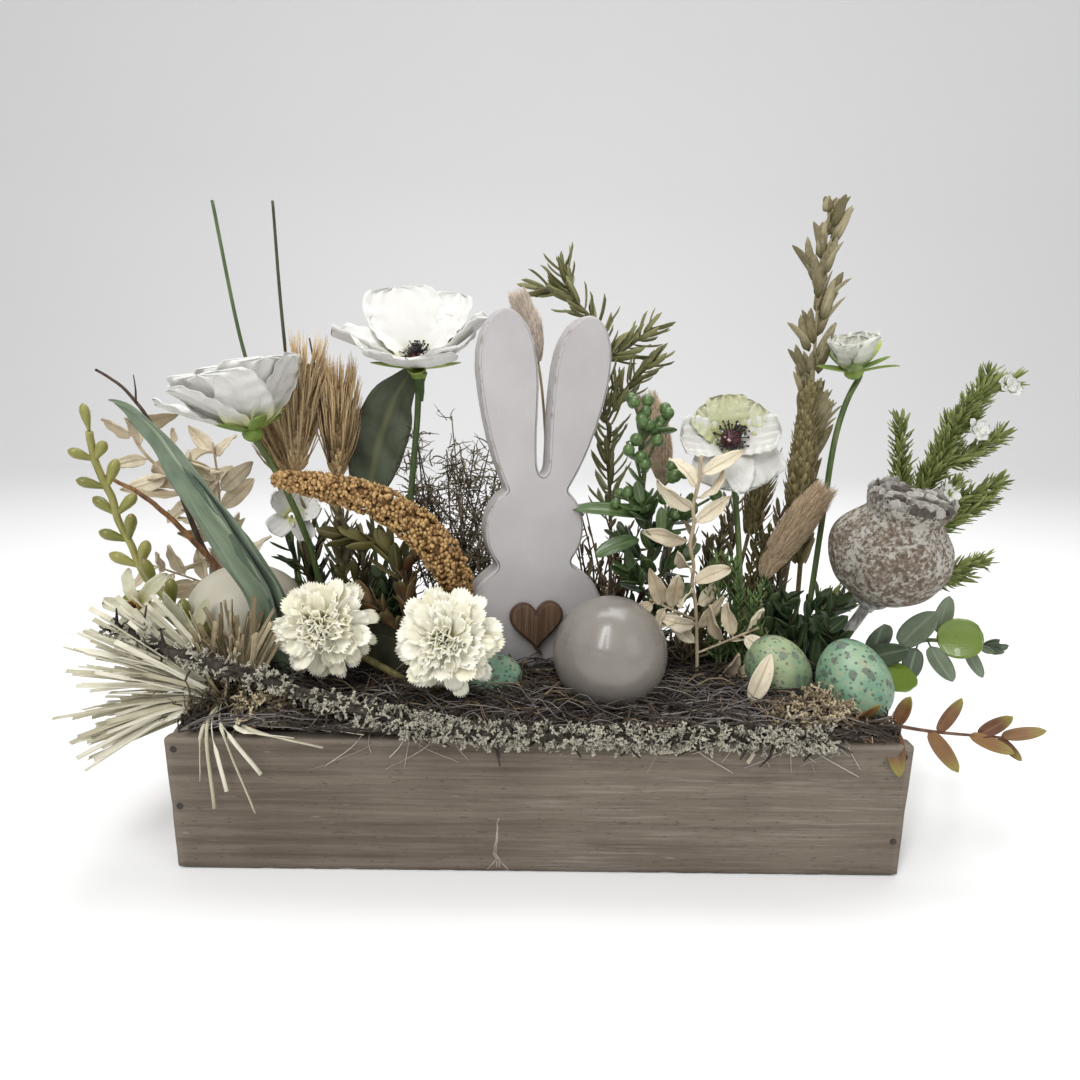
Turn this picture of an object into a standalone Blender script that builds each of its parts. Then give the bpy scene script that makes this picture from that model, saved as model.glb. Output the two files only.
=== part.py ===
"""Spring table centrepiece: a weathered plank planter packed with foam and moss.

It holds silk flowers, dried grasses and leaves, four eggs, a glossy ball and a painted rabbit
cut-out. Units are metres, +Z is up and the origin is the centre of the planter's underside.
"""
import math

import bmesh
import bpy
from mathutils import Matrix, Vector

MM = 0.001

# Planter
BOX_LENGTH = 400 * MM
BOX_DEPTH = 150 * MM
BOX_HEIGHT = 80 * MM
BOARD = 9 * MM
BOARD_EDGE = 1.0 * MM
GAP = 0.3 * MM
NAIL_RADIUS = 1.0 * MM
NAIL_HEAD_RADIUS = 1.9 * MM
NAIL_HEAD_HEIGHT = 0.6 * MM
NAIL_LENGTH = 26 * MM

# Filling
FOAM_TOP = 72 * MM
FOAM_INSET = 9 * MM
MOSS_EDGE_TOP = 82 * MM
MOSS_CROWN = 7 * MM
MOUND_HEIGHT = 12 * MM
MOUND_X = -170 * MM
MOUND_SPREAD = 50 * MM

# Every stem stands upright between these two heights.
PIN_BOTTOM = 42 * MM
PIN_TOP = 100 * MM

# Rabbit cut-out
RABBIT_THICKNESS = 15 * MM
RABBIT_TURN = math.radians(16)
RABBIT_PLACE = Vector((-5 * MM, 8 * MM, 0))
RABBIT_BASE = FOAM_TOP + GAP
PICK_RADIUS = 2.5 * MM
PICK_TOP = 92 * MM
HEART_WIDTH = 34 * MM
HEART_THICKNESS = 5 * MM
HEART_CENTRE_HEIGHT = 121 * MM

BALL_RADIUS = 33 * MM
STEM_SIDES = 6
EAR_SIDES = 8

SOCKETS = []
SEATS = []


# Helpers ------------------------------------------------------------------------------------

def clear_scene():
    for obj in list(bpy.data.objects):
        bpy.data.objects.remove(obj, do_unlink=True)


def place(x, y, z):
    """A point given in millimetres."""
    return Vector((x, y, z)) * MM


def new_material(name, colour, roughness, metallic=0.0):
    material = bpy.data.materials.new(name)
    material.use_nodes = True
    shader = material.node_tree.nodes["Principled BSDF"]
    shader.inputs["Base Color"].default_value = (*colour, 1.0)
    shader.inputs["Roughness"].default_value = roughness
    shader.inputs["Metallic"].default_value = metallic
    return material


def add_part(name, mesh, colour, roughness=0.7, metallic=0.0, smooth=True):
    """One named sub-part with its own material."""
    mesh.name = name
    obj = bpy.data.objects.new(name, mesh)
    bpy.context.scene.collection.objects.link(obj)
    mesh.materials.clear()
    mesh.materials.append(new_material(name, colour, roughness, metallic))
    if smooth:
        mesh.shade_smooth()
        mesh.set_sharp_from_angle(angle=math.radians(40))
    return obj


def finish_mesh(bm, name="shape"):
    bmesh.ops.remove_doubles(bm, verts=bm.verts, dist=0.001 * MM)
    bmesh.ops.recalc_face_normals(bm, faces=bm.faces)
    mesh = bpy.data.meshes.new(name)
    bm.to_mesh(mesh)
    bm.free()
    return mesh


def evaluated_mesh(obj):
    """The object's mesh with its modifiers or its curve bevel applied; the object is removed."""
    bpy.context.view_layer.update()
    depsgraph = bpy.context.evaluated_depsgraph_get()
    mesh = bpy.data.meshes.new_from_object(obj.evaluated_get(depsgraph))
    bpy.data.objects.remove(obj, do_unlink=True)
    return mesh


def combined(mesh, other, operation):
    """Boolean of two meshes: UNION or DIFFERENCE."""
    base = bpy.data.objects.new("base", mesh)
    tool = bpy.data.objects.new("tool", other)
    for obj in (base, tool):
        bpy.context.scene.collection.objects.link(obj)
    tool.hide_render = True
    tool.display_type = "WIRE"
    modifier = base.modifiers.new("combine", "BOOLEAN")
    modifier.operation = operation
    modifier.object = tool
    result = evaluated_mesh(base)
    bpy.data.objects.remove(tool, do_unlink=True)
    bm = bmesh.new()
    bm.from_mesh(result)
    return finish_mesh(bm)


def joined(meshes):
    """Several meshes that stay clear of each other, as one mesh."""
    bm = bmesh.new()
    for mesh in meshes:
        bm.from_mesh(mesh)
    return finish_mesh(bm)


def moved(mesh, matrix):
    mesh.transform(matrix)
    return mesh


def facing(centre, axis):
    """Matrix that puts a shape's +Z along axis and its origin at centre."""
    turn = Vector(axis).normalized().to_track_quat("Z", "Y").to_matrix().to_4x4()
    return Matrix.Translation(centre) @ turn


def block(low, high, edge=0.0):
    """Box between two corners, its edges chamfered by edge."""
    bm = bmesh.new()
    bmesh.ops.create_cube(bm, size=1.0)
    size = high - low
    bmesh.ops.scale(bm, vec=size, verts=bm.verts)
    bmesh.ops.translate(bm, vec=(low + high) / 2, verts=bm.verts)
    if edge:
        bmesh.ops.bevel(bm, geom=bm.edges[:], offset=edge, segments=1, affect="EDGES")
    return finish_mesh(bm)


def cylinder(radius, bottom, top, sides=12):
    """Upright cylinder on the Z axis between two heights."""
    bm = bmesh.new()
    bmesh.ops.create_cone(bm, cap_ends=True, segments=sides, radius1=radius, radius2=radius,
                          depth=top - bottom)
    bmesh.ops.translate(bm, vec=(0, 0, (top + bottom) / 2), verts=bm.verts)
    return finish_mesh(bm)


def turned(profile, sides, lobes=0, lobe_depth=0.0, closed=False):
    """Profile of (radius, height) spun about Z; lobes give its rim a scalloped outline."""
    rim = max(radius for radius, _ in profile)
    bm = bmesh.new()
    rings = []
    for radius, height in profile:
        ring = []
        for side in range(sides):
            angle = 2 * math.pi * side / sides
            swell = 1 + lobe_depth * math.cos(lobes * angle) * radius / rim
            ring.append(bm.verts.new((radius * swell * math.cos(angle),
                                      radius * swell * math.sin(angle), height)))
            if radius == 0:
                break
        rings.append(ring)
    if closed:
        rings.append(rings[0])
    for lower, upper in zip(rings, rings[1:]):
        for side in range(sides):
            after = (side + 1) % sides
            corners = [lower[side % len(lower)], lower[after % len(lower)],
                       upper[after % len(upper)], upper[side % len(upper)]]
            bm.faces.new(list(dict.fromkeys(corners)))
    return finish_mesh(bm)


def smooth_route(points, per_span):
    """Catmull-Rom points through the given ones."""
    ends = [points[0] * 2 - points[1], *points, points[-1] * 2 - points[-2]]
    route = []
    for a, b, c, d in zip(ends, ends[1:], ends[2:], ends[3:]):
        for step in range(per_span):
            t = step / per_span
            route.append(0.5 * (2 * b + (c - a) * t + (2 * a - 5 * b + 4 * c - d) * t ** 2
                                + (3 * b - a - 3 * c + d) * t ** 3))
    route.append(points[-1])
    return route


def planted(foot, points, radius, per_span=2, pin_top=PIN_TOP):
    """Route that rises from the foam at foot through points; its socket is remembered."""
    SOCKETS.append((foot[0] * MM, foot[1] * MM, radius))
    entry = place(foot[0], foot[1], 0) + Vector((0, 0, pin_top))
    upper = smooth_route([entry] + [place(*p) for p in points], per_span)
    return [place(foot[0], foot[1], 0) + Vector((0, 0, PIN_BOTTOM))] + upper


def bar(route, radii, sides=STEM_SIDES):
    """Round bar along a route, closed at both ends, with a radius at each point."""
    curve = bpy.data.curves.new("bar", "CURVE")
    curve.dimensions = "3D"
    curve.bevel_depth = 1.0
    curve.bevel_resolution = sides // 2 - 2
    curve.use_fill_caps = True
    curve.resolution_u = 1
    curve.render_resolution_u = 0
    spline = curve.splines.new("POLY")
    spline.points.add(len(route) - 1)
    for knot, here, radius in zip(spline.points, route, radii):
        knot.co = (*here, 1.0)
        knot.radius = radius
    obj = bpy.data.objects.new("bar", curve)
    bpy.context.scene.collection.objects.link(obj)
    bm = bmesh.new()
    bm.from_mesh(evaluated_mesh(obj))
    bpy.data.curves.remove(curve)
    return finish_mesh(bm)


def stem(route, radius, sides=STEM_SIDES):
    return bar(route, [radius] * len(route), sides)


def from_tip(route):
    """Distance of each point from the route's last one, along the route."""
    distances = [0.0]
    for a, b in zip(reversed(route[1:]), reversed(route[:-1])):
        distances.append(distances[-1] + (a - b).length)
    return distances[::-1]


def ear(foot, points, length, fat, thin=1.2 * MM, sides=EAR_SIDES, per_span=3):
    """Stem that swells into a seed head over its last stretch."""
    route = planted(foot, points, thin, per_span)
    radii = []
    for distance in from_tip(route):
        share = min(distance / length, 1.0)
        radii.append(thin * 0.5 + thin * 0.5 * share
                     + (fat - thin) * math.sin(math.pi * share) ** 0.6 if share < 1 else thin)
    return bar(route, radii, sides)


def ribbon(route, half_widths, thickness, normal):
    """Flat strip along a route, its broad side facing normal."""
    bm = bmesh.new()
    rings = []
    for index, here in enumerate(route):
        along = route[min(index + 1, len(route) - 1)] - route[max(index - 1, 0)]
        across = along.cross(Vector(normal)).normalized()
        out = across.cross(along).normalized() * thickness / 2
        across = across * half_widths[index]
        rings.append([bm.verts.new(here + corner) for corner in
                      (-across - out, across - out, across + out, out - across)])
    for lower, upper in zip(rings, rings[1:]):
        for side in range(4):
            after = (side + 1) % 4
            bm.faces.new((lower[side], lower[after], upper[after], upper[side]))
    bm.faces.new(rings[0][::-1])
    bm.faces.new(rings[-1])
    return finish_mesh(bm)


def leaf(base, direction, length, width, normal, root=0.5 * MM, thickness=0.8 * MM):
    """Pointed leaf that starts at base."""
    direction = Vector(direction).normalized() * length
    route = [base, base + direction * 0.45, base + direction]
    return ribbon(route, [root, width * 0.5, 0.3 * MM], thickness, normal)


def leaf_rows(route, start, count, length, width, lean, normal=(0, -1, 0), taper=0.3):
    """Leaves left and right in turn along a stem, from share start of it to near its tip."""
    leaves = []
    total = from_tip(route)[0]
    for index in range(count):
        share = start + (0.97 - start) * index / max(count - 1, 1)
        here, along = point_at(route, share * total)
        side = along.cross(Vector(normal)).normalized() * (1 if index % 2 else -1)
        heading = along * math.cos(lean) + side * math.sin(lean)
        size = 1 - taper * index / count
        leaves.append(leaf(here, heading, length * size, width * size, normal))
    return leaves


def point_at(route, distance):
    """Point and direction at a distance along a route."""
    for a, b in zip(route, route[1:]):
        span = (b - a).length
        if distance <= span:
            return a.lerp(b, distance / span), (b - a).normalized()
        distance -= span
    return route[-1], (route[-1] - route[-2]).normalized()


def spray(main, radius, leaves, branches=()):
    """Leafy stem as one body: a main stem, side branches that start on it, and leaves."""
    mesh = stem(main, radius)
    if branches:
        mesh = combined(mesh, joined([stem(route, radius * 0.8) for route in branches]), "UNION")
    return combined(mesh, joined(leaves), "UNION")


# Planter ------------------------------------------------------------------------------------

def nail_places():
    """Nail name, x, height: two nails at each end of the front board."""
    column = (BOX_LENGTH - BOARD) / 2
    return (("nail_front_left_upper", -column, 73 * MM),
            ("nail_front_left_lower", -column, 39 * MM),
            ("nail_front_right_upper", column, 73 * MM),
            ("nail_front_right_lower", column, 22 * MM))


def nail_mesh(x, height, clearance=0.0):
    """Nail driven along +Y; with clearance it is the hole that the nail needs."""
    front = BOX_DEPTH / 2 + 0.2 * MM
    shank = NAIL_RADIUS + clearance
    head = NAIL_HEAD_RADIUS + clearance
    head_end = NAIL_HEAD_HEIGHT + clearance
    length = NAIL_LENGTH + clearance
    start = -5 * MM if clearance else 0.0
    mesh = turned([(0, start), (head, start), (head, head_end), (shank, head_end),
                   (shank, length), (0, length)], 8)
    return moved(mesh, facing(Vector((x, -front, height)), (0, 1, 0)))


def build_planter():
    half_length = BOX_LENGTH / 2
    half_depth = BOX_DEPTH / 2
    holes = [nail_mesh(x, height, GAP) for _, x, height in nail_places()]
    wood = (0.23, 0.18, 0.14)

    front = block(Vector((-half_length, -half_depth, 0)),
                  Vector((half_length, BOARD - half_depth, BOX_HEIGHT)), BOARD_EDGE)
    front = combined(front, joined(holes), "DIFFERENCE")
    add_part("front_board", front, wood, 0.8, smooth=False)

    back = block(Vector((-half_length, half_depth - BOARD, 0)),
                 Vector((half_length, half_depth, BOX_HEIGHT)), BOARD_EDGE)
    add_part("back_board", back, wood, 0.8, smooth=False)

    reach = half_depth - BOARD - GAP
    for name, side in (("left_end_board", -1), ("right_end_board", 1)):
        outer, inner = sorted((side * half_length, side * (half_length - BOARD)))
        end = block(Vector((outer, -reach, 0)), Vector((inner, reach, BOX_HEIGHT)), BOARD_EDGE)
        own_holes = [nail_mesh(x, height, GAP) for _, x, height in nail_places() if x * side > 0]
        end = combined(end, joined(own_holes), "DIFFERENCE")
        add_part(name, end, wood, 0.8, smooth=False)

    floor_x = half_length - BOARD - GAP
    base = block(Vector((-floor_x, -reach, 0)), Vector((floor_x, reach, BOARD - MM)))
    add_part("base_board", base, wood, 0.85, smooth=False)

    for name, x, height in nail_places():
        add_part(name, nail_mesh(x, height), (0.12, 0.10, 0.09), 0.5, 0.9)


def socket_cutters(bottom, top):
    """Round holes with clearance for every planted stem."""
    sides = 6
    cutters = []
    for x, y, radius in SOCKETS:
        mesh = cylinder((radius + GAP) / math.cos(math.pi / sides), bottom, top, sides)
        cutters.append(moved(mesh, Matrix.Translation((x, y, 0))))
    return joined(cutters)


def build_foam():
    half_x = BOX_LENGTH / 2 - BOARD - FOAM_INSET
    half_y = BOX_DEPTH / 2 - BOARD - FOAM_INSET
    foam = block(Vector((-half_x, -half_y, BOARD - MM + GAP)), Vector((half_x, half_y, FOAM_TOP)))
    foam = combined(foam, socket_cutters(PIN_BOTTOM - GAP, BOX_HEIGHT), "DIFFERENCE")
    add_part("floral_foam", foam, (0.16, 0.22, 0.12), 0.95, smooth=False)


def moss_height(x, y):
    """Top of the moss: low at the walls, crowned, slightly uneven, with a mound at the left."""
    fall_x = 1 - (abs(x) / (BOX_LENGTH / 2)) ** 10
    fall_y = 1 - (abs(y) / (BOX_DEPTH / 2)) ** 3
    ripple = math.sin(x / (17 * MM)) * math.cos(y / (13 * MM)) * 1.2 * MM
    mound = MOUND_HEIGHT * math.exp(-((x - MOUND_X) / MOUND_SPREAD) ** 2)
    return MOSS_EDGE_TOP + (MOSS_CROWN + ripple + mound) * fall_x * fall_y


def build_moss():
    half_x = BOX_LENGTH / 2 - BOARD - GAP
    half_y = BOX_DEPTH / 2 - BOARD - GAP
    columns, rows = 16, 6
    bm = bmesh.new()
    bmesh.ops.create_grid(bm, x_segments=columns, y_segments=rows, size=1.0)
    for vert in bm.verts:
        vert.co.x *= half_x
        vert.co.y *= half_y
        vert.co.z = moss_height(vert.co.x, vert.co.y)
    rim = [edge for edge in bm.edges if edge.is_boundary]
    skirt = bmesh.ops.extrude_edge_only(bm, edges=rim)["geom"]
    for vert in (item for item in skirt if isinstance(item, bmesh.types.BMVert)):
        vert.co.z = FOAM_TOP + GAP
    bmesh.ops.holes_fill(bm, edges=[edge for edge in bm.edges if edge.is_boundary])
    moss = finish_mesh(bm)
    moss = combined(moss, socket_cutters(PIN_BOTTOM, PIN_TOP + 20 * MM), "DIFFERENCE")
    moss = combined(moss, joined(SEATS), "DIFFERENCE")
    add_part("moss_bed", moss, (0.13, 0.09, 0.06), 0.95)


# Rabbit, ball and eggs ------------------------------------------------------------------------

def arc(centre, radii, start, end, steps, power=2.0):
    """Points on an ellipse (or a squarer curve, with power over 2) from start to end degrees."""
    points = []
    for index in range(steps + 1):
        angle = math.radians(start + (end - start) * index / steps)
        c, s = math.cos(angle), math.sin(angle)
        points.append((centre[0] + radii[0] * math.copysign(abs(c) ** (2 / power), c),
                       centre[1] + radii[1] * math.copysign(abs(s) ** (2 / power), s)))
    return points


def rabbit_outline():
    """Front view of the rabbit in millimetres: half-body, head, two ears with a slot between."""
    body = ((0, 112), (46, 48))
    head = ((0, 179), (31, 31))
    base = RABBIT_BASE / MM
    left_body = [p for p in arc(*body, 232, 118, 16, 2.4) if p[1] > base + 1]
    right_body = [p for p in arc(*body, 62, -52, 16, 2.4) if p[1] > base + 1]
    ears = [(-17, 203), (-24, 221), (-30, 245), (-34, 274), (-32, 292), (-26, 303), (-18, 308),
            (-8, 302), (-1, 288), (1.5, 266), (0.5, 238), (1, 217), (4.5, 211.5), (8, 217),
            (9, 245), (12, 276), (17, 292), (25, 302), (33, 305), (41, 300), (46, 287),
            (45, 266), (38, 240), (29, 218), (20, 202)]
    ear_curve = [(p.x, p.y) for p in smooth_route([Vector((x, z, 0)) for x, z in ears], 2)]
    return ([(-26, base)] + left_body + arc(*head, 222, 132, 8) + ear_curve
            + arc(*head, 46, -42, 8) + right_body + [(26, base)])


def plate(outline, thickness):
    """Outline in the XZ plane given thickness along Y, about y = 0."""
    bm = bmesh.new()
    face = bm.faces.new([bm.verts.new((x * MM, -thickness / 2, z * MM)) for x, z in outline])
    pushed = bmesh.ops.extrude_face_region(bm, geom=[face])["geom"]
    back = [item for item in pushed if isinstance(item, bmesh.types.BMVert)]
    bmesh.ops.translate(bm, vec=(0, thickness, 0), verts=back)
    return finish_mesh(bm)


def rabbit_matrix():
    return Matrix.Translation(RABBIT_PLACE) @ Matrix.Rotation(RABBIT_TURN, 4, "Z")


def build_rabbit():
    rabbit = plate(rabbit_outline(), RABBIT_THICKNESS)
    bore = cylinder(PICK_RADIUS + GAP, RABBIT_BASE - 5 * MM, PICK_TOP + GAP)
    rabbit = combined(rabbit, bore, "DIFFERENCE")
    add_part("bunny_cutout", moved(rabbit, rabbit_matrix()), (0.80, 0.78, 0.76), 0.5)

    pick = cylinder(PICK_RADIUS, PIN_BOTTOM, PICK_TOP, 10)
    add_part("bunny_pick", moved(pick, rabbit_matrix()), (0.55, 0.40, 0.25), 0.7)
    SOCKETS.append((RABBIT_PLACE.x, RABBIT_PLACE.y, PICK_RADIUS))

    slot = block(Vector((-48 * MM, -RABBIT_THICKNESS / 2 - GAP, FOAM_TOP - MM)),
                 Vector((48 * MM, RABBIT_THICKNESS / 2 + GAP, BOX_HEIGHT + 40 * MM)))
    SEATS.append(moved(slot, rabbit_matrix()))

    outline = []
    for index in range(30):
        t = 2 * math.pi * index / 30
        x = 16 * math.sin(t) ** 3
        z = 13 * math.cos(t) - 5 * math.cos(2 * t) - 2 * math.cos(3 * t) - math.cos(4 * t)
        scale = HEART_WIDTH / MM / 32
        outline.append((x * scale, z * scale * 1.06 + HEART_CENTRE_HEIGHT / MM))
    heart = plate(outline, HEART_THICKNESS)
    forward = (RABBIT_THICKNESS + HEART_THICKNESS) / 2 + GAP
    heart = moved(heart, rabbit_matrix() @ Matrix.Translation((0, -forward, 0)))
    add_part("bunny_heart", heart, (0.20, 0.12, 0.08), 0.6)


def egg_mesh(radius, half_length, sides, rings, grow=0.0):
    """Egg along Z, blunter at the lower end."""
    bm = bmesh.new()
    bmesh.ops.create_uvsphere(bm, u_segments=sides, v_segments=rings, radius=1.0)
    for vert in bm.verts:
        narrowing = 1 - 0.12 * vert.co.z
        vert.co.x *= (radius + grow) * narrowing
        vert.co.y *= (radius + grow) * narrowing
        vert.co.z *= half_length + grow
    return finish_mesh(bm)


def add_egg(name, centre, radius, half_length, axis, colour):
    """Egg that rests in its own hollow in the moss."""
    matrix = facing(place(*centre), axis)
    add_part(name, moved(egg_mesh(radius * MM, half_length * MM, 12, 8), matrix), colour, 0.45)
    SEATS.append(moved(egg_mesh(radius * MM, half_length * MM, 12, 8, GAP * 1.2), matrix))


def build_ball_and_eggs():
    centre = place(41, -33, 114)
    ball = moved(egg_free_sphere(BALL_RADIUS), Matrix.Translation(centre))
    add_part("glossy_ball", ball, (0.42, 0.39, 0.36), 0.15)
    SEATS.append(moved(egg_free_sphere(BALL_RADIUS + GAP * 1.2), Matrix.Translation(centre)))
    shell = (0.86, 0.82, 0.72)
    speckled = (0.28, 0.50, 0.42)
    add_egg("white_egg", (-187, 9, 124), 31, 35, (0.9, 0.2, 0.35), shell)
    add_egg("speckled_egg_middle", (-30, -30, 94), 17, 21, (0.9, -0.1, 0.45), speckled)
    add_egg("speckled_egg_right_inner", (141, -24, 100), 19.5, 23, (-0.45, -0.2, 0.85), speckled)
    add_egg("speckled_egg_right_outer", (178, -43, 102), 20.5, 25, (-0.3, 0.1, 0.9), speckled)


def egg_free_sphere(radius):
    bm = bmesh.new()
    bmesh.ops.create_uvsphere(bm, u_segments=20, v_segments=10, radius=radius)
    return finish_mesh(bm)


# Flowers ------------------------------------------------------------------------------------

def flower_stem(foot, points, head, axis, radius, calyx, peg=0.0):
    """Stem with a calyx disc just behind a flower's back; a peg carries a centre above it."""
    axis = Vector(axis).normalized()
    head = place(*head)
    route = planted(foot, points, radius)
    route += [head - axis * 9 * MM, head - axis * 3 * MM, head - axis * GAP]
    radii = [radius] * (len(route) - 2) + [calyx * 0.8, calyx]
    if peg:
        route += [head - axis * (GAP - 0.02 * MM), head + axis * peg]
        radii += [1.2 * MM, 1.2 * MM]
    return bar(route, radii, 8)


def dish_profile(rim, rise, flat, wall, hole=0.0):
    """Cross-section of a flower's petals: flat back, rising to the rim."""
    back = [(flat, 0), (rim * 0.65, rise * 0.45), (rim, rise)]
    front = [(rim - wall * 0.6, rise + wall * 0.6), (rim * 0.6, rise * 0.45 + wall), (flat, wall)]
    return [(hole, 0)] + back + front + [(hole, wall)]


def centre_mesh(radius, height):
    """Flower centre with a socket for the stem's peg."""
    bore, depth = 1.6 * MM, 3 * MM
    return turned([(0, depth), (bore, depth), (bore, 0), (radius, 0), (radius * 0.8, height),
                   (0, height * 1.15)], 12)


def add_flower(name, head, axis, profile, sides, lobes, lobe_depth, colour, holed=False):
    mesh = turned(profile, sides, lobes, lobe_depth, closed=holed)
    return add_part(name, moved(mesh, facing(place(*head), axis)), colour, 0.6)


def build_poppies():
    green, white = (0.10, 0.22, 0.06), (0.85, 0.85, 0.83)
    thread, wall = 1.8 * MM, 2.5 * MM
    left_axis = (-0.18, -0.1, 1)
    left = flower_stem((-138, 24), [(-147, 21, 160), (-161, 16, 205), (-172, 12, 228)],
                       (-177, 10, 246), left_axis, thread, 9 * MM)
    add_part("left_poppy_stem", left, green)
    add_flower("left_poppy_petals", (-177, 10, 246), left_axis,
               dish_profile(40 * MM, 26 * MM, 11 * MM, wall), 20, 5, 0.08, white)

    middle_axis = (0, -0.25, 1)
    head = (-78, 37, 276)
    middle = flower_stem((-88, 20), [(-87, 24, 160), (-83, 29, 200), (-79, 34, 242)],
                         head, middle_axis, thread, 9 * MM, peg=5 * MM)
    add_part("middle_poppy_stem", middle, green)
    add_flower("middle_poppy_petals", head, middle_axis,
               dish_profile(42 * MM, 27 * MM, 11 * MM, wall, 2 * MM), 20, 5, 0.08, white, True)
    centre = place(*head) + Vector(middle_axis).normalized() * (wall + GAP)
    add_part("middle_poppy_centre", moved(centre_mesh(8 * MM, 5 * MM), facing(centre, middle_axis)),
             (0.20, 0.02, 0.03))


def build_anemone():
    axis = (-0.12, -1, 0.45)
    head = (113, 10, 233)
    mesh = flower_stem((126, 2), [(125, 8, 150), (121, 15, 195), (117, 20, 222)], head, axis,
                       1.5 * MM, 6 * MM, peg=5 * MM)
    add_part("anemone_stem", mesh, (0.12, 0.25, 0.07))
    add_flower("anemone_petals", head, axis, dish_profile(30 * MM, 9 * MM, 10 * MM, 2.5 * MM, 2 * MM),
               20, 5, 0.1, (0.85, 0.86, 0.78), True)
    centre = place(*head) + Vector(axis).normalized() * (2.5 * MM + GAP)
    add_part("anemone_centre", moved(centre_mesh(9 * MM, 5 * MM), facing(centre, axis)),
             (0.06, 0.01, 0.02))


def build_bud():
    route = planted((176, 26), [(183, 33, 180), (189, 40, 235), (199, 45, 268), (205, 46, 301)],
                    1.2 * MM, 3)
    radii = []
    for distance in from_tip(route):
        share = distance / (34 * MM)
        radii.append(1.2 * MM if share >= 1 else 6 * MM + 9 * MM * math.sin(math.pi * share) ** 0.7
                     if share < 0.75 else 6 * MM)
    add_part("poppy_bud", bar(route, radii, 8), (0.75, 0.76, 0.66))


def carnation_profile(radius, depth):
    return [(0, 0), (8 * MM, 0), (radius * 0.7, depth * 0.2), (radius, depth * 0.5),
            (radius * 0.8, depth * 0.85), (0, depth)]


def build_carnations():
    olive, cream = (0.20, 0.20, 0.06), (0.86, 0.83, 0.70)
    axis = (0.0, -1, 0.35)
    for name, foot, points, head, radius in (
            ("left_carnation", (-66, -32), [(-74, -35, 103), (-98, -38, 120), (-112, -38, 128)],
             (-119, -45, 132), 25 * MM),
            ("middle_carnation", (-62, -46), [(-60, -45, 108), (-55, -43, 118), (-52, -40, 123)],
             (-51, -50, 127), 27 * MM)):
        add_part(name + "_stem", flower_stem(foot, points, head, axis, 1.5 * MM, 6 * MM), olive)
        add_flower(name + "_head", head, axis, carnation_profile(radius, 24 * MM), 18, 9, 0.06, cream)


def build_narcissus():
    axis = (-0.1, -1, 0.2)
    head = (-228, -28, 137)
    thread = 1.2 * MM
    petals = turned([(0, 0), (6 * MM, 0), (22 * MM, 5 * MM), (21 * MM, 7 * MM), (8 * MM, 4 * MM),
                     (9 * MM, 12 * MM), (0, 10 * MM)], 18, 6, 0.12)
    petals = moved(petals, facing(place(*head), axis))
    inner = place(*head) + Vector(axis).normalized() * 2 * MM
    route = planted((-181, -38), [(-195, -38, 110), (-213, -32, 124), (-225, -21, 134)], thread)
    route.append(inner)
    add_part("narcissus", combined(stem(route, thread), petals, "UNION"), (0.82, 0.80, 0.66))


# Grasses and seed heads -------------------------------------------------------------------------

def build_ears():
    straw, sand = (0.45, 0.32, 0.17), (0.52, 0.42, 0.32)
    add_part("wheat_left_1", ear((-150, 38), [(-158, 36, 160), (-158, 35, 209), (-151, 35, 254),
                                              (-144, 35, 294)], 84 * MM, 8 * MM), straw)
    add_part("wheat_left_2", ear((-134, 45), [(-137, 44, 160), (-134, 43, 210), (-131, 42, 248),
                                              (-129, 42, 282)], 74 * MM, 8 * MM), straw)
    add_part("wheat_right_1", ear((132, 36), [(131, 37, 130), (138, 39, 172), (146, 40, 214)],
                                  60 * MM, 8 * MM), straw)
    add_part("wheat_right_2", ear((163, 44), [(167, 42, 150), (168, 41, 190), (170, 41, 262)],
                                  84 * MM, 8 * MM), straw)
    add_part("oat_panicle", ear((181, 57), [(180, 57, 180), (178, 57, 260), (176, 56, 320),
                                            (178, 55, 377)], 160 * MM, 7 * MM), (0.30, 0.26, 0.12))
    add_part("millet_spike", ear((-57, -6), [(-50, -12, 142), (-52, -22, 160), (-68, -25, 184),
                                             (-91, -25, 199), (-121, -25, 208), (-154, -25, 213)],
                                 138 * MM, 9 * MM, 2 * MM, 10), (0.50, 0.28, 0.09))
    add_part("bunny_tail_back", ear((0, 36), [(4, 36, 160), (2, 37, 240), (-4, 37, 286),
                                              (-15, 37, 318)], 40 * MM, 7 * MM), sand)
    add_part("bunny_tail_centre", ear((92, 50), [(88, 52, 150), (82, 55, 205), (76, 55, 232),
                                                 (68, 55, 260)], 58 * MM, 9 * MM), sand)
    add_part("bunny_tail_right", ear((148, 8), [(141, 14, 132), (144, 18, 150), (160, 18, 178),
                                                (177, 18, 204)], 68 * MM, 10 * MM), sand)


def build_grass_and_twig():
    grass = planted((-164, 57), [(-173, 57, 160), (-184, 56, 235), (-196, 56, 290), (-202, 56, 334),
                                 (-207, 56, 376)], 1.2 * MM)
    add_part("grass_stem_left", stem(grass, 1.2 * MM), (0.09, 0.16, 0.05))
    twig = planted((-177, 45), [(-196, 46, 118), (-228, 46, 150), (-243, 45, 205), (-258, 45, 245),
                                (-275, 45, 266), (-289, 45, 274)], 1.8 * MM)
    distances = from_tip(twig)
    radii = [1.0 * MM + 0.8 * MM * distance / distances[0] for distance in distances]
    add_part("arching_twig", bar(twig, radii), (0.14, 0.08, 0.05))


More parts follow.
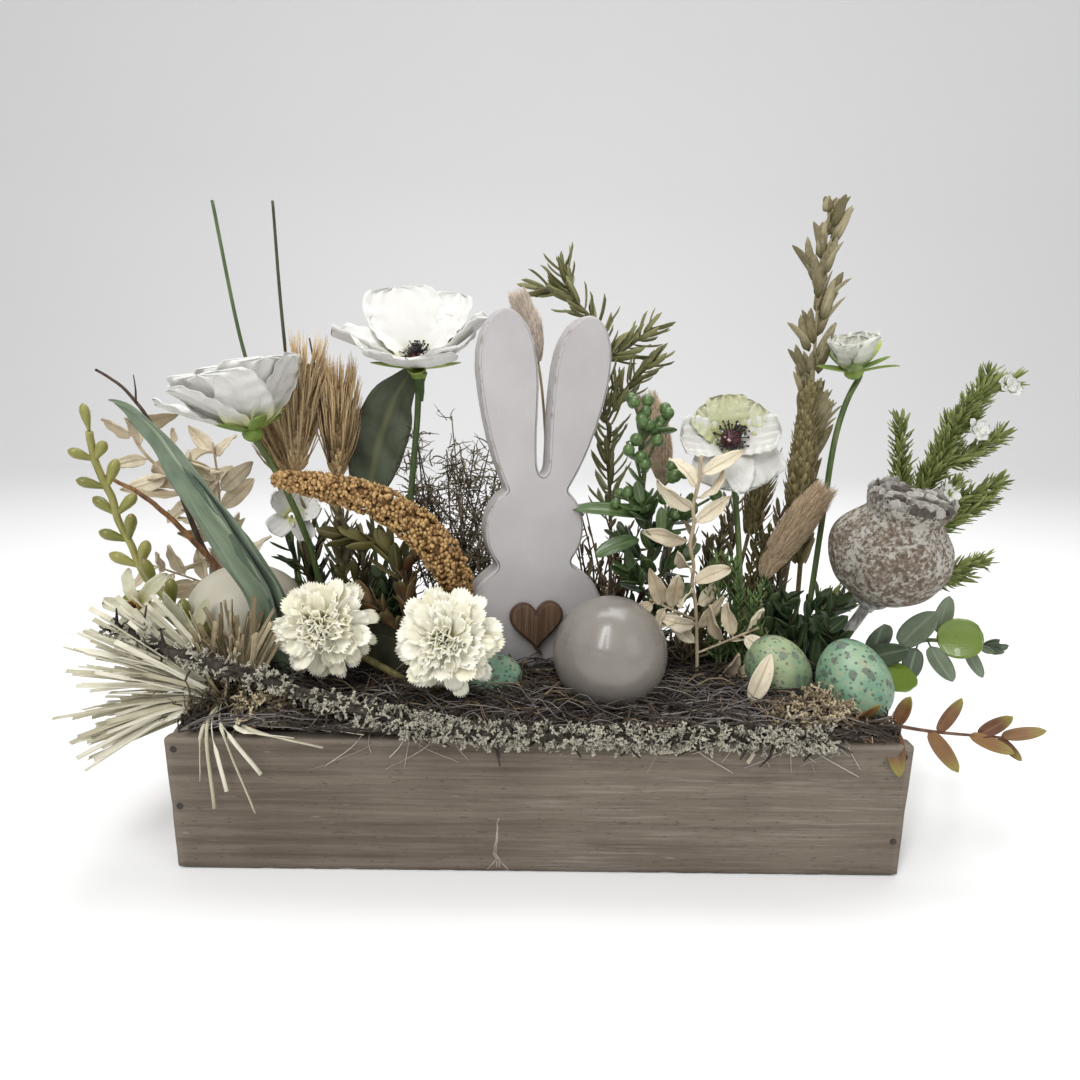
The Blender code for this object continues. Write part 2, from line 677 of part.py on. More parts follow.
def build_poppy_pod():
    foot, stalk = (192, -3), 3.5 * MM
    stalk_x = BOX_LENGTH / 2 - BOARD - 7 * MM
    foot = (stalk_x / MM, -3)
    base, axis = place(202, -3, 136), Vector((0.18, 0, 1)).normalized()
    route = planted(foot, [(188, -3, 112), (195, -3, 124)], stalk)
    radii = [stalk] * len(route)
    for height, radius in ((0, 4), (2, 9), (5, 9), (8, 6), (13, 17), (22, 28), (34, 33), (46, 32),
                           (56, 25), (62, 18), (66, 17), (69, 21), (73, 22)):
        route.append(base + axis * height * MM)
        radii.append(radius * MM)
    add_part("poppy_pod", bar(route, radii, 12), (0.36, 0.33, 0.29), 0.8)


# Straw and branch -------------------------------------------------------------------------------

def build_straw_bundle():
    """Straws fanned in three layers from a tied knot, three of them hanging over the rim."""
    knot = place(-174, -55, 93.5)
    knot_radius, straw_radius, start = 9.5 * MM, 1.1 * MM, 6.5 * MM
    straws = []
    for layer in (-1, 0, 1):
        for index in range(5):
            angle = math.radians(176 - 24 * index - 5 * layer)
            direction = Vector((math.cos(angle), 0, math.sin(angle)))
            reach = (82 - 8 * index) * MM
            first = knot + Vector((0, 3.2 * MM * layer, 0)) + direction * start
            last = knot + Vector((0, (2 + 6 * layer) * MM, 0)) + direction * reach
            straws.append(stem([first, first.lerp(last, 0.5) + Vector((0, 0, MM)), last],
                               straw_radius, 4))
    for turn, foot in ((-28, (-113, -79, 78)), (-58, (-152, -79, 39)), (-88, (-174, -79, 41))):
        angle = math.radians(turn)
        first = knot + Vector((math.cos(angle) * start, -4 * MM, math.sin(angle) * 3 * MM))
        over_rim = first + Vector((math.cos(angle) * 8 * MM, -18 * MM, -4 * MM))
        straws.append(stem([first, over_rim, place(*foot)], straw_radius, 4))
    bm = bmesh.new()
    bmesh.ops.create_uvsphere(bm, u_segments=12, v_segments=8, radius=knot_radius)
    knot_mesh = moved(finish_mesh(bm), Matrix.Translation(knot))
    add_part("straw_bundle", combined(knot_mesh, joined(straws), "UNION"), (0.62, 0.58, 0.42))
    SEATS.append(moved(cylinder(knot_radius + GAP, 0, 40 * MM, 12),
                       Matrix.Translation(knot - Vector((0, 0, knot_radius + GAP)))))


def build_lichen_branch():
    """Branch that comes out over the left end and lies along the front rim."""
    rim_y, rim_z, thick = -79.0, 85.0, 6 * MM
    points = [(-226, -67, 141), (-201, -69, 129), (-178, -71, 122), (-152, -73, 116),
              (-126, -75, 108), (-94, -77, 98), (-57, rim_y, 89), (-20, rim_y, rim_z),
              (33, rim_y, rim_z), (85, rim_y, rim_z), (154, rim_y, rim_z)]
    route = smooth_route([place(*p) for p in points], 2)
    distances = from_tip(route)
    radii = [thick * (0.45 + 0.55 * math.sin(math.pi * (0.06 + 0.9 * d / distances[0])) ** 0.5)
             for d in distances]
    add_part("lichen_branch", bar(route, radii, 8), (0.20, 0.19, 0.15), 0.9)


# Leaves and sprays ------------------------------------------------------------------------------

def add_single_leaf(name, foot, points, half_widths, normal, colour, half_stalk=1.3):
    """Leaf on its own stalk: the stalk's width, then one half width for each point."""
    SOCKETS.append((foot[0] * MM, foot[1] * MM, half_stalk * 1.45 * MM))
    below = [place(foot[0], foot[1], PIN_BOTTOM / MM), place(foot[0], foot[1], PIN_TOP / MM)]
    route = below + [place(*p) for p in points]
    widths = [half_stalk * MM] * 2 + [w * MM for w in half_widths]
    add_part(name, ribbon(route, widths, 2.0 * MM, normal), colour)


def build_single_leaves():
    add_single_leaf("lance_leaf", (-141, -36),
                    [(-146, -37, 124), (-152, -37, 150), (-167, -36, 177), (-189, -32, 207),
                     (-208, -28, 234), (-226, -25, 251), (-240, -24, 256)],
                    [3, 7, 11, 12, 10, 5, 1], (0.3, -1, 0.2), (0.12, 0.20, 0.15))
    add_single_leaf("broad_leaf", (-113, 59),
                    [(-116, 59, 160), (-118, 58, 195), (-110, 56, 225), (-100, 55, 250),
                     (-88, 54, 270), (-82, 54, 280)],
                    [2, 6, 16, 18, 11, 2], (0, -1, 0), (0.08, 0.11, 0.06))
    add_single_leaf("dark_oval_leaf", (-101, -16),
                    [(-104, -16, 108), (-106, -15, 122), (-108, -15, 134), (-109, -14, 143)],
                    [16, 19, 14, 2], (0, -1, 0), (0.03, 0.05, 0.03))


def build_rosemary():
    green, dusty = (0.16, 0.20, 0.10), (0.14, 0.19, 0.10)
    lean = math.radians(38)
    back = planted((48, 50), [(48, 51, 160), (43, 52, 236), (36, 52, 292), (22, 52, 318),
                              (-5, 51, 326)], 1.5 * MM)
    side = smooth_route([back[5], place(50, 50, 236), place(60, 48, 268), place(69, 46, 291)], 2)
    add_part("rosemary_back", spray(back, 1.5 * MM, leaf_rows(back, 0.55, 9, 24 * MM, 5 * MM, lean)
                                    + leaf_rows(side, 0.4, 5, 22 * MM, 5 * MM, lean), [side]), green)
    right = planted((178, 42), [(196, 46, 118), (230, 48, 140), (252, 48, 192), (272, 48, 239),
                                (289, 48, 270)], 1.8 * MM)
    low = smooth_route([right[4], place(255, 46, 134), place(281, 45, 141), place(302, 45, 147)], 2)
    add_part("rosemary_right", spray(right, 1.8 * MM,
                                     leaf_rows(right, 0.5, 10, 26 * MM, 4 * MM, lean)
                                     + leaf_rows(low, 0.4, 5, 22 * MM, 4 * MM, lean), [low]), dusty)


def build_left_sprays():
    succulent = planted((-184, -28), [(-202, -26, 116), (-224, -13, 134), (-242, -8, 157),
                                      (-251, -10, 192), (-256, -12, 215), (-259, -14, 238)],
                        1.4 * MM)
    add_part("succulent_sprig", spray(succulent, 1.4 * MM, leaf_rows(
        succulent, 0.42, 8, 20 * MM, 9 * MM, math.radians(55))), (0.35, 0.34, 0.08))
    ruscus = planted((-182, 56), [(-205, 57, 108), (-243, 58, 131), (-258, 58, 174), (-266, 58, 207),
                                  (-282, 57, 230)], 1.3 * MM)
    add_part("bleached_ruscus_left", spray(ruscus, 1.3 * MM, leaf_rows(
        ruscus, 0.4, 8, 32 * MM, 9 * MM, math.radians(48))), (0.60, 0.52, 0.40))
    brown = planted((-75, -12), [(-77, -9, 118), (-80, -6, 134), (-82, -5, 158)], 1.5 * MM)
    add_part("brown_leaf_spray", spray(brown, 1.5 * MM, leaf_rows(
        brown, 0.62, 6, 22 * MM, 8 * MM, math.radians(50))), (0.22, 0.12, 0.05))
    heather = planted((-52, 40), [(-54, 42, 140), (-58, 45, 190), (-62, 46, 225)], 2 * MM)
    add_part("dry_heather", spray(heather, 2 * MM, leaf_rows(
        heather, 0.5, 9, 40 * MM, 3 * MM, math.radians(42))), (0.17, 0.13, 0.09))


def build_right_sprays():
    ruscus = planted((97, -12), [(95, -15, 141), (95, -15, 177), (103, -15, 213), (112, -20, 238)],
                     1.4 * MM)
    add_part("bleached_ruscus_right", spray(ruscus, 1.4 * MM, leaf_rows(
        ruscus, 0.5, 8, 30 * MM, 9 * MM, math.radians(50))), (0.60, 0.52, 0.38))
    boxwood = planted((72, 18), [(71, 17, 150), (66, 16, 190), (60, 15, 235)], 2 * MM)
    add_part("boxwood_berries", spray(boxwood, 2 * MM, leaf_rows(
        boxwood, 0.55, 8, 26 * MM, 12 * MM, math.radians(55))), (0.05, 0.14, 0.04))
    eucalyptus = planted((185, -17), [(206, -18, 108), (232, -17, 118), (256, -16, 116),
                                      (270, -15, 110)], 1.4 * MM)
    add_part("eucalyptus", spray(eucalyptus, 1.4 * MM, leaf_rows(
        eucalyptus, 0.5, 7, 22 * MM, 20 * MM, math.radians(65))), (0.10, 0.20, 0.08))
    red = planted((150, -60), [(166, -67, 91), (190, -70, 90), (212, -70, 91), (250, -69, 86)],
                  1.2 * MM, pin_top=90 * MM)
    add_part("red_leaf_twig", spray(red, 1.2 * MM, leaf_rows(
        red, 0.66, 5, 24 * MM, 9 * MM, math.radians(52))), (0.24, 0.13, 0.05))


def main():
    clear_scene()
    build_planter()
    build_rabbit()
    build_ball_and_eggs()
    build_poppies()
    build_anemone()
    build_bud()
    build_carnations()
    build_narcissus()
    build_ears()
    build_grass_and_twig()
    build_poppy_pod()
    build_straw_bundle()
    build_lichen_branch()
    build_single_leaves()
    build_rosemary()
    build_left_sprays()
    build_right_sprays()
    build_foam()
    build_moss()


main()
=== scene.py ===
"""Looks of the spring centrepiece: planter, moss, silk flowers, dried things, eggs, ball and rabbit.

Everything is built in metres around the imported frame. Stems are followed along their CAD solids,
and the fine shapes (petals, leaves, grains, hairs, fibres) are made on those centrelines.
"""
import math

import bmesh
import bpy
import numpy as np
from mathutils import Matrix, Vector, noise
from mathutils.bvhtree import BVHTree
from mathutils.geometry import tessellate_polygon


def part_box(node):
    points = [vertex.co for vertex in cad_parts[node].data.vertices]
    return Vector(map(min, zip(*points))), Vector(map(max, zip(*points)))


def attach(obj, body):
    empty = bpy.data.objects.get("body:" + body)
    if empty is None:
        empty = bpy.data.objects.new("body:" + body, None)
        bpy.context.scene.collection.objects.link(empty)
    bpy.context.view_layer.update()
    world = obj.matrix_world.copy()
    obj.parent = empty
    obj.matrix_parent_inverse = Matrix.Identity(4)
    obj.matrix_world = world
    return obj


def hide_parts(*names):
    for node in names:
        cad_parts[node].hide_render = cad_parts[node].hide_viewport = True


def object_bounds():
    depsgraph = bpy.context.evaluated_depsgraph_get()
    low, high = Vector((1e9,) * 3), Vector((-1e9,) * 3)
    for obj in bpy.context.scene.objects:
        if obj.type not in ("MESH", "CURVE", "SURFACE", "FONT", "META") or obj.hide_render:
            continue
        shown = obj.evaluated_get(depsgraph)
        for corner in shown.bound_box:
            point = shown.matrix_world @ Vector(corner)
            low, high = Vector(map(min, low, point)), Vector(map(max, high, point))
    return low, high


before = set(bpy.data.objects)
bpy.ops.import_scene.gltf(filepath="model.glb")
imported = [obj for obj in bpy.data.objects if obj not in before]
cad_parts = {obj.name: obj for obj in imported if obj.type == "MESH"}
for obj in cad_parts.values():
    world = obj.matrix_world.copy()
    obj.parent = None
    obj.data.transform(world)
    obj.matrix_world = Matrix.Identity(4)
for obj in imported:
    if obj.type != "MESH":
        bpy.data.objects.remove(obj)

CAD_LOW, CAD_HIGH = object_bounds()
MM = 0.001
UP = np.array((0.0, 0.0, 1.0))
FORWARD = np.array((0.0, -1.0, 0.0))
BED_START = 84 * MM
MOST_STEPS = 150
LONG_AWN = 20 * MM
# Height in millimetres where small sprigs leave the bed, and how far back loose fibres lie.
SPRIG_FOOT = 86
BACK_LIMIT = 64
GOLDEN_TURN = math.pi * (3 - math.sqrt(5))


# Reading the frame ------------------------------------------------------------------------------

def mm(*values):
    """A point, or a row of numbers, given in millimetres."""
    return np.array(values) * MM


def unit(v):
    v = np.asarray(v, float)
    return v / max(np.linalg.norm(v), 1e-12)


def corners(node):
    low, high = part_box(node)
    return np.array(low), np.array(high)


def centre_of(node):
    low, high = corners(node)
    return (low + high) / 2


def node_triangles(node):
    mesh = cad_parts[node].data
    mesh.calc_loop_triangles()
    points = np.array([v.co[:] for v in mesh.vertices])
    return points[np.array([t.vertices[:] for t in mesh.loop_triangles])]


def node_points(node):
    """The node's points, each once."""
    return np.unique(np.round(node_triangles(node).reshape(-1, 3), 6), axis=0)


def triangle_normals(triangles):
    """Normals, each twice as long as its triangle's area."""
    return np.cross(triangles[:, 1] - triangles[:, 0], triangles[:, 2] - triangles[:, 0])


def foot_of(node):
    """Where a CAD stem stands, at the height where it leaves the bed."""
    points = node_triangles(node).reshape(-1, 3)
    foot = points[points[:, 2] < points[:, 2].min() + MM].mean(0)
    return np.array((foot[0], foot[1], BED_START))


def slice_at(triangles, point, direction, reach):
    """Where a plane cuts the triangles, within reach of the point."""
    side = (triangles - point) @ direction
    hits = [np.zeros((0, 3))]
    for a, b in ((0, 1), (1, 2), (2, 0)):
        crossing = side[:, a] * side[:, b] < 0
        share = side[crossing, a] / (side[crossing, a] - side[crossing, b])
        start = triangles[crossing, a]
        hits.append(start + share[:, None] * (triangles[crossing, b] - start))
    hits = np.concatenate(hits)
    return hits[np.linalg.norm(hits - point, axis=1) < reach]


def follow(node, reach=4 * MM, step=5 * MM, start=None, direction=UP):
    """Centreline of a CAD stem, from the bed or a given start to its tip."""
    triangles = node_triangles(node)
    point = foot_of(node) if start is None else np.array(start)
    heading = unit(direction)
    route = []
    while len(route) < MOST_STEPS:
        hits = slice_at(triangles, point, heading, reach)
        if len(hits) < 3:
            break
        route.append(hits.mean(0))
        if len(route) > 1:
            heading = unit(0.4 * heading + 0.6 * unit(route[-1] - route[-2]))
        point = route[-1] + heading * step
    return np.array(route)


def smooth_route(node, reach, count=60, **how):
    """A stem's centreline, smoothed, at evenly spaced places."""
    return smoothed(resample(follow(node, reach, **how), count), 4)


# Paths and grids --------------------------------------------------------------------------------

def rising_route(node):
    """Centreline of a leafy sprig that climbs steadily: level slices near the line from foot to top."""
    reach, step = 14 * MM, 6 * MM
    triangles = node_triangles(node)
    points = triangles.reshape(-1, 3)
    foot = foot_of(node)
    top = points[np.argmax(points[:, 2])]
    knots = [foot]
    guess = foot
    for z in np.arange(foot[2] + step, top[2] - step, step):
        share = (z - foot[2]) / (top[2] - foot[2])
        line = foot + (top - foot) * share
        near = np.array((*((guess + line) / 2)[:2], z))
        hits = slice_at(triangles, near, UP, reach)
        guess = hits.mean(0) if len(hits) > 2 else near
        knots.append(guess)
    knots.append(top)
    return smoothed(resample(smoothed(np.array(knots), 6), 60), 4)


def resample(route, count):
    """The route at evenly spaced places."""
    length = np.concatenate(([0], np.cumsum(np.linalg.norm(np.diff(route, axis=0), axis=1))))
    places = np.linspace(0, length[-1], count)
    return np.stack([np.interp(places, length, route[:, k]) for k in range(3)], 1)


def smoothed(values, rounds=2):
    values = np.array(values, float)
    for _ in range(rounds):
        values[1:-1] = (values[:-2] + 2 * values[1:-1] + values[2:]) / 4
    return values


def curve_through(points, per_span=6):
    """Catmull-Rom curve through a few points."""
    p = np.asarray(points, float)
    p = np.concatenate(([2 * p[0] - p[1]], p, [2 * p[-1] - p[-2]]))
    route = []
    for a, b, c, d in zip(p, p[1:], p[2:], p[3:]):
        for t in np.arange(per_span) / per_span:
            route.append(0.5 * (2 * b + (c - a) * t + (2 * a - 5 * b + 4 * c - d) * t ** 2
                                + (3 * b - a - 3 * c + d) * t ** 3))
    route.append(p[-2])
    return np.array(route)


def at(route, share):
    """Point and direction at a share of a route's points."""
    place = share * (len(route) - 1)
    index = min(int(place), len(route) - 2)
    step = route[index + 1] - route[index]
    return route[index] + step * (place - index), unit(step)


def side_frame(direction):
    """Two directions square to the given one."""
    direction = unit(direction)
    reference = np.eye(3)[np.argmin(np.abs(direction))]
    a = unit(np.cross(direction, reference))
    return a, np.cross(direction, a)


def swing(a, b, angle):
    """Direction a turned towards b by an angle."""
    return a * math.cos(angle) + b * math.sin(angle)


def outward_at(route, share, turn):
    """Point and direction at a share of a route, and the direction away from it at a turn."""
    spot, heading = at(route, share)
    return spot, heading, swing(*side_frame(heading), turn)


def grid_faces(rows, columns, wrap=False):
    index = np.arange(rows * columns).reshape(rows, columns)
    if wrap:
        index = np.concatenate((index, index[:, :1]), 1)
    return np.stack((index[:-1, :-1], index[:-1, 1:], index[1:, 1:], index[1:, :-1]), -1).reshape(-1, 4)


def bar_faces(rows, sides):
    """Faces of a closed bar made of rings, with its two end faces."""
    first = [list(range(sides))[::-1]]
    last = [[(rows - 1) * sides + k for k in range(sides)]]
    return [grid_faces(rows, sides, True), first, last]


class Batch:
    """Gathers many small shapes into one mesh; each vertex keeps (across, along, tint)."""

    def __init__(self):
        self.verts, self.faces, self.data, self.count = [], [], [], 0

    def add(self, verts, faces, across=0.5, along=0.5, tint=0.5):
        verts = np.asarray(verts, float).reshape(-1, 3)
        data = np.ones((len(verts), 4))
        data[:, 0], data[:, 1], data[:, 2] = across, along, tint
        self.verts.append(verts)
        self.data.append(data)
        for group in faces:
            self.faces += (np.asarray(group) + self.count).tolist()
        self.count += len(verts)

    def tube(self, path, radii, sides=6, tint=0.5):
        """Round bar along a path, closed at both ends."""
        path = np.asarray(path, float)
        rows = len(path)
        radii = np.broadcast_to(radii, rows)
        ahead = np.gradient(path, axis=0)
        ahead /= np.maximum(np.linalg.norm(ahead, axis=1), 1e-12)[:, None]
        reference = np.eye(3)[np.argmin(np.abs(ahead).mean(0))]
        a = np.cross(ahead, reference)
        a /= np.maximum(np.linalg.norm(a, axis=1), 1e-12)[:, None]
        b = np.cross(ahead, a)
        turn = np.linspace(0, 2 * math.pi, sides, endpoint=False)
        ring = a[:, None] * np.cos(turn)[None, :, None] + b[:, None] * np.sin(turn)[None, :, None]
        verts = path[:, None] + ring * radii[:, None, None]
        self.add(verts, bar_faces(rows, sides), np.tile(np.linspace(0, 1, sides), rows),
                 np.repeat(np.linspace(0, 1, rows), sides), tint)

    def sheet(self, grid, tint=0.5):
        rows, columns = grid.shape[:2]
        self.add(grid, [grid_faces(rows, columns)], np.tile(np.linspace(0, 1, columns), rows),
                 np.repeat(np.linspace(0, 1, rows), columns), tint)

    def leaf(self, origin, heading, normal, tint=0.5, **shape):
        self.sheet(oriented(leaf_grid(**shape), origin, heading, normal), tint)

    def blob(self, centre, radii, axes=None, level=1, tint=0.5):
        verts, faces = ball_template(level)
        shaped = verts * np.asarray(radii, float)
        if axes is not None:
            shaped = shaped @ np.asarray(axes)
        self.add(shaped + centre, [faces], 0.5, (verts[:, 2] + 1) / 2, tint)

    def build(self, name, material, thickness=0.0):
        """Makes the object; a thickness in metres turns its sheets into thin shells."""
        mesh = bpy.data.meshes.new(name)
        mesh.from_pydata(np.concatenate(self.verts).tolist(), [], self.faces)
        layer = mesh.color_attributes.new("data", "FLOAT_COLOR", "POINT")
        layer.data.foreach_set("color", np.concatenate(self.data).ravel())
        mesh.polygons.foreach_set("use_smooth", [True] * len(mesh.polygons))
        mesh.materials.append(material)
        obj = bpy.data.objects.new(name, mesh)
        bpy.context.scene.collection.objects.link(obj)
        if thickness:
            solid = obj.modifiers.new("thickness", "SOLIDIFY")
            solid.thickness = thickness
            solid.offset = 0.0
        return obj


_templates = {}


def ball_template(level):
    if level not in _templates:
        bm = bmesh.new()
        bmesh.ops.create_icosphere(bm, subdivisions=level, radius=1.0)
        _templates[level] = (np.array([v.co[:] for v in bm.verts]),
                             np.array([[v.index for v in f.verts] for f in bm.faces]))
        bm.free()
    return _templates[level]


def leaf_grid(length, width, rows=9, columns=5, belly=0.45, fullness=1.0, cup=0.0, fold=0.0,
              bend=0.0, ruffle=0.0, waves=3.0, phase=0.0, twist=0.0, teeth=0.0, root=0.06, blunt=0.0):
    """Leaf or petal: +Y is its length, +Z its upper side; bend and twist are in radians."""
    t = np.linspace(0, 1, rows)[:, None]
    s = np.linspace(-1, 1, columns)[None, :]
    p, q = fullness * belly, fullness * (1 - belly)
    outline = (np.maximum(t, 1e-6) / belly) ** p * (np.maximum(1 - t, 0) / (1 - belly)) ** q
    half = width / 2 * np.maximum(np.maximum(outline, root), blunt * t ** 2)
    x = s * half
    lift = cup * half * s ** 2 + fold * half * np.abs(s)
    lift = lift + ruffle * np.sin(waves * math.pi * s + phase) * t ** 2
    lift = lift + ruffle * 0.6 * np.sin(waves * 2 * math.pi * t + phase * 1.7) * np.abs(s) ** 1.5
    x, lift = (x * np.cos(twist * t) - lift * np.sin(twist * t),
               x * np.sin(twist * t) + lift * np.cos(twist * t))
    turned = bend * t
    if abs(bend) > 1e-4:
        y0, z0 = np.sin(turned) / bend * length, (1 - np.cos(turned)) / bend * length
    else:
        y0, z0 = t * length, 0 * t
    zigzag = teeth * np.where(np.arange(columns) % 2, 1.0, -1.0)[None, :] * t ** 4
    zigzag = zigzag - blunt * 0.3 * width * s ** 2 * t ** 4
    y = y0 - lift * np.sin(turned) + zigzag * np.cos(turned)
    z = z0 + lift * np.cos(turned) + zigzag * np.sin(turned)
    return np.stack((x, y + 0 * s, z), -1)


def oriented(grid, origin, heading, normal):
    """A grid's +Y laid along heading, its +Z towards normal, its origin moved to origin."""
    y = unit(heading)
    z = np.asarray(normal, float) - np.dot(normal, y) * y
    if np.linalg.norm(z) < 1e-4:
        z = side_frame(y)[0]
    z = unit(z)
    return origin + grid @ np.stack((np.cross(y, z), y, z))


def piece(obj, slot, *nodes):
    """The object rides on the root body and may stand for CAD nodes, which it hides; slot is not used."""
    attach(obj, "root")
    if nodes:
        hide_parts(*nodes)
    return obj


# Materials --------------------------------------------------------------------------------------

class Shade:
    """Short calls for building one Principled material."""

    def __init__(self, name, roughness=0.6, specular=0.4, **sockets):
        self.material = bpy.data.materials.new(name)
        self.material.use_nodes = True
        self.tree = self.material.node_tree
        self.shader = self.tree.nodes["Principled BSDF"]
        self.shader.inputs["Roughness"].default_value = roughness
        self.shader.inputs["Specular IOR Level"].default_value = specular
        for key, value in sockets.items():
            self.shader.inputs[key.replace("_", " ")].default_value = value
        self._data = None

    def node(self, kind, inputs=(), **settings):
        made = self.tree.nodes.new(kind)
        for key, value in settings.items():
            setattr(made, key, value)
        for key, value in dict(inputs).items():
            if isinstance(value, bpy.types.NodeSocket):
                self.tree.links.new(value, made.inputs[key])
            elif value is not None:
                made.inputs[key].default_value = value
        return made

    def place(self, scale=(1, 1, 1)):
        """Object coordinates, stretched by scale."""
        coords = self.node("ShaderNodeTexCoord").outputs["Object"]
        return self.node("ShaderNodeMapping", {"Vector": coords, "Scale": scale}).outputs[0]

    def noise(self, scale, detail=4.0, rough=0.5, vector=None, distortion=0.0):
        made = self.node("ShaderNodeTexNoise", {
            "Scale": scale, "Detail": detail, "Roughness": rough, "Distortion": distortion,
            "Vector": vector if vector is not None else self.place()})
        return made.outputs["Fac"]

    def cells(self, scale):
        return self.node("ShaderNodeTexVoronoi", {"Scale": scale,
                                                  "Vector": self.place()}).outputs["Distance"]

    def data(self):
        """Across, along and tint, kept on the vertices."""
        if self._data is None:
            colour = self.node("ShaderNodeAttribute", attribute_name="data").outputs["Color"]
            self._data = self.node("ShaderNodeSeparateColor", {"Color": colour}).outputs
        return self._data[0], self._data[1], self._data[2]

    def with_leaf(self, *scales):
        """Coordinates that run with each leaf, so that lines follow its length."""
        scaled = {k: self.math("MULTIPLY", value, scale)
                  for k, (value, scale) in enumerate(zip(self.data(), scales))}
        return self.node("ShaderNodeCombineXYZ", scaled).outputs[0]

    def math(self, operation, a, b=0.0):
        return self.node("ShaderNodeMath", {0: a, 1: b}, operation=operation).outputs[0]

    def times(self, a, b):
        return self.math("MULTIPLY", a, b)

    def total(self, *terms):
        """Sum of sockets; a pair is a socket and its weight."""
        result = None
        for term in terms:
            value = self.times(*term) if isinstance(term, tuple) else term
            result = value if result is None else self.math("ADD", result, value)
        return result

    def spread(self, value, low, high, to_low=0.0, to_high=1.0):
        """Maps low..high to 0..1, clamped and smooth."""
        made = self.node("ShaderNodeMapRange", {
            "Value": value, "From Min": low, "From Max": high, "To Min": to_low, "To Max": to_high},
            interpolation_type="SMOOTHSTEP")
        return made.outputs[0]

    def mix(self, share, a, b, blend="MIX"):
        made = self.tree.nodes.new("ShaderNodeMix")
        made.data_type = "RGBA"
        made.blend_type = blend
        for index, value in ((0, share), (6, a), (7, b)):
            if isinstance(value, bpy.types.NodeSocket):
                self.tree.links.new(value, made.inputs[index])
            elif index == 0:
                made.inputs[index].default_value = value
            else:
                made.inputs[index].default_value = (*value, 1.0)
        return made.outputs[2]

    def colour(self, socket):
        self.tree.links.new(socket, self.shader.inputs["Base Color"])

    def rough(self, socket):
        self.tree.links.new(socket, self.shader.inputs["Roughness"])

    def bump(self, height, strength=0.5, distance=0.5 * MM):
        made = self.node("ShaderNodeBump", {"Height": height, "Strength": strength,
                                            "Distance": distance})
        self.tree.links.new(made.outputs[0], self.shader.inputs["Normal"])


def dimmed(colour, share):
    return tuple(c * share for c in colour)


def leaf_material(name, dark, light, roughness=0.6, base=None, base_reach=0.45, tip=None,
                  vein=None, streaks=0.0, grain=220.0, specular=0.35, spots=None, **sockets):
    """Colour varies by leaf, by a soft noise, along the length, and at veins or streaks."""
    s = Shade(name, roughness, specular, **sockets)
    across, along, tint = s.data()
    soft = s.noise(grain, 3.0)
    colour = s.mix(s.spread(s.total((soft, 0.9), (tint, 0.9)), 0.45, 1.3), dark, light)
    lines = s.noise(2.2, 3.0, 0.6, s.with_leaf(9.0, 1.6, 40.0))
    if streaks:
        colour = s.mix(s.spread(lines, 0.52, 0.74, 0.0, streaks), colour, dimmed(dark, 0.45))
    if base:
        colour = s.mix(s.spread(along, 0.0, base_reach), base, colour)
    if tip:
        colour = s.mix(s.spread(along, 0.55, 1.0), colour, tip)
    if vein:
        middle = s.math("ABSOLUTE", s.math("SUBTRACT", across, 0.5))
        colour = s.mix(s.spread(middle, 0.10, 0.0, 0.0, 0.8), colour, vein)
    if spots:
        colour = s.mix(s.spread(s.noise(900.0, 2.0), 0.62, 0.72, 0.0, 0.7), colour, spots)
    s.colour(colour)
    s.bump(s.total(lines, s.noise(1100.0, 3.0)), 0.35, 0.3 * MM)
    return s.material


def stem_material(name, dark, light, roughness=0.5, **sockets):
    s = Shade(name, roughness, 0.4, **sockets)
    blotches = s.noise(1.0, 4.0, 0.6, s.place((260, 260, 50)))
    colour = s.mix(s.spread(blotches, 0.35, 0.7), dark, light)
    s.colour(colour)
    s.bump(blotches, 0.4, 0.2 * MM)
    return s.material


def plank_material(name, lengthways):
    """Weathered boards: long grain, grey wash in the pores, painted shade along the foot, and a worn rim
    with a painted highlight.
    """
    s = Shade(name, 0.82, 0.25)
    stretch = (7, 190, 190) if lengthways == "x" else (190, 7, 190)
    fine = (26, 900, 900) if lengthways == "x" else (900, 26, 900)
    speck = (220, 900, 900) if lengthways == "x" else (900, 220, 900)
    grain = s.noise(1.0, 6.0, 0.62, s.place(stretch), 0.6)
    pores = s.noise(1.0, 4.0, 0.65, s.place(fine), 0.2)
    flecks = s.noise(1.0, 3.0, 0.6, s.place(speck))
    broad = s.noise(9.0, 3.0)
    shade = s.total((grain, 0.45), (broad, 0.30), (pores, 0.25))
    colour = s.mix(s.spread(shade, 0.36, 0.64), (0.084, 0.066, 0.049), (0.186, 0.152, 0.119))
    colour = s.mix(s.spread(pores, 0.56, 0.74, 0.0, 0.55), colour, (0.055, 0.041, 0.031))
    colour = s.mix(s.spread(flecks, 0.60, 0.72, 0.0, 0.6), colour, (0.045, 0.033, 0.025))
    wash = s.times(s.spread(pores, 0.50, 0.34), s.spread(broad, 0.40, 0.66, 0.2, 1.0))
    colour = s.mix(s.times(wash, 0.40), colour, (0.33, 0.30, 0.26))
    across, _, tint = s.data()
    # Lighter rim and board ends: worn wood, and on the top rim also a painted highlight.
    colour = s.mix(s.times(across, 0.6), colour, (0.37, 0.32, 0.26))
    # Painted shade: the tint channel darkens the bottom of each board, where it meets the floor.
    colour = s.mix(s.times(tint, 0.75), colour, (0.035, 0.025, 0.020))
    scratch = s.noise(1.0, 2.0, 0.5, s.place((60, 60, 900)))
    colour = s.mix(s.spread(scratch, 0.72, 0.78, 0.0, 0.3), colour, (0.50, 0.47, 0.43))
    s.colour(colour)
    s.bump(s.total(pores, flecks, (grain, 0.3)), 0.5, 0.5 * MM)
    return s.material


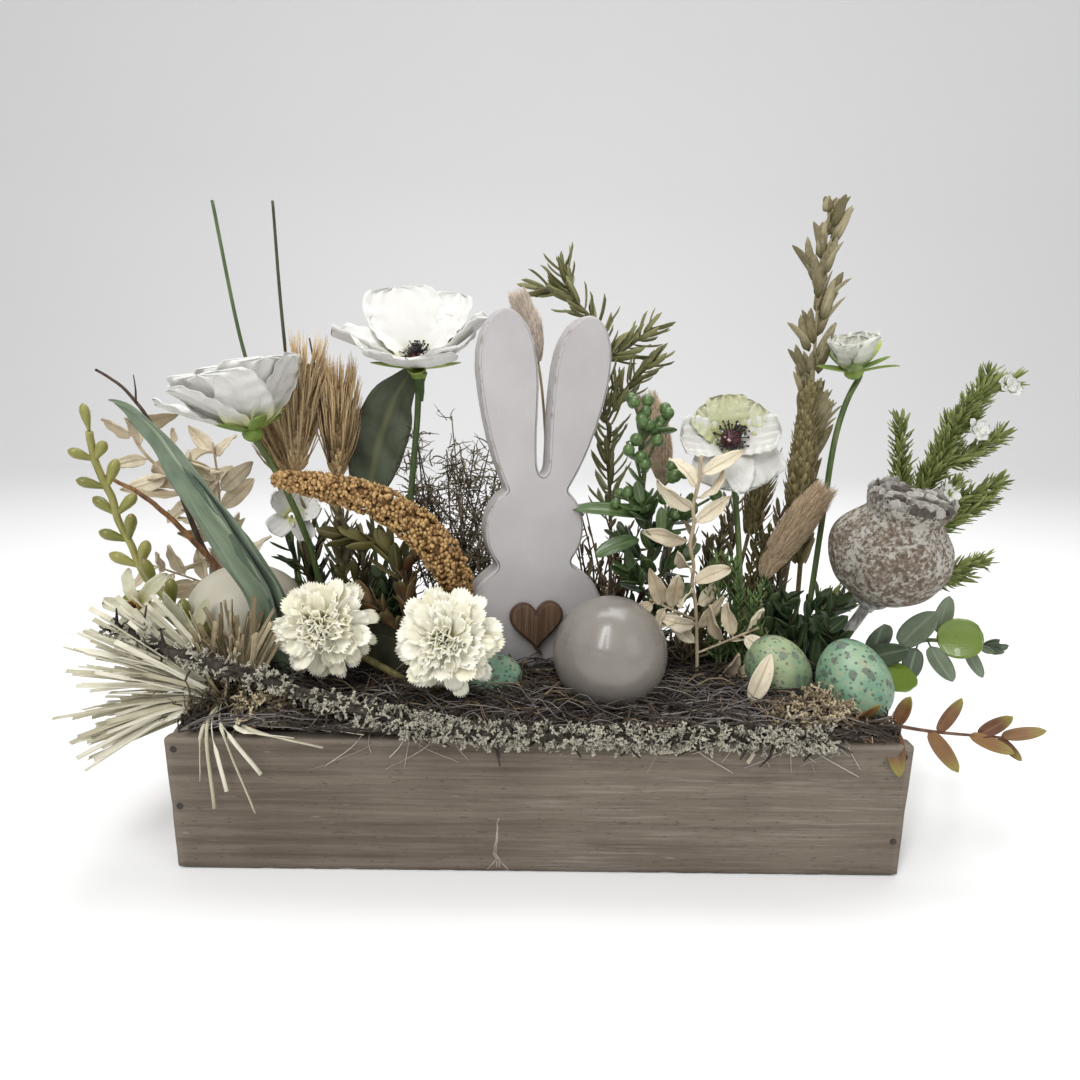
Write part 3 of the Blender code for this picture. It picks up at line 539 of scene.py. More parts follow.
def painted_material():
    """White paint on board, thin and worn brown where the edge runs."""
    s = Shade("white_paint", 0.5, 0.35)
    wear, _, _ = s.data()
    brush = s.noise(1.0, 4.0, 0.6, s.place((420, 420, 60)))
    cloud = s.noise(22.0, 3.0)
    colour = s.mix(s.spread(cloud, 0.3, 0.75), (0.415, 0.397, 0.395), (0.48, 0.46, 0.457))
    colour = s.mix(s.spread(brush, 0.55, 0.8, 0.0, 0.35), colour, (0.53, 0.515, 0.51))
    rubbed = s.times(wear, s.spread(s.noise(150.0, 5.0, 0.7), 0.50, 0.66))
    colour = s.mix(s.times(rubbed, 0.85), colour, (0.20, 0.165, 0.13))
    pits = s.cells(140.0)
    colour = s.mix(s.spread(pits, 0.045, 0.02, 0.0, 0.35), colour, (0.45, 0.42, 0.40))
    s.colour(colour)
    s.bump(s.total(brush, (cloud, 0.6)), 0.25, 0.4 * MM)
    return s.material


def walnut_material():
    s = Shade("walnut_heart", 0.6, 0.3)
    edge, _, _ = s.data()
    grain = s.noise(1.0, 5.0, 0.6, s.place((520, 520, 26)), 0.8)
    pores = s.noise(1.0, 3.0, 0.6, s.place((1500, 1500, 70)))
    colour = s.mix(s.spread(grain, 0.34, 0.68), (0.075, 0.042, 0.024), (0.155, 0.095, 0.056))
    colour = s.mix(s.spread(pores, 0.58, 0.72, 0.0, 0.6), colour, (0.05, 0.03, 0.02))
    colour = s.mix(s.times(edge, 0.85), colour, (0.060, 0.026, 0.017))
    s.colour(colour)
    s.bump(s.total(grain, pores), 0.5, 0.4 * MM)
    return s.material


def gloss_material():
    s = Shade("taupe_gloss", 0.30, 0.45, Coat_Weight=0.35, Coat_Roughness=0.13)
    cloud = s.noise(30.0, 3.0)
    colour = s.mix(s.spread(cloud, 0.3, 0.7), (0.200, 0.180, 0.158), (0.240, 0.220, 0.195))
    _, along, _ = s.data()
    # Painted shade: the colour darkens towards the ball's underside.
    colour = s.mix(s.spread(along, 0.12, 0.55, 0.55, 0.0), colour, (0.105, 0.093, 0.080))
    s.colour(colour)
    s.rough(s.spread(s.noise(60.0, 4.0), 0.3, 0.8, 0.26, 0.38))
    s.bump(s.noise(16.0, 2.0), 0.12, 1.2 * MM)
    return s.material


def cream_shell_material():
    s = Shade("cream_shell", 0.48, 0.35)
    cloud = s.noise(26.0, 4.0)
    colour = s.mix(s.spread(cloud, 0.3, 0.72), (0.46, 0.42, 0.32), (0.58, 0.55, 0.46))
    colour = s.mix(s.spread(s.noise(420.0, 3.0), 0.66, 0.76, 0.0, 0.4), colour, (0.50, 0.44, 0.33))
    s.colour(colour)
    s.bump(s.noise(900.0, 3.0), 0.2, 0.2 * MM)
    return s.material


def speckled_material(name, dark, light, speck):
    """Blue-green shell: cloudy ground, grey-brown flecks of several sizes, tan scuffs."""
    s = Shade(name, 0.45, 0.35)
    cloud = s.noise(55.0, 4.0, 0.6)
    colour = s.mix(s.spread(cloud, 0.34, 0.68), dark, light)
    scuffs = s.noise(190.0, 4.0, 0.7, None, 1.2)
    colour = s.mix(s.spread(scuffs, 0.52, 0.66, 0.0, 0.7), colour, (0.36, 0.32, 0.20))
    blotches = s.total(s.cells(120.0), (s.noise(330.0), 0.6))
    colour = s.mix(s.spread(blotches, 0.66, 0.54, 0.0, 0.75), colour, speck)
    flecks = s.total(s.cells(330.0), (s.noise(700.0), 0.5))
    colour = s.mix(s.spread(flecks, 0.58, 0.50, 0.0, 0.75), colour, dimmed(speck, 0.7))
    s.colour(colour)
    s.bump(s.total(s.noise(700.0, 3.0), scuffs), 0.25, 0.25 * MM)
    return s.material


def pod_material():
    """Dried capsule: brown skin under rubbed white wash, with dark pits."""
    s = Shade("dried_pod", 0.82, 0.25)
    wash = s.noise(60.0, 6.0, 0.72, None, 0.6)
    fine = s.noise(420.0, 4.0, 0.65)
    _, along, _ = s.data()
    colour = s.mix(s.spread(fine, 0.35, 0.65), (0.105, 0.078, 0.055), (0.225, 0.185, 0.145))
    covered = s.total((wash, 0.55), (fine, 0.55), (along, 0.06))
    colour = s.mix(s.spread(covered, 0.535, 0.66, 0.0, 0.9), colour, (0.42, 0.405, 0.365))
    pits = s.total(s.cells(260.0), (s.noise(500.0), 0.4))
    colour = s.mix(s.spread(pits, 0.40, 0.30, 0.0, 0.8), colour, (0.05, 0.038, 0.028))
    s.colour(colour)
    s.bump(s.total(wash, fine), 0.7, 0.8 * MM)
    return s.material


def grain_material(name, dark, light, roughness=0.7, streaks=0.4, base=None):
    return leaf_material(name, dark, light, roughness, streaks=streaks, grain=500.0, base=base)


def moss_material():
    s = Shade("moss_base", 0.95, 0.15)
    clump = s.noise(120.0, 6.0, 0.7)
    colour = s.mix(s.spread(clump, 0.35, 0.7), (0.008, 0.006, 0.004), (0.038, 0.029, 0.019))
    green = s.noise(45.0, 3.0)
    colour = s.mix(s.spread(green, 0.55, 0.7, 0.0, 0.35), colour, (0.050, 0.055, 0.025))
    s.colour(colour)
    s.bump(clump, 0.9, 2 * MM)
    return s.material


def lichen_material(name, dark, light):
    s = Shade(name, 0.85, 0.2)
    _, along, tint = s.data()
    soft = s.noise(500.0, 4.0)
    mixed = s.total((along, 0.45), (soft, 0.5), (tint, 0.55))
    s.colour(s.mix(s.spread(mixed, 0.40, 0.95), dark, light))
    s.bump(soft, 0.5, 0.3 * MM)
    return s.material


# Planter, moss and nest fibre ---------------------------------------------------------------------

def board(name, node, lengthways, open_rim):
    """Weathered board: fine cross-section swept along its length, rounded, chipped and bent a little."""
    low, high = corners(node)
    axis, other = (0, 1) if lengthways == "x" else (1, 0)
    worn, cell, edge = 1.1 * MM, 2.5 * MM, 1.3 * MM
    thick, tall = high[other] - low[other], high[2] - low[2]
    ring = []
    corner_list = ((edge, edge, 180), (thick - edge, edge, 270),
                   (thick - edge, tall - edge, 0), (edge, tall - edge, 90))
    for index, (a, b, start) in enumerate(corner_list):
        for turn in (0, 30, 60, 90):
            angle = math.radians(start + turn)
            ring.append((a + edge * math.cos(angle), b + edge * math.sin(angle)))
        next_a, next_b, next_start = corner_list[(index + 1) % 4]
        angle = math.radians(next_start)
        target = (next_a + edge * math.cos(angle), next_b + edge * math.sin(angle))
        steps = max(int(math.dist(ring[-1], target) / cell), 1)
        origin = ring[-1]
        for k in range(1, steps):
            ring.append((origin[0] + (target[0] - origin[0]) * k / steps,
                         origin[1] + (target[1] - origin[1]) * k / steps))
    ring = np.array(ring)
    length = high[axis] - low[axis]
    rows = int(length / (4 * MM)) + 1
    places = np.linspace(0, length, rows)
    middle = np.array((thick / 2, tall / 2))
    verts, across, tint = [], [], []
    for place in places:
        ends = min(place, length - place)
        for a, b in ring:
            spot = Vector((place * 12, a * 90 + low[other] * 50, b * 90))
            fine = noise.noise(spot)
            chips = noise.noise(Vector((place * 90, a * 60 + 7.0, b * 60)))
            near_edge = min(a, thick - a) < edge and min(b, tall - b) < edge
            inward = 0.22 * MM * (fine + 0.6)
            if near_edge:
                inward += worn * max(0.0, chips - 0.05)
            if ends < MM:
                inward += 0.8 * MM
            to_middle = middle - np.array((a, b))
            shift = inward * to_middle / np.linalg.norm(to_middle)
            spot = np.zeros(3)
            spot[axis] = low[axis] + place
            spot[other], spot[2] = low[other] + a + shift[0], low[2] + b + shift[1]
            verts.append(spot)
            # Lighter towards the top rim: worn wood, and a painted highlight where the rim catches the
            # light.
            rim = max(0.0, 1 - (tall - b) / (3 * MM)) if open_rim else 0.0
            # Painted shade band over the lowest 2.2 mm of each board, where it meets the floor.
            foot = max(0.0, 1 - b / (2.2 * MM))
            side = max(0.0, 1 - ends / (2.5 * MM)) * 0.6
            across.append(max(rim, side) * (0.55 + 0.45 * chips))
            tint.append(foot)
    count = len(ring)
    batch = Batch()
    batch.add(verts, bar_faces(rows, count), across, 0.5, tint)
    obj = batch.build(name, PLANKS[lengthways])
    return piece(obj, "weathered_planks", node)


def build_planter():
    board("planter_front", "front_board", "x", True)
    board("planter_back", "back_board", "x", True)
    board("planter_left", "left_end_board", "y", True)
    board("planter_right", "right_end_board", "y", True)
    board("planter_base", "base_board", "x", False)
    dark = stem_material("nail_steel", (0.035, 0.030, 0.027), (0.075, 0.062, 0.052), 0.55, Metallic=0.6)
    nails = [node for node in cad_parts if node.startswith("nail_")]
    for node in nails:
        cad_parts[node].data.materials[0] = dark
    batch = Batch()
    back = corners("back_board")[1][1]
    for node in nails:
        middle = centre_of(node)
        batch.blob((middle[0], back - 0.9 * MM, middle[2]), mm(1.9, 1.2, 1.9), None, 2)
    piece(batch.build("back_nail_heads", dark), "nail_steel")


def build_crack_and_glue():
    """Thin split down the front board and a dried drip of glue at its foot."""
    low, high = corners("front_board")
    rng = np.random.default_rng(3)
    batch = Batch()
    x = low[0] + 0.445 * (high[0] - low[0])
    face = low[1] + 0.22 * MM
    steps = 12
    heights = np.linspace(high[2] * 0.42, 3 * MM, steps)
    drift = np.cumsum(rng.normal(0, 0.5, steps)) * MM
    for shift in (0.0, 1.6):
        across = x + drift + shift * np.linspace(0, 1, steps) * MM
        route = np.stack((across, np.full(steps, face), heights), 1)
        batch.tube(route, np.linspace(0.35, 0.6, steps) * MM, 6)
    for side in (-1, 1):
        points = [(x, face, 9 * MM), (x + side * 3 * MM, face, 5 * MM), (x + side * 6 * MM, face, 1.5 * MM)]
        batch.tube(curve_through(points), np.linspace(0.6, 0.35, 13) * MM, 6)
    glue = Shade("clear_glue", 0.3, 0.5)
    cloud = glue.noise(300.0, 3.0)
    glue.colour(glue.mix(glue.spread(cloud, 0.3, 0.7), (0.22, 0.185, 0.15), (0.36, 0.32, 0.27)))
    glue.bump(cloud, 0.3)
    piece(batch.build("glue_drip", glue.material), "weathered_planks")


def bed_surface():
    """Height of the moss over a grid, sampled from above on the CAD node."""
    low, high = corners("moss_bed")
    source = node_triangles("moss_bed")
    tree = BVHTree.FromPolygons(source.reshape(-1, 3).tolist(),
                                np.arange(len(source) * 3).reshape(-1, 3).tolist())
    xs = np.linspace(low[0], high[0], 153)
    ys = np.linspace(low[1], high[1], 53)
    heights = np.zeros((len(xs), len(ys)))
    for i, x in enumerate(xs):
        for j, y in enumerate(ys):
            inside_x = min(max(x, low[0] + 0.1 * MM), high[0] - 0.1 * MM)
            inside_y = min(max(y, low[1] + 0.1 * MM), high[1] - 0.1 * MM)
            hit = tree.ray_cast(Vector((inside_x, inside_y, 0.2)), Vector((0, 0, -1)))[0]
            heights[i, j] = max(hit.z, 78 * MM) if hit else 80 * MM
    return xs, ys, heights


def bed_height(x, y):
    i = int(round((x - BED[0][0]) / (BED[0][1] - BED[0][0])))
    j = int(round((y - BED[1][0]) / (BED[1][1] - BED[1][0])))
    i, j = min(max(i, 0), len(BED[0]) - 1), min(max(j, 0), len(BED[1]) - 1)
    return BED[2][i, j]


def build_moss():
    xs, ys, heights = BED
    low, _ = corners("moss_bed")
    verts = np.zeros((len(xs), len(ys) + 2, 3))
    for i, x in enumerate(xs):
        for j, y in enumerate(ys):
            rough = noise.fractal(Vector((x * 130, y * 130, 0.5)), 1.0, 2.0, 4)
            inner = min(x - xs[0], xs[-1] - x, y - ys[0], ys[-1] - y) > 3 * MM
            lift = rough * 2.2 * MM if inner else -0.5 * MM
            verts[i, j + 1] = (x, y, heights[i, j] + lift - 0.8 * MM)
        verts[i, 0] = (x, ys[0], low[2])
        verts[i, -1] = (x, ys[-1], low[2])
    rows, columns = verts.shape[:2]
    batch = Batch()
    ends = [[[k for k in range(columns)]], [[(rows - 1) * columns + k for k in range(columns)][::-1]]]
    floor = [[[i * columns for i in range(rows)][::-1]
              + [i * columns + columns - 1 for i in range(rows)]]]
    batch.add(verts, [grid_faces(rows, columns)[:, ::-1], *ends, floor[0]])
    piece(batch.build("moss_base", moss_material()), "moss_and_fibre", "moss_bed")


def lying_curve(rng, x, y, length, turn, lift, curl, steps=8):
    """A limp fibre that follows the bed's surface from a start point."""
    points, heading = [], turn
    bend = rng.normal(0, curl)
    hop = rng.uniform(0.4, 1.6)
    for k in range(steps):
        share = k / (steps - 1)
        z = bed_height(x, y) + lift * (0.25 + hop * math.sin(math.pi * share))
        points.append((x, y, z + rng.normal(0, 0.5 * MM)))
        heading += bend / steps + rng.normal(0, curl * 0.22)
        x += math.cos(heading) * length / steps
        y += math.sin(heading) * length / steps
    return np.array(points)


def keep_over(points, low, high, rim):
    """Holds a fibre's points inside the given x and y limits, and above the rim beyond the bed."""
    points[:, 0] = np.clip(points[:, 0], low[0], high[0])
    points[:, 1] = np.clip(points[:, 1], low[1], high[1])
    outside = points[:, 1] < BED[1][0]
    points[outside, 2] = np.maximum(points[outside, 2], rim)
    return points


def patch_spot(rng, patches, reach, front):
    """A place on the bed in one of the patches, each (x, y, spread x, spread y, share) in millimetres."""
    weights = np.array([patch[4] for patch in patches], float)
    patch = patches[rng.choice(len(patches), p=weights / weights.sum())]
    x = np.clip(rng.normal(patch[0], patch[2]), -reach, reach) * MM
    y = np.clip(rng.normal(patch[1], patch[3]), front, BACK_LIMIT) * MM
    return x, y


def fibres(name, seed, count, colours, thin, lengths, patches, lift=5 * MM, curl=1.2):
    """Loose nest fibres that lie over the bed, denser in the patches."""
    rng = np.random.default_rng(seed)
    batch = Batch()
    low, high = corners("moss_bed")
    front = corners("front_board")
    for _ in range(count):
        x, y = patch_spot(rng, patches, 186, -66)
        turn = rng.choice((0, math.pi)) + rng.normal(0, 0.42)
        length = rng.uniform(*lengths) * MM
        route = lying_curve(rng, x, y, length, turn, lift * rng.uniform(0.2, 1.5), curl)
        limits_low = (low[0] + MM, front[0][1] - 3 * MM)
        limits_high = (high[0] - MM, high[1] - MM)
        route = keep_over(route, limits_low, limits_high, front[1][2] + 0.6 * MM)
        radius = rng.uniform(*thin) * MM
        batch.tube(route, radius * np.array((0.5, 0.9, 1, 1, 1, 1, 0.9, 0.4)), 3, rng.random())
    material = leaf_material(name + "_look", *colours, 0.7, streaks=0.3, grain=300.0)
    piece(batch.build(name, material), "moss_and_fibre")


def tufts(name, seed, count, colours, patches, tall=(3, 9), thin=(0.25, 0.5)):
    """Short curly moss strands standing out of the bed."""
    rng = np.random.default_rng(seed)
    batch = Batch()
    for _ in range(count):
        x, y = patch_spot(rng, patches, 187, -68)
        point = np.array((x, y, bed_height(x, y) - MM))
        heading = unit(rng.normal(0, 0.6, 3) + (0, 0, 0.9))
        route = [point]
        size = rng.uniform(*tall) * MM
        for _ in range(4):
            heading = unit(heading + rng.normal(0, 0.55, 3))
            route.append(route[-1] + heading * size / 4)
        batch.tube(route, rng.uniform(*thin) * MM * np.array((1, 1, 0.9, 0.7, 0.4)), 3, rng.random())
    material = leaf_material(name + "_look", *colours, 0.85, grain=300.0)
    piece(batch.build(name, material), "moss_and_fibre")


def build_bed():
    wide = [(0, 0, 110, 42, 1.0)]
    front = [(-40, -50, 75, 12, 2.0), (105, -52, 55, 12, 1.4), (-20, -30, 60, 18, 1.0),
             (0, 10, 110, 35, 0.9)]
    pale = [(100, -58, 38, 8, 2.2), (-10, -55, 55, 10, 1.6), (-120, -52, 35, 10, 1.0),
            (0, 30, 110, 20, 0.5)]
    fibres("nest_fibres_brown", 11, 2600, ((0.016, 0.011, 0.008), (0.060, 0.044, 0.031)),
           (0.28, 0.6), (30, 95), front)
    fibres("nest_fibres_grey", 12, 1050, ((0.065, 0.056, 0.052), (0.25, 0.225, 0.21)),
           (0.18, 0.42), (30, 100), pale, 6 * MM)
    fibres("nest_fibres_tan", 13, 420, ((0.085, 0.058, 0.033), (0.24, 0.175, 0.105)),
           (0.2, 0.5), (25, 80), front, 6 * MM)
    tufts("moss_tufts_dark", 14, 5200, ((0.010, 0.008, 0.005), (0.052, 0.042, 0.026)), wide)
    tufts("moss_tufts_olive", 15, 2200, ((0.022, 0.022, 0.010), (0.080, 0.074, 0.037)),
          [(0, 30, 115, 25, 1.0), (150, -20, 30, 30, 0.4), (-120, 10, 50, 30, 0.4)], (4, 11))
    tufts("tan_curls", 16, 900, ((0.17, 0.11, 0.065), (0.40, 0.30, 0.20)),
          [(152, -64, 20, 5, 1.0), (-150, -60, 12, 5, 0.4), (20, -45, 30, 14, 0.15)], (8, 18), (0.4, 0.85))


# Rabbit, ball, eggs -------------------------------------------------------------------------------

def front_outline(node, direction):
    """Outline of a flat CAD board's face that looks along direction, in order."""
    source = node_triangles(node)
    normals = triangle_normals(source)
    normals /= np.maximum(np.linalg.norm(normals, axis=1), 1e-15)[:, None]
    depth = source.mean(1) @ direction
    facing = (normals @ direction > 0.98) & (depth > depth.max() - 2 * MM)
    faces = np.round(source[facing] * 1e6).astype(int)
    edges = {}
    for face in faces.tolist():
        loop = [tuple(p) for p in face]
        for a, b in zip(loop, loop[1:] + loop[:1]):
            if (b, a) in edges:
                del edges[(b, a)]
            else:
                edges[(a, b)] = True
    following = {a: b for a, b in edges}
    start = next(iter(following))
    route, current = [start], following[start]
    while current != start and len(route) < 2000:
        route.append(current)
        current = following[current]
    return np.array(route, float) * 1e-6


def closed_smooth(points, count, rounds):
    looped = np.concatenate((points, points[:1]))
    route = resample(looped, count + 1)[:-1]
    for _ in range(rounds):
        route = (np.roll(route, 1, 0) + 2 * route + np.roll(route, -1, 0)) / 4
    return route


def facing_triangles(verts, triangles, direction):
    """Triangles in the winding whose normal looks along direction, without slivers."""
    normals = triangle_normals(verts[triangles])
    whole = np.linalg.norm(normals, axis=1) > 1e-12
    triangles, normals = triangles[whole], normals[whole]
    wrong = normals @ direction < 0
    triangles[wrong] = triangles[wrong][:, ::-1]
    return triangles


def cut_board(name, outline, across_axis, depth_axis, thickness, material, slot_name, nodes, spacing,
              rounding=1.2 * MM):
    """Board cut along an outline, with rounded and slightly chipped edges on both faces."""
    origin = outline.mean(0)
    length = np.linalg.norm(np.diff(np.concatenate((outline, outline[:1])), axis=0), axis=1).sum()
    count = int(length / spacing)
    flat = closed_smooth(outline, count, 2)
    u, w = (flat - origin) @ across_axis, (flat - origin) @ UP
    tangent = np.stack((np.roll(u, -1) - np.roll(u, 1), np.roll(w, -1) - np.roll(w, 1)), 1)
    tangent /= np.linalg.norm(tangent, axis=1)[:, None]
    area = np.sum(u * np.roll(w, -1) - np.roll(u, -1) * w)
    inward = np.stack((-tangent[:, 1], tangent[:, 0]), 1) * (1 if area > 0 else -1)
    levels = ((1.6, 0.0, 0.0), (0.8, 0.06, 0.5), (0.3, 0.35, 1.0), (0.0, 1.0, 0.8))
    rings, wear = [], []
    edge_noise = np.array([noise.noise(Vector((a * 120, b * 120, 3.0))) for a, b in zip(u, w)])
    for inset, depth, worn in levels:
        size = (inset + 0.3 * max(0.0, 1.0 - inset) * np.maximum(edge_noise, 0)) * MM
        rings.append((u + inward[:, 0] * size, w + inward[:, 1] * size, depth * rounding))
        wear.append(worn)
    for share in (0.25, 0.5, 0.75):
        size = 0.12 * MM * edge_noise
        rings.append((u + inward[:, 0] * size, w + inward[:, 1] * size, thickness * share))
        wear.append(0.35)
    for inset, depth, worn in levels[::-1]:
        size = inset * MM
        rings.append((u + inward[:, 0] * size, w + inward[:, 1] * size, thickness - depth * rounding))
        wear.append(worn)
    verts = []
    for a, b, depth in rings:
        verts.append(origin + a[:, None] * across_axis + b[:, None] * UP
                     - np.broadcast_to(depth, count)[:, None] * depth_axis)
    batch = Batch()
    total = len(rings)
    caps = []
    for ring, first in ((rings[0], 0), (rings[-1], (total - 1) * count)):
        loop = [Vector((a, b, 0.0)) for a, b in zip(ring[0], ring[1])]
        triangles = np.array(tessellate_polygon([loop])) + first
        outward = depth_axis if first == 0 else -depth_axis
        caps.append(facing_triangles(np.concatenate(verts), triangles, outward))
    sides = grid_faces(total, count, True)
    batch.add(np.concatenate(verts), [sides if area > 0 else sides[:, ::-1], *caps], np.repeat(wear, count))
    obj = batch.build(name, material)
    flat_caps = np.array([len(face.vertices) == 4 for face in obj.data.polygons])
    obj.data.polygons.foreach_set("use_smooth", flat_caps)
    return piece(obj, slot_name, *nodes)


def build_rabbit():
    source = node_triangles("bunny_cutout")
    normals = triangle_normals(source)
    front = normals[:, 1] < -0.5 * np.linalg.norm(normals, axis=1)
    direction = unit(normals[front].sum(0) * (1, 1, 0))
    across = unit(np.cross(UP, direction))
    depth = source.reshape(-1, 3) @ direction
    outline = front_outline("bunny_cutout", direction)
    cut_board("rabbit", outline, across, direction, depth.max() - depth.min(), painted_material(),
              "white_paint_board", ["bunny_cutout"], 1.6 * MM)
    heart = front_outline("bunny_heart", direction)
    depth = node_triangles("bunny_heart").reshape(-1, 3) @ direction
    cut_board("rabbit_heart", heart, across, direction, depth.max() - depth.min(), walnut_material(),
              "walnut_heart", ["bunny_heart"], 0.9 * MM, 0.8 * MM)


def long_axis(node, hint):
    """A node's points, its middle and its long axis, turned towards the hint."""
    points = node_points(node)
    middle = (points.max(0) + points.min(0)) / 2
    axis = np.linalg.svd(points - points.mean(0))[2][0]
    return points, middle, axis if axis @ hint > 0 else -axis


def turned_shape(batch, origin, axis, heights, radii, sides, wobble=0.0, seed=1.0, tint=0.5,
                 lobes=0, lobe_depth=None):
    """Shape of revolution about an axis, with optional lobes and a small uneven wobble."""
    a, b = side_frame(axis)
    angle = np.linspace(0, 2 * math.pi, sides, endpoint=False)
    verts = np.zeros((len(heights), sides, 3))
    for i, (height, radius) in enumerate(zip(heights, radii)):
        for j, turn in enumerate(angle):
            spot = (math.cos(turn) * radius * 40, math.sin(turn) * radius * 40, height * 40 + seed)
            size = radius * (1 + wobble * noise.noise(Vector(spot)))
            if lobes:
                size *= 1 - lobe_depth[i] * (1 - abs(math.sin(turn * lobes / 2)) ** 0.6)
            verts[i, j] = origin + axis * height + swing(a, b, turn) * size
    count = len(heights)
    batch.add(verts, bar_faces(count, sides), np.tile(angle / (2 * math.pi), count),
              np.repeat(np.linspace(0, 1, count), sides), tint)


def egg(name, node, hint, material, slot_name):
    """Egg along its CAD solid's long axis, blunt at one end; returns its middle and radius."""
    points, middle, axis = long_axis(node, np.asarray(hint, float))
    along = (points - middle) @ axis
    half = (along.max() - along.min()) / 2
    middle = middle + axis * (along.max() + along.min()) / 2
    off = np.linalg.norm((points - middle) - ((points - middle) @ axis)[:, None] * axis, axis=1)
    radius = off.max()
    angles = np.linspace(0.02, math.pi - 0.02, 64)
    heights = -np.cos(angles) * half
    narrowing = 1 + 0.12 * np.cos(angles)
    radii = np.sin(angles) * radius * narrowing / narrowing.max() * 1.07
    batch = Batch()
    turned_shape(batch, middle, axis, heights, np.minimum(radii, radius * 1.01), 96, 0.012)
    piece(batch.build(name, material), slot_name, node)
    return middle, radius


def build_ball_and_eggs():
    low, high = corners("glossy_ball")
    middle, radius = (low + high) / 2, (high[2] - low[2]) / 2
    angles = np.linspace(0.01, math.pi - 0.01, 96)
    batch = Batch()
    seam = 1 - 0.006 * np.exp(-((angles - math.pi / 2) / 0.02) ** 2)
    tilt = unit((0.25, 0.3, 1))
    turned_shape(batch, middle, tilt, -np.cos(angles) * radius, np.sin(angles) * radius * seam, 128, 0.004)
    piece(batch.build("gloss_ball", gloss_material()), "taupe_gloss", "glossy_ball")
    shell = cream_shell_material()
    egg("cream_egg", "white_egg", (0.9, 0.2, 0.35), shell, "cream_shell")
    inner_look = speckled_material("speckled_light", (0.190, 0.295, 0.165), (0.35, 0.42, 0.245),
                                   (0.15, 0.17, 0.15))
    outer_look = speckled_material("speckled_turquoise", (0.140, 0.285, 0.190), (0.29, 0.41, 0.28),
                                   (0.085, 0.095, 0.080))
    middle, radius = egg("speckled_egg_inner", "speckled_egg_right_inner", (-0.45, -0.2, 0.85), inner_look,
                         "speckled_shell")
    egg("speckled_egg_outer", "speckled_egg_right_outer", (-0.3, 0.1, 0.9), outer_look, "speckled_shell")
    egg("speckled_egg_nest", "speckled_egg_middle", (0.8, 0.1, 0.5), outer_look, "speckled_shell")
    # The blow hole is not cut into the shell: a near-black disc on the shell paints the shade inside it.
    hole = Shade("egg_hole", 0.9, 0.1)
    hole.colour(hole.mix(hole.noise(500.0), (0.004, 0.004, 0.003), (0.02, 0.018, 0.014)))
    towards = unit((0.45, -0.9, -0.35))
    batch = Batch()
    batch.blob(middle + towards * radius, mm(2.0, 1.6, 0.5), np.stack((*side_frame(towards), towards)), 3)
    piece(batch.build("egg_blow_hole", hole.material), "speckled_shell")


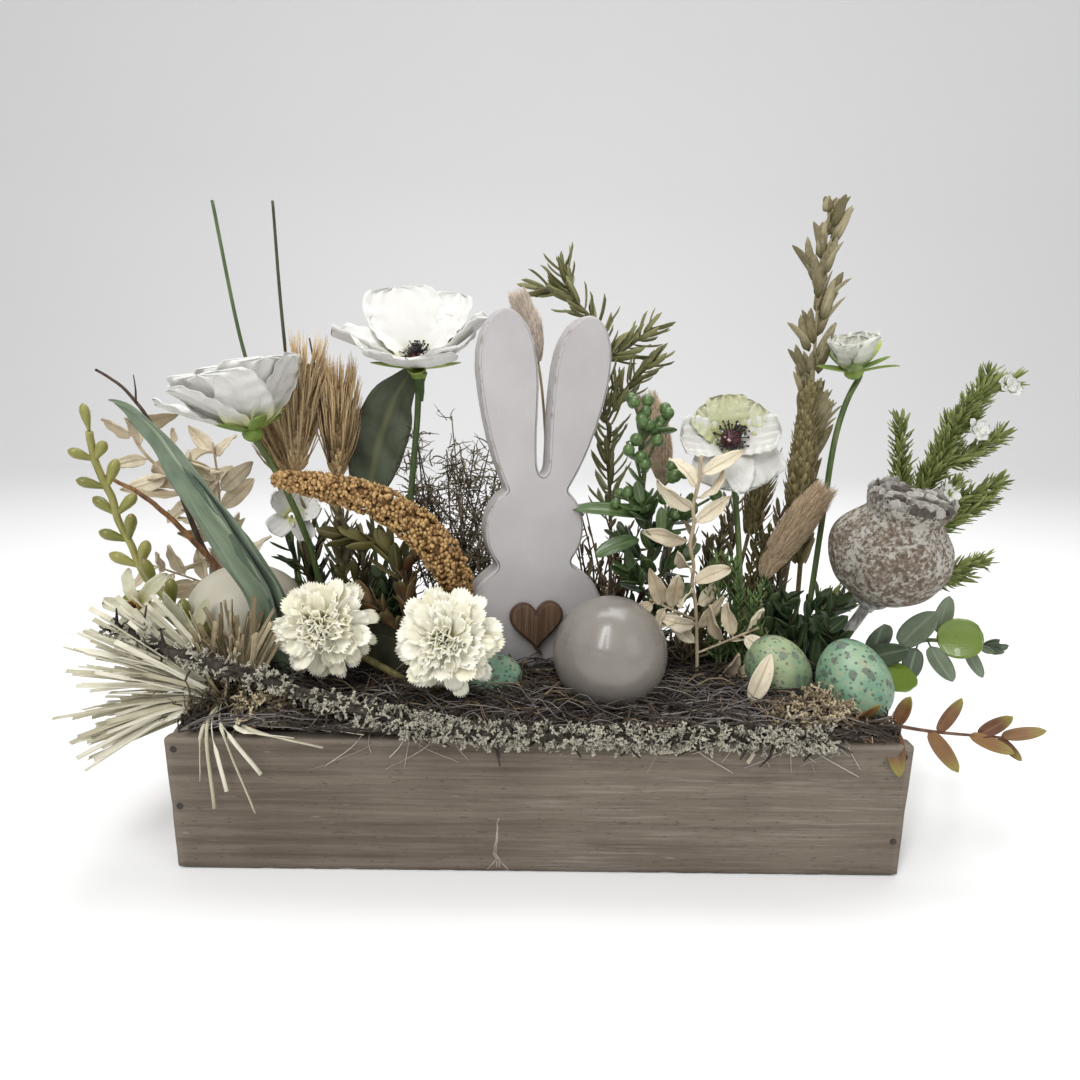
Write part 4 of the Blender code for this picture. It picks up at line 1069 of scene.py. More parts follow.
def build_pod():
    look = pod_material()
    route = follow("poppy_pod", 40 * MM, 3 * MM)
    axis = unit((0.13, -0.26, 1))
    triangles = node_triangles("poppy_pod").reshape(-1, 3)
    cad_axis = unit((0.18, 0, 1))
    heights_all = triangles @ cad_axis
    crown = triangles[heights_all > heights_all.max() - 0.5 * MM].mean(0)
    origin = crown - cad_axis * 73 * MM
    profile = np.array(((4, 7.5), (5, 10), (8, 16), (12, 22), (18, 28), (25, 32), (33, 34), (41, 33.4),
                        (48, 30.5), (54, 26), (58, 22.5), (60, 21.2), (62, 21.2), (65, 22.4),
                        (68, 23), (68.8, 22), (67.6, 20.6), (65.5, 18), (65, 6)), float)
    fine = curve_through(np.concatenate((profile, np.zeros((len(profile), 1))), 1), 4)
    batch = Batch()
    depth = np.interp(fine[:, 0], (4, 12, 40, 56, 61, 74), (0.0, 0.03, 0.05, 0.03, 0.0, 0.0))
    turned_shape(batch, origin, axis, fine[:, 0] * MM, fine[:, 1] * MM, 144, 0.07, 2.0, 0.5, 9, depth)
    piece(batch.build("pod_body", look), "dried_pod", "poppy_pod")
    stalk = Batch()
    below = route[:, 2] < (origin + axis * 6 * MM)[2]
    stalk.tube(np.concatenate((route[below][:-1], [origin + axis * 4 * MM])),
               3.4 * MM, 16)
    heights = mm(-5, -2, 1.5, 3, 4.2, 5.0)
    radii = mm(3.6, 5.0, 9.5, 10.5, 9.0, 6.0)
    turned_shape(stalk, origin, axis, heights, radii, 32, 0.08, 5.0)
    glassy = Shade("pod_stalk_look", 0.28, 0.5, Coat_Weight=0.3)
    cloud = glassy.noise(1.0, 4.0, 0.6, glassy.place((300, 300, 90)))
    glassy.colour(glassy.mix(glassy.spread(cloud, 0.35, 0.65), (0.16, 0.15, 0.13), (0.50, 0.49, 0.46)))
    glassy.bump(cloud, 0.4)
    piece(stalk.build("pod_stalk", glassy.material), "dried_pod")
    comb = Batch()
    rng = np.random.default_rng(21)
    a, b = side_frame(axis)
    cell = 6.0 * MM
    for i in range(-5, 6):
        for j in range(-5, 6):
            u, w = (i + 0.5 * (j % 2)) * cell, j * cell * 0.87
            if math.hypot(u, w) > 20.5 * MM:
                continue
            middle = origin + a * u + b * w + axis * (66 * MM + 2.5 * MM * rng.random())
            turned_shape(comb, middle, unit(axis + rng.normal(0, 0.12, 3)),
                         mm(-2.0, 0.8, 4.2, 5.2, 5.0, 1.2, -0.6),
                         mm(2.5, 2.8, 3.25, 3.1, 2.5, 1.9, 0.3), 12, 0.25, i + j * 3.0,
                         rng.random())
    for turn in np.linspace(0, 2 * math.pi, 30, endpoint=False):
        outward = swing(a, b, turn)
        root = origin + axis * 66 * MM + outward * 21 * MM
        comb.leaf(root, outward * 0.35 + axis, outward - axis * 0.3, rng.random(),
                  length=rng.uniform(5, 10) * MM, width=6 * MM, rows=6, columns=5, cup=0.5, bend=-0.4,
                  ruffle=0.7 * MM, phase=rng.uniform(0, 6), belly=0.6, fullness=0.6)
    crown_look = leaf_material("pod_crown_look", (0.085, 0.072, 0.058), (0.42, 0.40, 0.37), 0.85,
                               streaks=0.5, grain=260.0, base=(0.03, 0.024, 0.018), base_reach=0.35)
    piece(comb.build("pod_crown", crown_look, 0.5 * MM), "dried_pod")


# Stems and silk flowers ---------------------------------------------------------------------------

def stem_of(batch, node, radius):
    """Adds a smooth stem along a CAD node's centreline; returns the centreline."""
    route = follow(node, 5 * MM)
    fine = smoothed(resample(route, max(len(route) * 2, 8)), 4)
    batch.tube(fine, radius, 10)
    return fine


def level_frame(axis):
    """Right and back (or up) directions square to a flower's axis."""
    axis = unit(axis)
    right = unit(np.array((1.0, 0, 0)) - axis[0] * axis)
    return right, np.cross(axis, right)


def petals_at(batch, rng, head, axis, table, **shape):
    """Petals set one by one, each (turn, rise, length, width, bend, cup, twist).

    Turn and rise are in degrees, the sizes in millimetres, bend and twist in radians.
    """
    right, back = level_frame(axis)
    axis = unit(axis)
    for turn, rise, length, width, bend, cup, twist in table:
        angle, lift = math.radians(turn), math.radians(rise)
        outward = swing(right, back, angle)
        heading = swing(outward, axis, lift)
        normal = swing(axis, -outward, lift)
        batch.leaf(head + outward * 2 * MM, heading, normal, rng.random(), length=length * MM,
                   width=width * MM, bend=bend, cup=cup, twist=twist, phase=rng.uniform(0, 6), **shape)


def petal_ring(batch, rng, head, axis, count, length, width, rise, start=0.0, offset=1 * MM, jitter=0.1,
               **shape):
    """Ring of petals about an axis; rise is each petal's angle above the ring's plane."""
    a, b = side_frame(axis)
    for k in range(count):
        turn = start + 2 * math.pi * k / count + rng.normal(0, jitter)
        outward = swing(a, b, turn)
        lift = rise + rng.normal(0, 0.06)
        size = rng.uniform(0.93, 1.07)
        batch.leaf(head + outward * offset + axis * 0.3 * MM * (k % 2), swing(outward, axis, lift),
                   swing(axis, -outward, lift), rng.random(), length=length * size, width=width * size,
                   phase=rng.uniform(0, 6), **shape)


def silk_material(name, dark, light, base, base_reach=0.4):
    """Thin silk-like petal: fine creases along it, with painted shade in them, and yellow-green at the root.
    """
    s = Shade(name, 0.55, 0.25, Sheen_Weight=0.15)
    _, along, tint = s.data()
    soft = s.noise(70.0, 3.0)
    colour = s.mix(s.spread(s.total(soft, (tint, 0.4)), 0.4, 1.1), dark, light)
    colour = s.mix(s.spread(along, 0.0, base_reach), base, colour)
    creases = s.noise(1.6, 4.0, 0.6, s.with_leaf(34.0, 2.2, 60.0), 0.4)
    # Painted shade: the petal darkens where the creases run.
    colour = s.mix(s.spread(creases, 0.55, 0.8, 0.0, 0.18), colour, dimmed(dark, 0.78))
    s.colour(colour)
    s.bump(s.total(creases, (s.noise(1300.0, 2.0), 0.3)), 0.7, 0.6 * MM)
    return s.material


def stamens(batch, rng, head, axis, count, reach, ball, open_angle=1.1):
    """Threads fanned out from a flower's middle, each with a small anther."""
    a, b = side_frame(axis)
    for _ in range(count):
        turn = rng.uniform(0, 2 * math.pi)
        lean = open_angle * math.sqrt(rng.random())
        heading = unit(swing(axis, swing(a, b, turn), lean))
        length = reach * rng.uniform(0.75, 1.0)
        tip = head + heading * length
        middle = (head + tip) / 2 + axis * length * 0.12
        batch.tube([head, middle, tip], 0.3 * MM, 4, 0.0)
        batch.blob(tip, (ball, ball * 0.8, ball), None, 1, 0.0 if rng.random() < 0.7 else 1.0)


def sepals(batch, rng, head, axis, count, length, width, rise, **shape):
    petal_ring(batch, rng, head, axis, count, length, width, rise, rng.uniform(0, 6), 2 * MM, 0.2,
               **shape)


def build_left_poppy(green, silk, sepal_look, broad):
    """Seen from its side and a little from below: a wide ruffled bowl on a green star."""
    rng = np.random.default_rng(31)
    stems = Batch()
    route = stem_of(stems, "left_poppy_stem", 2.0 * MM)
    head, axis = route[-1], unit((-0.20, -0.05, 1))
    petals = Batch()
    petals_at(petals, rng, head, axis, ((262, 42, 48, 56, 0.15, 0.22, 0.1),
                                        (188, 18, 52, 46, 0.35, 0.18, -0.15),
                                        (325, 42, 50, 52, 0.25, 0.22, 0.1),
                                        (15, 38, 52, 50, 0.25, 0.22, 0.1), (80, 46, 50, 60, 0.2, 0.22, -0.1),
                                        (140, 42, 49, 54, 0.25, 0.22, 0.1),
                                        (222, 34, 48, 46, 0.2, 0.24, 0.1)), ruffle=1.1 * MM, **broad)
    petals_at(petals, rng, head + axis * 2 * MM, axis, (
        (295, 60, 43, 44, -0.25, 0.3, 0.0), (50, 60, 43, 46, -0.2, 0.3, -0.1)),
        ruffle=1.4 * MM, **broad)
    piece(petals.build("left_poppy_silk", silk, 0.2 * MM), "white_petals", "left_poppy_petals")
    greens = Batch()
    sepals(greens, rng, head - axis * 2 * MM, axis, 6, 22 * MM, 10 * MM, 0.35, belly=0.5, bend=0.2,
           rows=9, columns=7, cup=0.3)
    greens.blob(head - axis * 3 * MM, (6 * MM, 6 * MM, 5 * MM), None, 2, 0.3)
    piece(greens.build("left_poppy_sepals", sepal_look, 0.4 * MM), "green_sprays")
    piece(stems.build("left_poppy_stalk", green), "green_stem", "left_poppy_stem")


def build_small_flower(silk):
    """Little white flower half hidden behind the millet."""
    rng = np.random.default_rng(36)
    small = Batch()
    foot = foot_of("left_poppy_stem")
    spot = foot + mm(-22, 2, 98)
    petals_at(small, rng, spot, (0.5, -0.6, 0.6), (
        (90, 30, 19, 17, -0.2, 0.3, 0.1), (20, 30, 17, 16, 0.2, 0.3, 0.1), (160, 30, 17, 16, 0.2, 0.3, 0.1),
        (240, 10, 17, 15, -0.4, 0.3, 0.1), (310, 10, 18, 15, -0.4, 0.3, 0.1)), ruffle=0.7 * MM, rows=12,
        columns=13, belly=0.66, fullness=0.45, waves=4.0, root=0.18)
    piece(small.build("small_white_flower", silk, 0.2 * MM), "white_petals")
    stalk = Batch()
    stalk.tube(curve_through([foot + (-12 * MM, 2 * MM, 0), spot - UP * 40 * MM, spot]), 0.9 * MM, 6)
    green = stem_material("small_stem_look", (0.060, 0.090, 0.024), (0.130, 0.165, 0.055), 0.5)
    piece(stalk.build("small_flower_stalk", green), "green_stem")


def build_middle_poppy(dark_green, silk, sepal_look, broad):
    """Opens towards the viewer: tall petals behind, a low one in front of the dark middle."""
    rng = np.random.default_rng(32)
    stems = Batch()
    stem_of(stems, "middle_poppy_stem", 2.0 * MM)
    head = centre_of("middle_poppy_centre") - unit((0, -0.25, 1)) * 5 * MM
    axis = unit((0.02, -0.34, 1))
    petals = Batch()
    rounded = dict(broad, belly=0.60, fullness=0.62)
    petals_at(petals, rng, head, axis, (
        (118, 58, 53, 52, -0.3, 0.2, 0.05), (50, 50, 52, 48, -0.1, 0.2, 0.1)), ruffle=0.9 * MM, **rounded)
    petals_at(petals, rng, head, axis, ((172, 14, 55, 32, 0.1, 0.55, -0.25), (6, 26, 52, 42, 0.3, 0.3, 0.2),
                                        (270, 10, 38, 56, 0.5, 0.22, 0.0),
                                        (224, 14, 42, 44, 0.45, 0.22, 0.1),
                                        (320, 16, 43, 44, 0.45, 0.22, -0.1)), ruffle=0.9 * MM, **broad)
    petals_at(petals, rng, head + axis * 1.5 * MM, axis, (
        (150, 46, 38, 36, -0.1, 0.28, 0.1), (30, 46, 36, 34, -0.1, 0.28, -0.1)),
        ruffle=1.2 * MM, **rounded)
    piece(petals.build("middle_poppy_silk", silk, 0.2 * MM), "white_petals", "middle_poppy_petals")
    heart = Batch()
    stamens(heart, rng, head + axis * 2 * MM, axis, 70, 14 * MM, 0.8 * MM)
    heart.blob(head + axis * 4 * MM, (5.5 * MM, 5.5 * MM, 4.5 * MM), None, 3, 0.5)
    piece(heart.build("middle_poppy_heart", stamen_material()), "dark_stamens", "middle_poppy_centre")
    greens = Batch()
    sepals(greens, rng, head - axis * 2 * MM, unit((0, -0.15, 1)), 6, 27 * MM, 11 * MM, -0.02, belly=0.45,
           bend=0.25, rows=9, columns=7, cup=0.3)
    greens.blob(head - axis * 5 * MM, (5 * MM, 5 * MM, 5 * MM), None, 2, 0.2)
    collar = np.array([head - UP * 22 * MM, head - UP * 16 * MM, head - UP * 10 * MM, head - UP * 4 * MM])
    stems.tube(collar + (0, 2 * MM, 0), (2.3 * MM, 3.2 * MM, 3.4 * MM, 5.5 * MM), 12, 0.0)
    piece(greens.build("middle_poppy_sepals", sepal_look, 0.4 * MM), "green_sprays")
    piece(stems.build("middle_poppy_stalk", dark_green), "green_stem", "middle_poppy_stem")
    build_small_flower(silk)


def stamen_material():
    """Dark red thread tuft with near-black and silvery anthers."""
    s = Shade("dark_red_centre", 0.45, 0.5)
    _, _, tint = s.data()
    fine = s.noise(1200.0, 3.0)
    red = s.mix(s.spread(fine, 0.35, 0.65), (0.035, 0.004, 0.008), (0.13, 0.018, 0.026))
    colour = s.mix(s.spread(tint, 0.1, 0.4), (0.012, 0.006, 0.008), red)
    colour = s.mix(s.spread(tint, 0.8, 0.95), colour, (0.42, 0.40, 0.40))
    s.colour(colour)
    s.bump(fine, 0.6, 0.4 * MM)
    return s.material


def build_anemone(green, sepal_look):
    rng = np.random.default_rng(33)
    stems = Batch()
    stem_of(stems, "anemone_stem", 1.8 * MM)
    piece(stems.build("anemone_stalk", green), "green_stem", "anemone_stem")
    axis = unit((-0.08, -0.86, 0.62))
    head = centre_of("anemone_centre") + mm(0, 2, -2)
    petals = Batch()
    shape = dict(rows=20, columns=23, belly=0.68, fullness=0.42, waves=5.0, root=0.18)
    petals_at(petals, rng, head, axis, ((95, 34, 27, 25, -0.3, 0.2, 0.05), (52, 30, 26, 24, -0.1, 0.2, 0.1),
                                        (140, 30, 26, 24, -0.1, 0.2, -0.1)), ruffle=1.5 * MM, **shape)
    inner = silk_material("anemone_inner_silk", (0.46, 0.47, 0.27), (0.60, 0.60, 0.45), (0.36, 0.38, 0.11),
                          0.7)
    piece(petals.build("anemone_inner_petals", inner, 0.25 * MM), "white_petals", "anemone_petals")
    petals = Batch()
    petals_at(petals, rng, head, axis, ((252, 24, 31, 36, -0.85, 0.15, 0.1),
                                        (300, 22, 32, 36, -0.8, 0.15, -0.1),
                                        (185, 26, 31, 27, -0.1, 0.3, 0.1),
                                        (352, 30, 29, 27, 0.1, 0.25, 0.1)), ruffle=1.4 * MM, **shape)
    outer = silk_material("anemone_outer_silk", (0.60, 0.60, 0.56), (0.71, 0.71, 0.67), (0.50, 0.51, 0.24),
                          0.35)
    piece(petals.build("anemone_outer_petals", outer, 0.25 * MM), "white_petals")
    heart = Batch()
    stamens(heart, rng, head + axis * 2 * MM, axis, 80, 12.5 * MM, 0.8 * MM, 1.25)
    heart.blob(head + axis * 4 * MM, (6 * MM, 6 * MM, 6 * MM), None, 3, 0.5)
    piece(heart.build("anemone_heart", stamen_material()), "dark_stamens", "anemone_centre")
    greens = Batch()
    sepals(greens, rng, head - axis * 3 * MM, axis, 5, 18 * MM, 7 * MM, -0.3, belly=0.4, bend=0.4,
           rows=8, columns=5, cup=0.3)
    piece(greens.build("anemone_sepals", sepal_look, 0.4 * MM), "green_sprays")


def build_bud(green, sepal_look):
    """Half-open flower at the upper right."""
    rng = np.random.default_rng(34)
    stems = Batch()
    route = follow("poppy_bud", 5 * MM)
    points = node_triangles("poppy_bud").reshape(-1, 3)
    tip = points[np.argmax(points[:, 2])]
    base = tip - np.array((0, 0, 26 * MM))
    below = route[route[:, 2] < base[2] + 3 * MM]
    fine = smoothed(resample(np.concatenate((below, [base + (0, 0, 4 * MM)])), 50), 4)
    stems.tube(fine, 1.9 * MM, 10)
    piece(stems.build("bud_stalk", green), "green_stem", "poppy_bud")
    axis = unit((-0.25, -0.35, 1))
    petals = Batch()
    shape = dict(rows=14, columns=15, belly=0.66, fullness=0.45, ruffle=1.1 * MM, waves=4.0, root=0.2)
    petal_ring(petals, rng, base, axis, 5, 24 * MM, 21 * MM, 0.95, 0.3, 3 * MM, 0.15, cup=0.35, bend=0.2,
               **shape)
    petal_ring(petals, rng, base + axis * MM, axis, 4, 20 * MM, 17 * MM, 1.2, 1.0, 2 * MM, 0.2, cup=0.4,
               bend=0.0, **shape)
    bud_silk = silk_material("bud_silk_look", (0.66, 0.67, 0.58), (0.80, 0.80, 0.74), (0.46, 0.48, 0.18),
                             0.5)
    piece(petals.build("bud_silk", bud_silk, 0.25 * MM), "white_petals")
    greens = Batch()
    sepals(greens, rng, base - axis * MM, axis, 5, 24 * MM, 10 * MM, 0.35, belly=0.38, bend=0.2, rows=9,
           columns=5, cup=0.35)
    greens.blob(base - axis * 1 * MM, (6 * MM, 6 * MM, 5 * MM), None, 2, 0.4)
    greens.leaf(base - axis * 3 * MM, (0.9, -0.3, 0.35), UP, 0.3, length=27 * MM, width=9 * MM, bend=-0.3,
                cup=0.3)
    piece(greens.build("bud_sepals", sepal_look, 0.4 * MM), "green_sprays")


def build_flowers():
    green = stem_material("green_stem_look", (0.050, 0.085, 0.020), (0.120, 0.160, 0.050), 0.5)
    dark_green = stem_material("dark_stem_look", (0.040, 0.070, 0.016), (0.085, 0.120, 0.035), 0.55)
    silk = silk_material("poppy_silk", (0.69, 0.685, 0.65), (0.80, 0.795, 0.765), (0.66, 0.66, 0.26), 0.36)
    sepal_look = leaf_material("sepal_look", (0.16, 0.25, 0.045), (0.36, 0.44, 0.10), 0.55)
    broad = dict(rows=24, columns=29, belly=0.70, fullness=0.40, waves=5.0, root=0.16)
    build_left_poppy(green, silk, sepal_look, broad)
    build_middle_poppy(dark_green, silk, sepal_look, broad)
    build_anemone(green, sepal_look)
    build_bud(green, sepal_look)


def carnation_head(batch, rng, origin, axis, radius, depth):
    """Rings of toothed petals: flat and long at the rim, crumpled and upright in the middle."""
    a, b = side_frame(axis)
    rings = ((12, 92, 1.10, 0.25), (12, 80, 1.05, 0.35), (12, 68, 1.02, 0.5), (11, 56, 1.0, 0.7),
             (11, 44, 1.0, 0.9), (10, 32, 1.0, 1.1), (9, 20, 1.0, 1.3), (8, 8, 1.0, 1.4))
    for count, lean_degrees, size, crumple in rings:
        for k in range(count):
            lean = math.radians(lean_degrees) + rng.normal(0, 0.12)
            turn = 2 * math.pi * (k + rng.uniform(-0.4, 0.4)) / count + lean_degrees
            outward = swing(a, b, turn)
            heading = unit(swing(axis, outward, lean))
            reach = size / math.sqrt((math.sin(lean) / radius) ** 2 + (math.cos(lean) / depth) ** 2)
            start = origin + axis * 2 * MM + heading * reach * 0.15
            normal = axis * math.sin(lean) - outward * math.cos(lean) + rng.normal(0, 0.3 + 0.3 * crumple,
                                                                                   3)
            batch.leaf(start, heading, normal, rng.random(), length=reach * rng.uniform(0.72, 0.90),
                       width=rng.uniform(9, 14) * MM, rows=10, columns=15, belly=0.86, fullness=0.8,
                       cup=rng.uniform(-0.1, 0.4), ruffle=crumple * 1.3 * MM, waves=rng.uniform(1.6, 2.8),
                       bend=rng.normal(-0.2, 0.3), phase=rng.uniform(0, 6), teeth=0.8 * MM, root=0.18,
                       blunt=0.95)


def build_carnations():
    cream = leaf_material("carnation_silk", (0.80, 0.77, 0.60), (0.90, 0.88, 0.77), 0.6,
                          base=(0.70, 0.61, 0.28), base_reach=0.50, streaks=0.04, grain=90.0)
    olive = stem_material("carnation_stem_look", (0.130, 0.115, 0.035), (0.28, 0.245, 0.10), 0.5)
    calyx_look = leaf_material("calyx_look", (0.16, 0.16, 0.045), (0.28, 0.26, 0.09), 0.6)
    axis = unit((0, -1, 0.35))
    for name, seed in (("left_carnation", 41), ("middle_carnation", 42)):
        rng = np.random.default_rng(seed)
        points = node_points(name + "_head")
        along = points @ axis
        middle = points.mean(0)
        origin = middle + axis * (along.min() - middle @ axis)
        off = (points - middle) - np.outer((points - middle) @ axis, axis)
        radius = np.linalg.norm(off, axis=1).max()
        depth = along.max() - along.min()
        stems = Batch()
        foot = foot_of(name + "_stem")
        reach = origin - foot
        route = curve_through([foot, foot + reach * (0.28, 0.3, 0.30), foot + reach * (0.70, 0.75, 0.66),
                               origin - axis * 5 * MM, origin], 8)
        stems.tube(route, 2.1 * MM, 10)
        piece(stems.build(name + "_stalk", olive), "olive_stem", name + "_stem")
        batch = Batch()
        carnation_head(batch, rng, origin, axis, radius, depth)
        piece(batch.build(name + "_petals", cream, 0.25 * MM), "cream_petals", name + "_head")
        calyx = Batch()
        turned_shape(calyx, origin, axis, mm(-6, -3, 0, 3, 6),
                     mm(2.4, 5, 7, 8.5, 9), 24, 0.05)
        piece(calyx.build(name + "_calyx", calyx_look), "olive_stem")


def build_narcissus():
    """Pale flower at the left with a small orange-brown cup, and its bud."""
    rng = np.random.default_rng(43)
    pale = silk_material("narcissus_silk", (0.52, 0.50, 0.33), (0.70, 0.69, 0.55), (0.34, 0.32, 0.08), 0.5)
    points = node_triangles("narcissus").reshape(-1, 3)
    low, _ = corners("narcissus")
    axis = unit((-0.1, -1, 0.2))
    flower = points[(points[:, 2] > low[2] + 60 * MM) & (points[:, 0] < low[0] + 46 * MM)]
    head = (flower.max(0) + flower.min(0)) / 2
    stems = Batch()
    foot = points[points[:, 2] < low[2] + MM].mean(0)
    arch = curve_through([(foot[0], foot[1], BED_START), (foot[0] - 8 * MM, foot[1], BED_START + 25 * MM),
                          head - axis * 12 * MM, head - axis * 2 * MM])
    stems.tube(arch, 1.5 * MM, 8)
    green = stem_material("narcissus_stem_look", (0.12, 0.13, 0.035), (0.24, 0.24, 0.09), 0.55)
    piece(stems.build("narcissus_stalk", green), "olive_stem", "narcissus")
    petals = Batch()
    petal_ring(petals, rng, head, axis, 6, 24 * MM, 8.5 * MM, 0.25, 0.3, 1.5 * MM, 0.12, rows=12,
               columns=9, belly=0.5, fullness=0.8, cup=0.5, bend=-0.7, ruffle=0.8 * MM, waves=3.0,
               root=0.15)
    petals.leaf(arch[8], (-0.25, -0.1, 1), (-0.3, -1, 0), 0.6, length=34 * MM, width=9 * MM,
                bend=0.3, cup=0.4, rows=12, columns=7)
    petals.leaf(arch[8], (0.35, 0.1, 1), (0, -1, 0.2), 0.2, length=26 * MM, width=8 * MM,
                bend=-0.3, cup=0.4, rows=12, columns=7)
    piece(petals.build("narcissus_petals", pale, 0.3 * MM), "cream_petals")
    cup = Batch()
    turned_shape(cup, head, axis, mm(0, 3, 6, 8, 7.6, 4, 1),
                 mm(1.5, 3, 3.6, 4.6, 4.1, 3.1, 1.2), 24, 0.25)
    stamens(cup, rng, head, axis, 14, 9 * MM, 0.7 * MM, 0.6)
    orange = leaf_material("narcissus_cup", (0.22, 0.10, 0.025), (0.46, 0.28, 0.07), 0.6)
    piece(cup.build("narcissus_cup", orange), "cream_petals")


# Ears and grasses ---------------------------------------------------------------------------------

def ear_route(node, reach=8 * MM):
    route = follow(node, reach)
    return smoothed(resample(route, len(route) * 3), 3)


def last_stretch(route, length):
    """The last part of a route, of a given length, evenly sampled, and the rest."""
    steps = np.linalg.norm(np.diff(route, axis=0), axis=1)
    total = np.cumsum(steps[::-1])
    index = len(route) - 1 - int(np.searchsorted(total, length))
    index = max(index, 1)
    return route[:index + 1], resample(route[index:], 60)


def wheat_ear(batch, rng, spine, kernel, fat, awn, pairs):
    """Kernels in alternating rows along the ear's spine, each with bristles, three where they are long."""
    lean, spread, rows, threads = (0.50, 0.30, 6, 3) if awn > LONG_AWN else (0.42, 0.4, 5, 1)
    for k in range(pairs):
        share = k / (pairs - 1)
        spot, heading = at(spine, share)
        a, b = side_frame(heading)
        size = 0.72 + 0.28 * math.sin(math.pi * min(1.0, share * 1.05 + 0.2))
        for row in range(rows):
            turn = 2 * math.pi * row / rows + (math.pi / rows) * (k % 2) + rng.normal(0, 0.12)
            outward = swing(a, b, turn)
            direction = unit(heading + outward * (lean + rng.normal(0, 0.05)))
            root = spot + outward * fat * 0.35 * size
            side = np.cross(direction, outward)
            for way in (-0.16, 0.16):
                husk = unit(direction + side * way)
                batch.leaf(root, husk, outward + side * way, rng.random(), length=kernel * size * 1.15,
                           width=fat * size * 0.7, rows=7, columns=5, belly=0.4, fullness=0.8, cup=-0.9,
                           bend=-0.2)
            batch.blob(root + direction * kernel * 0.42 * size,
                       (fat * 0.30 * size, fat * 0.26 * size, kernel * 0.46 * size),
                       np.stack((side, unit(np.cross(direction, side)), direction)), 1, rng.random())
            for _ in range(threads):
                tip = root + direction * kernel * size
                bristle = unit(heading + outward * (spread * rng.uniform(0.5, 1.0)) + rng.normal(0, 0.04,
                                                                                                 3))
                length = awn * rng.uniform(0.6, 1.0) * (1 - 0.35 * share)
                end = tip + bristle * length
                middle = (tip + end) / 2 + outward * length * 0.04
                batch.tube([tip - direction * 3 * MM, middle, end], (0.46 * MM, 0.36 * MM, 0.12 * MM), 3,
                           rng.uniform(0.4, 1.0))


def build_wheat():
    gold = grain_material("wheat_gold", (0.33, 0.220, 0.105), (0.68, 0.51, 0.295), 0.7, 0.35)
    brown = grain_material("wheat_tan", (0.27, 0.175, 0.080), (0.60, 0.44, 0.24), 0.7, 0.35)
    dry_green = grain_material("wheat_green", (0.105, 0.085, 0.030), (0.270, 0.225, 0.105), 0.72, 0.4)
    stalk_look = stem_material("straw_stalk_look", (0.20, 0.15, 0.065), (0.36, 0.28, 0.14), 0.6)
    for name, node, look, length, seed, awn, fat, kernel in (
            ("wheat_tall", "wheat_left_1", gold, 84, 51, 36, 6.6, 13),
            ("wheat_short", "wheat_left_2", brown, 74, 52, 34, 6.6, 13),
            ("wheat_low", "wheat_right_1", dry_green, 44, 53, 15, 6.0, 12),
            ("wheat_braided", "wheat_right_2", dry_green, 84, 54, 6, 7.0, 14)):
        rng = np.random.default_rng(seed)
        route = ear_route(node)
        stalk, spine = last_stretch(route, length * MM)
        batch = Batch()
        covered = resample(spine, 60)
        if awn * MM > LONG_AWN:
            covered = covered[:42]
        wheat_ear(batch, rng, covered, kernel * MM, fat * MM, awn * MM, 24)
        piece(batch.build(name, look), "dried_grain", node)
        stems = Batch()
        stems.tube(resample(stalk, 24), 1.3 * MM, 7)
        piece(stems.build(name + "_stalk", stalk_look), "dried_grain")
    build_leaning_ear(brown)


def build_leaning_ear(look):
    """A third ear that leans out to the left of the first."""
    rng = np.random.default_rng(55)
    tall = ear_route("wheat_left_1")
    beside = mm(-3, 6, 0)
    start = tall[int(len(tall) * 0.55)] + beside
    spine = curve_through([start, start + mm(-10, 4, 20), start + mm(-22, 6, 44)], 20)
    batch = Batch()
    wheat_ear(batch, rng, spine, 13 * MM, 6.4 * MM, 28 * MM, 18)
    batch.tube(resample(np.concatenate((tall[:int(len(tall) * 0.5)] + beside, [start])), 20), 1.1 * MM, 6)
    piece(batch.build("wheat_leaning", look), "dried_grain")


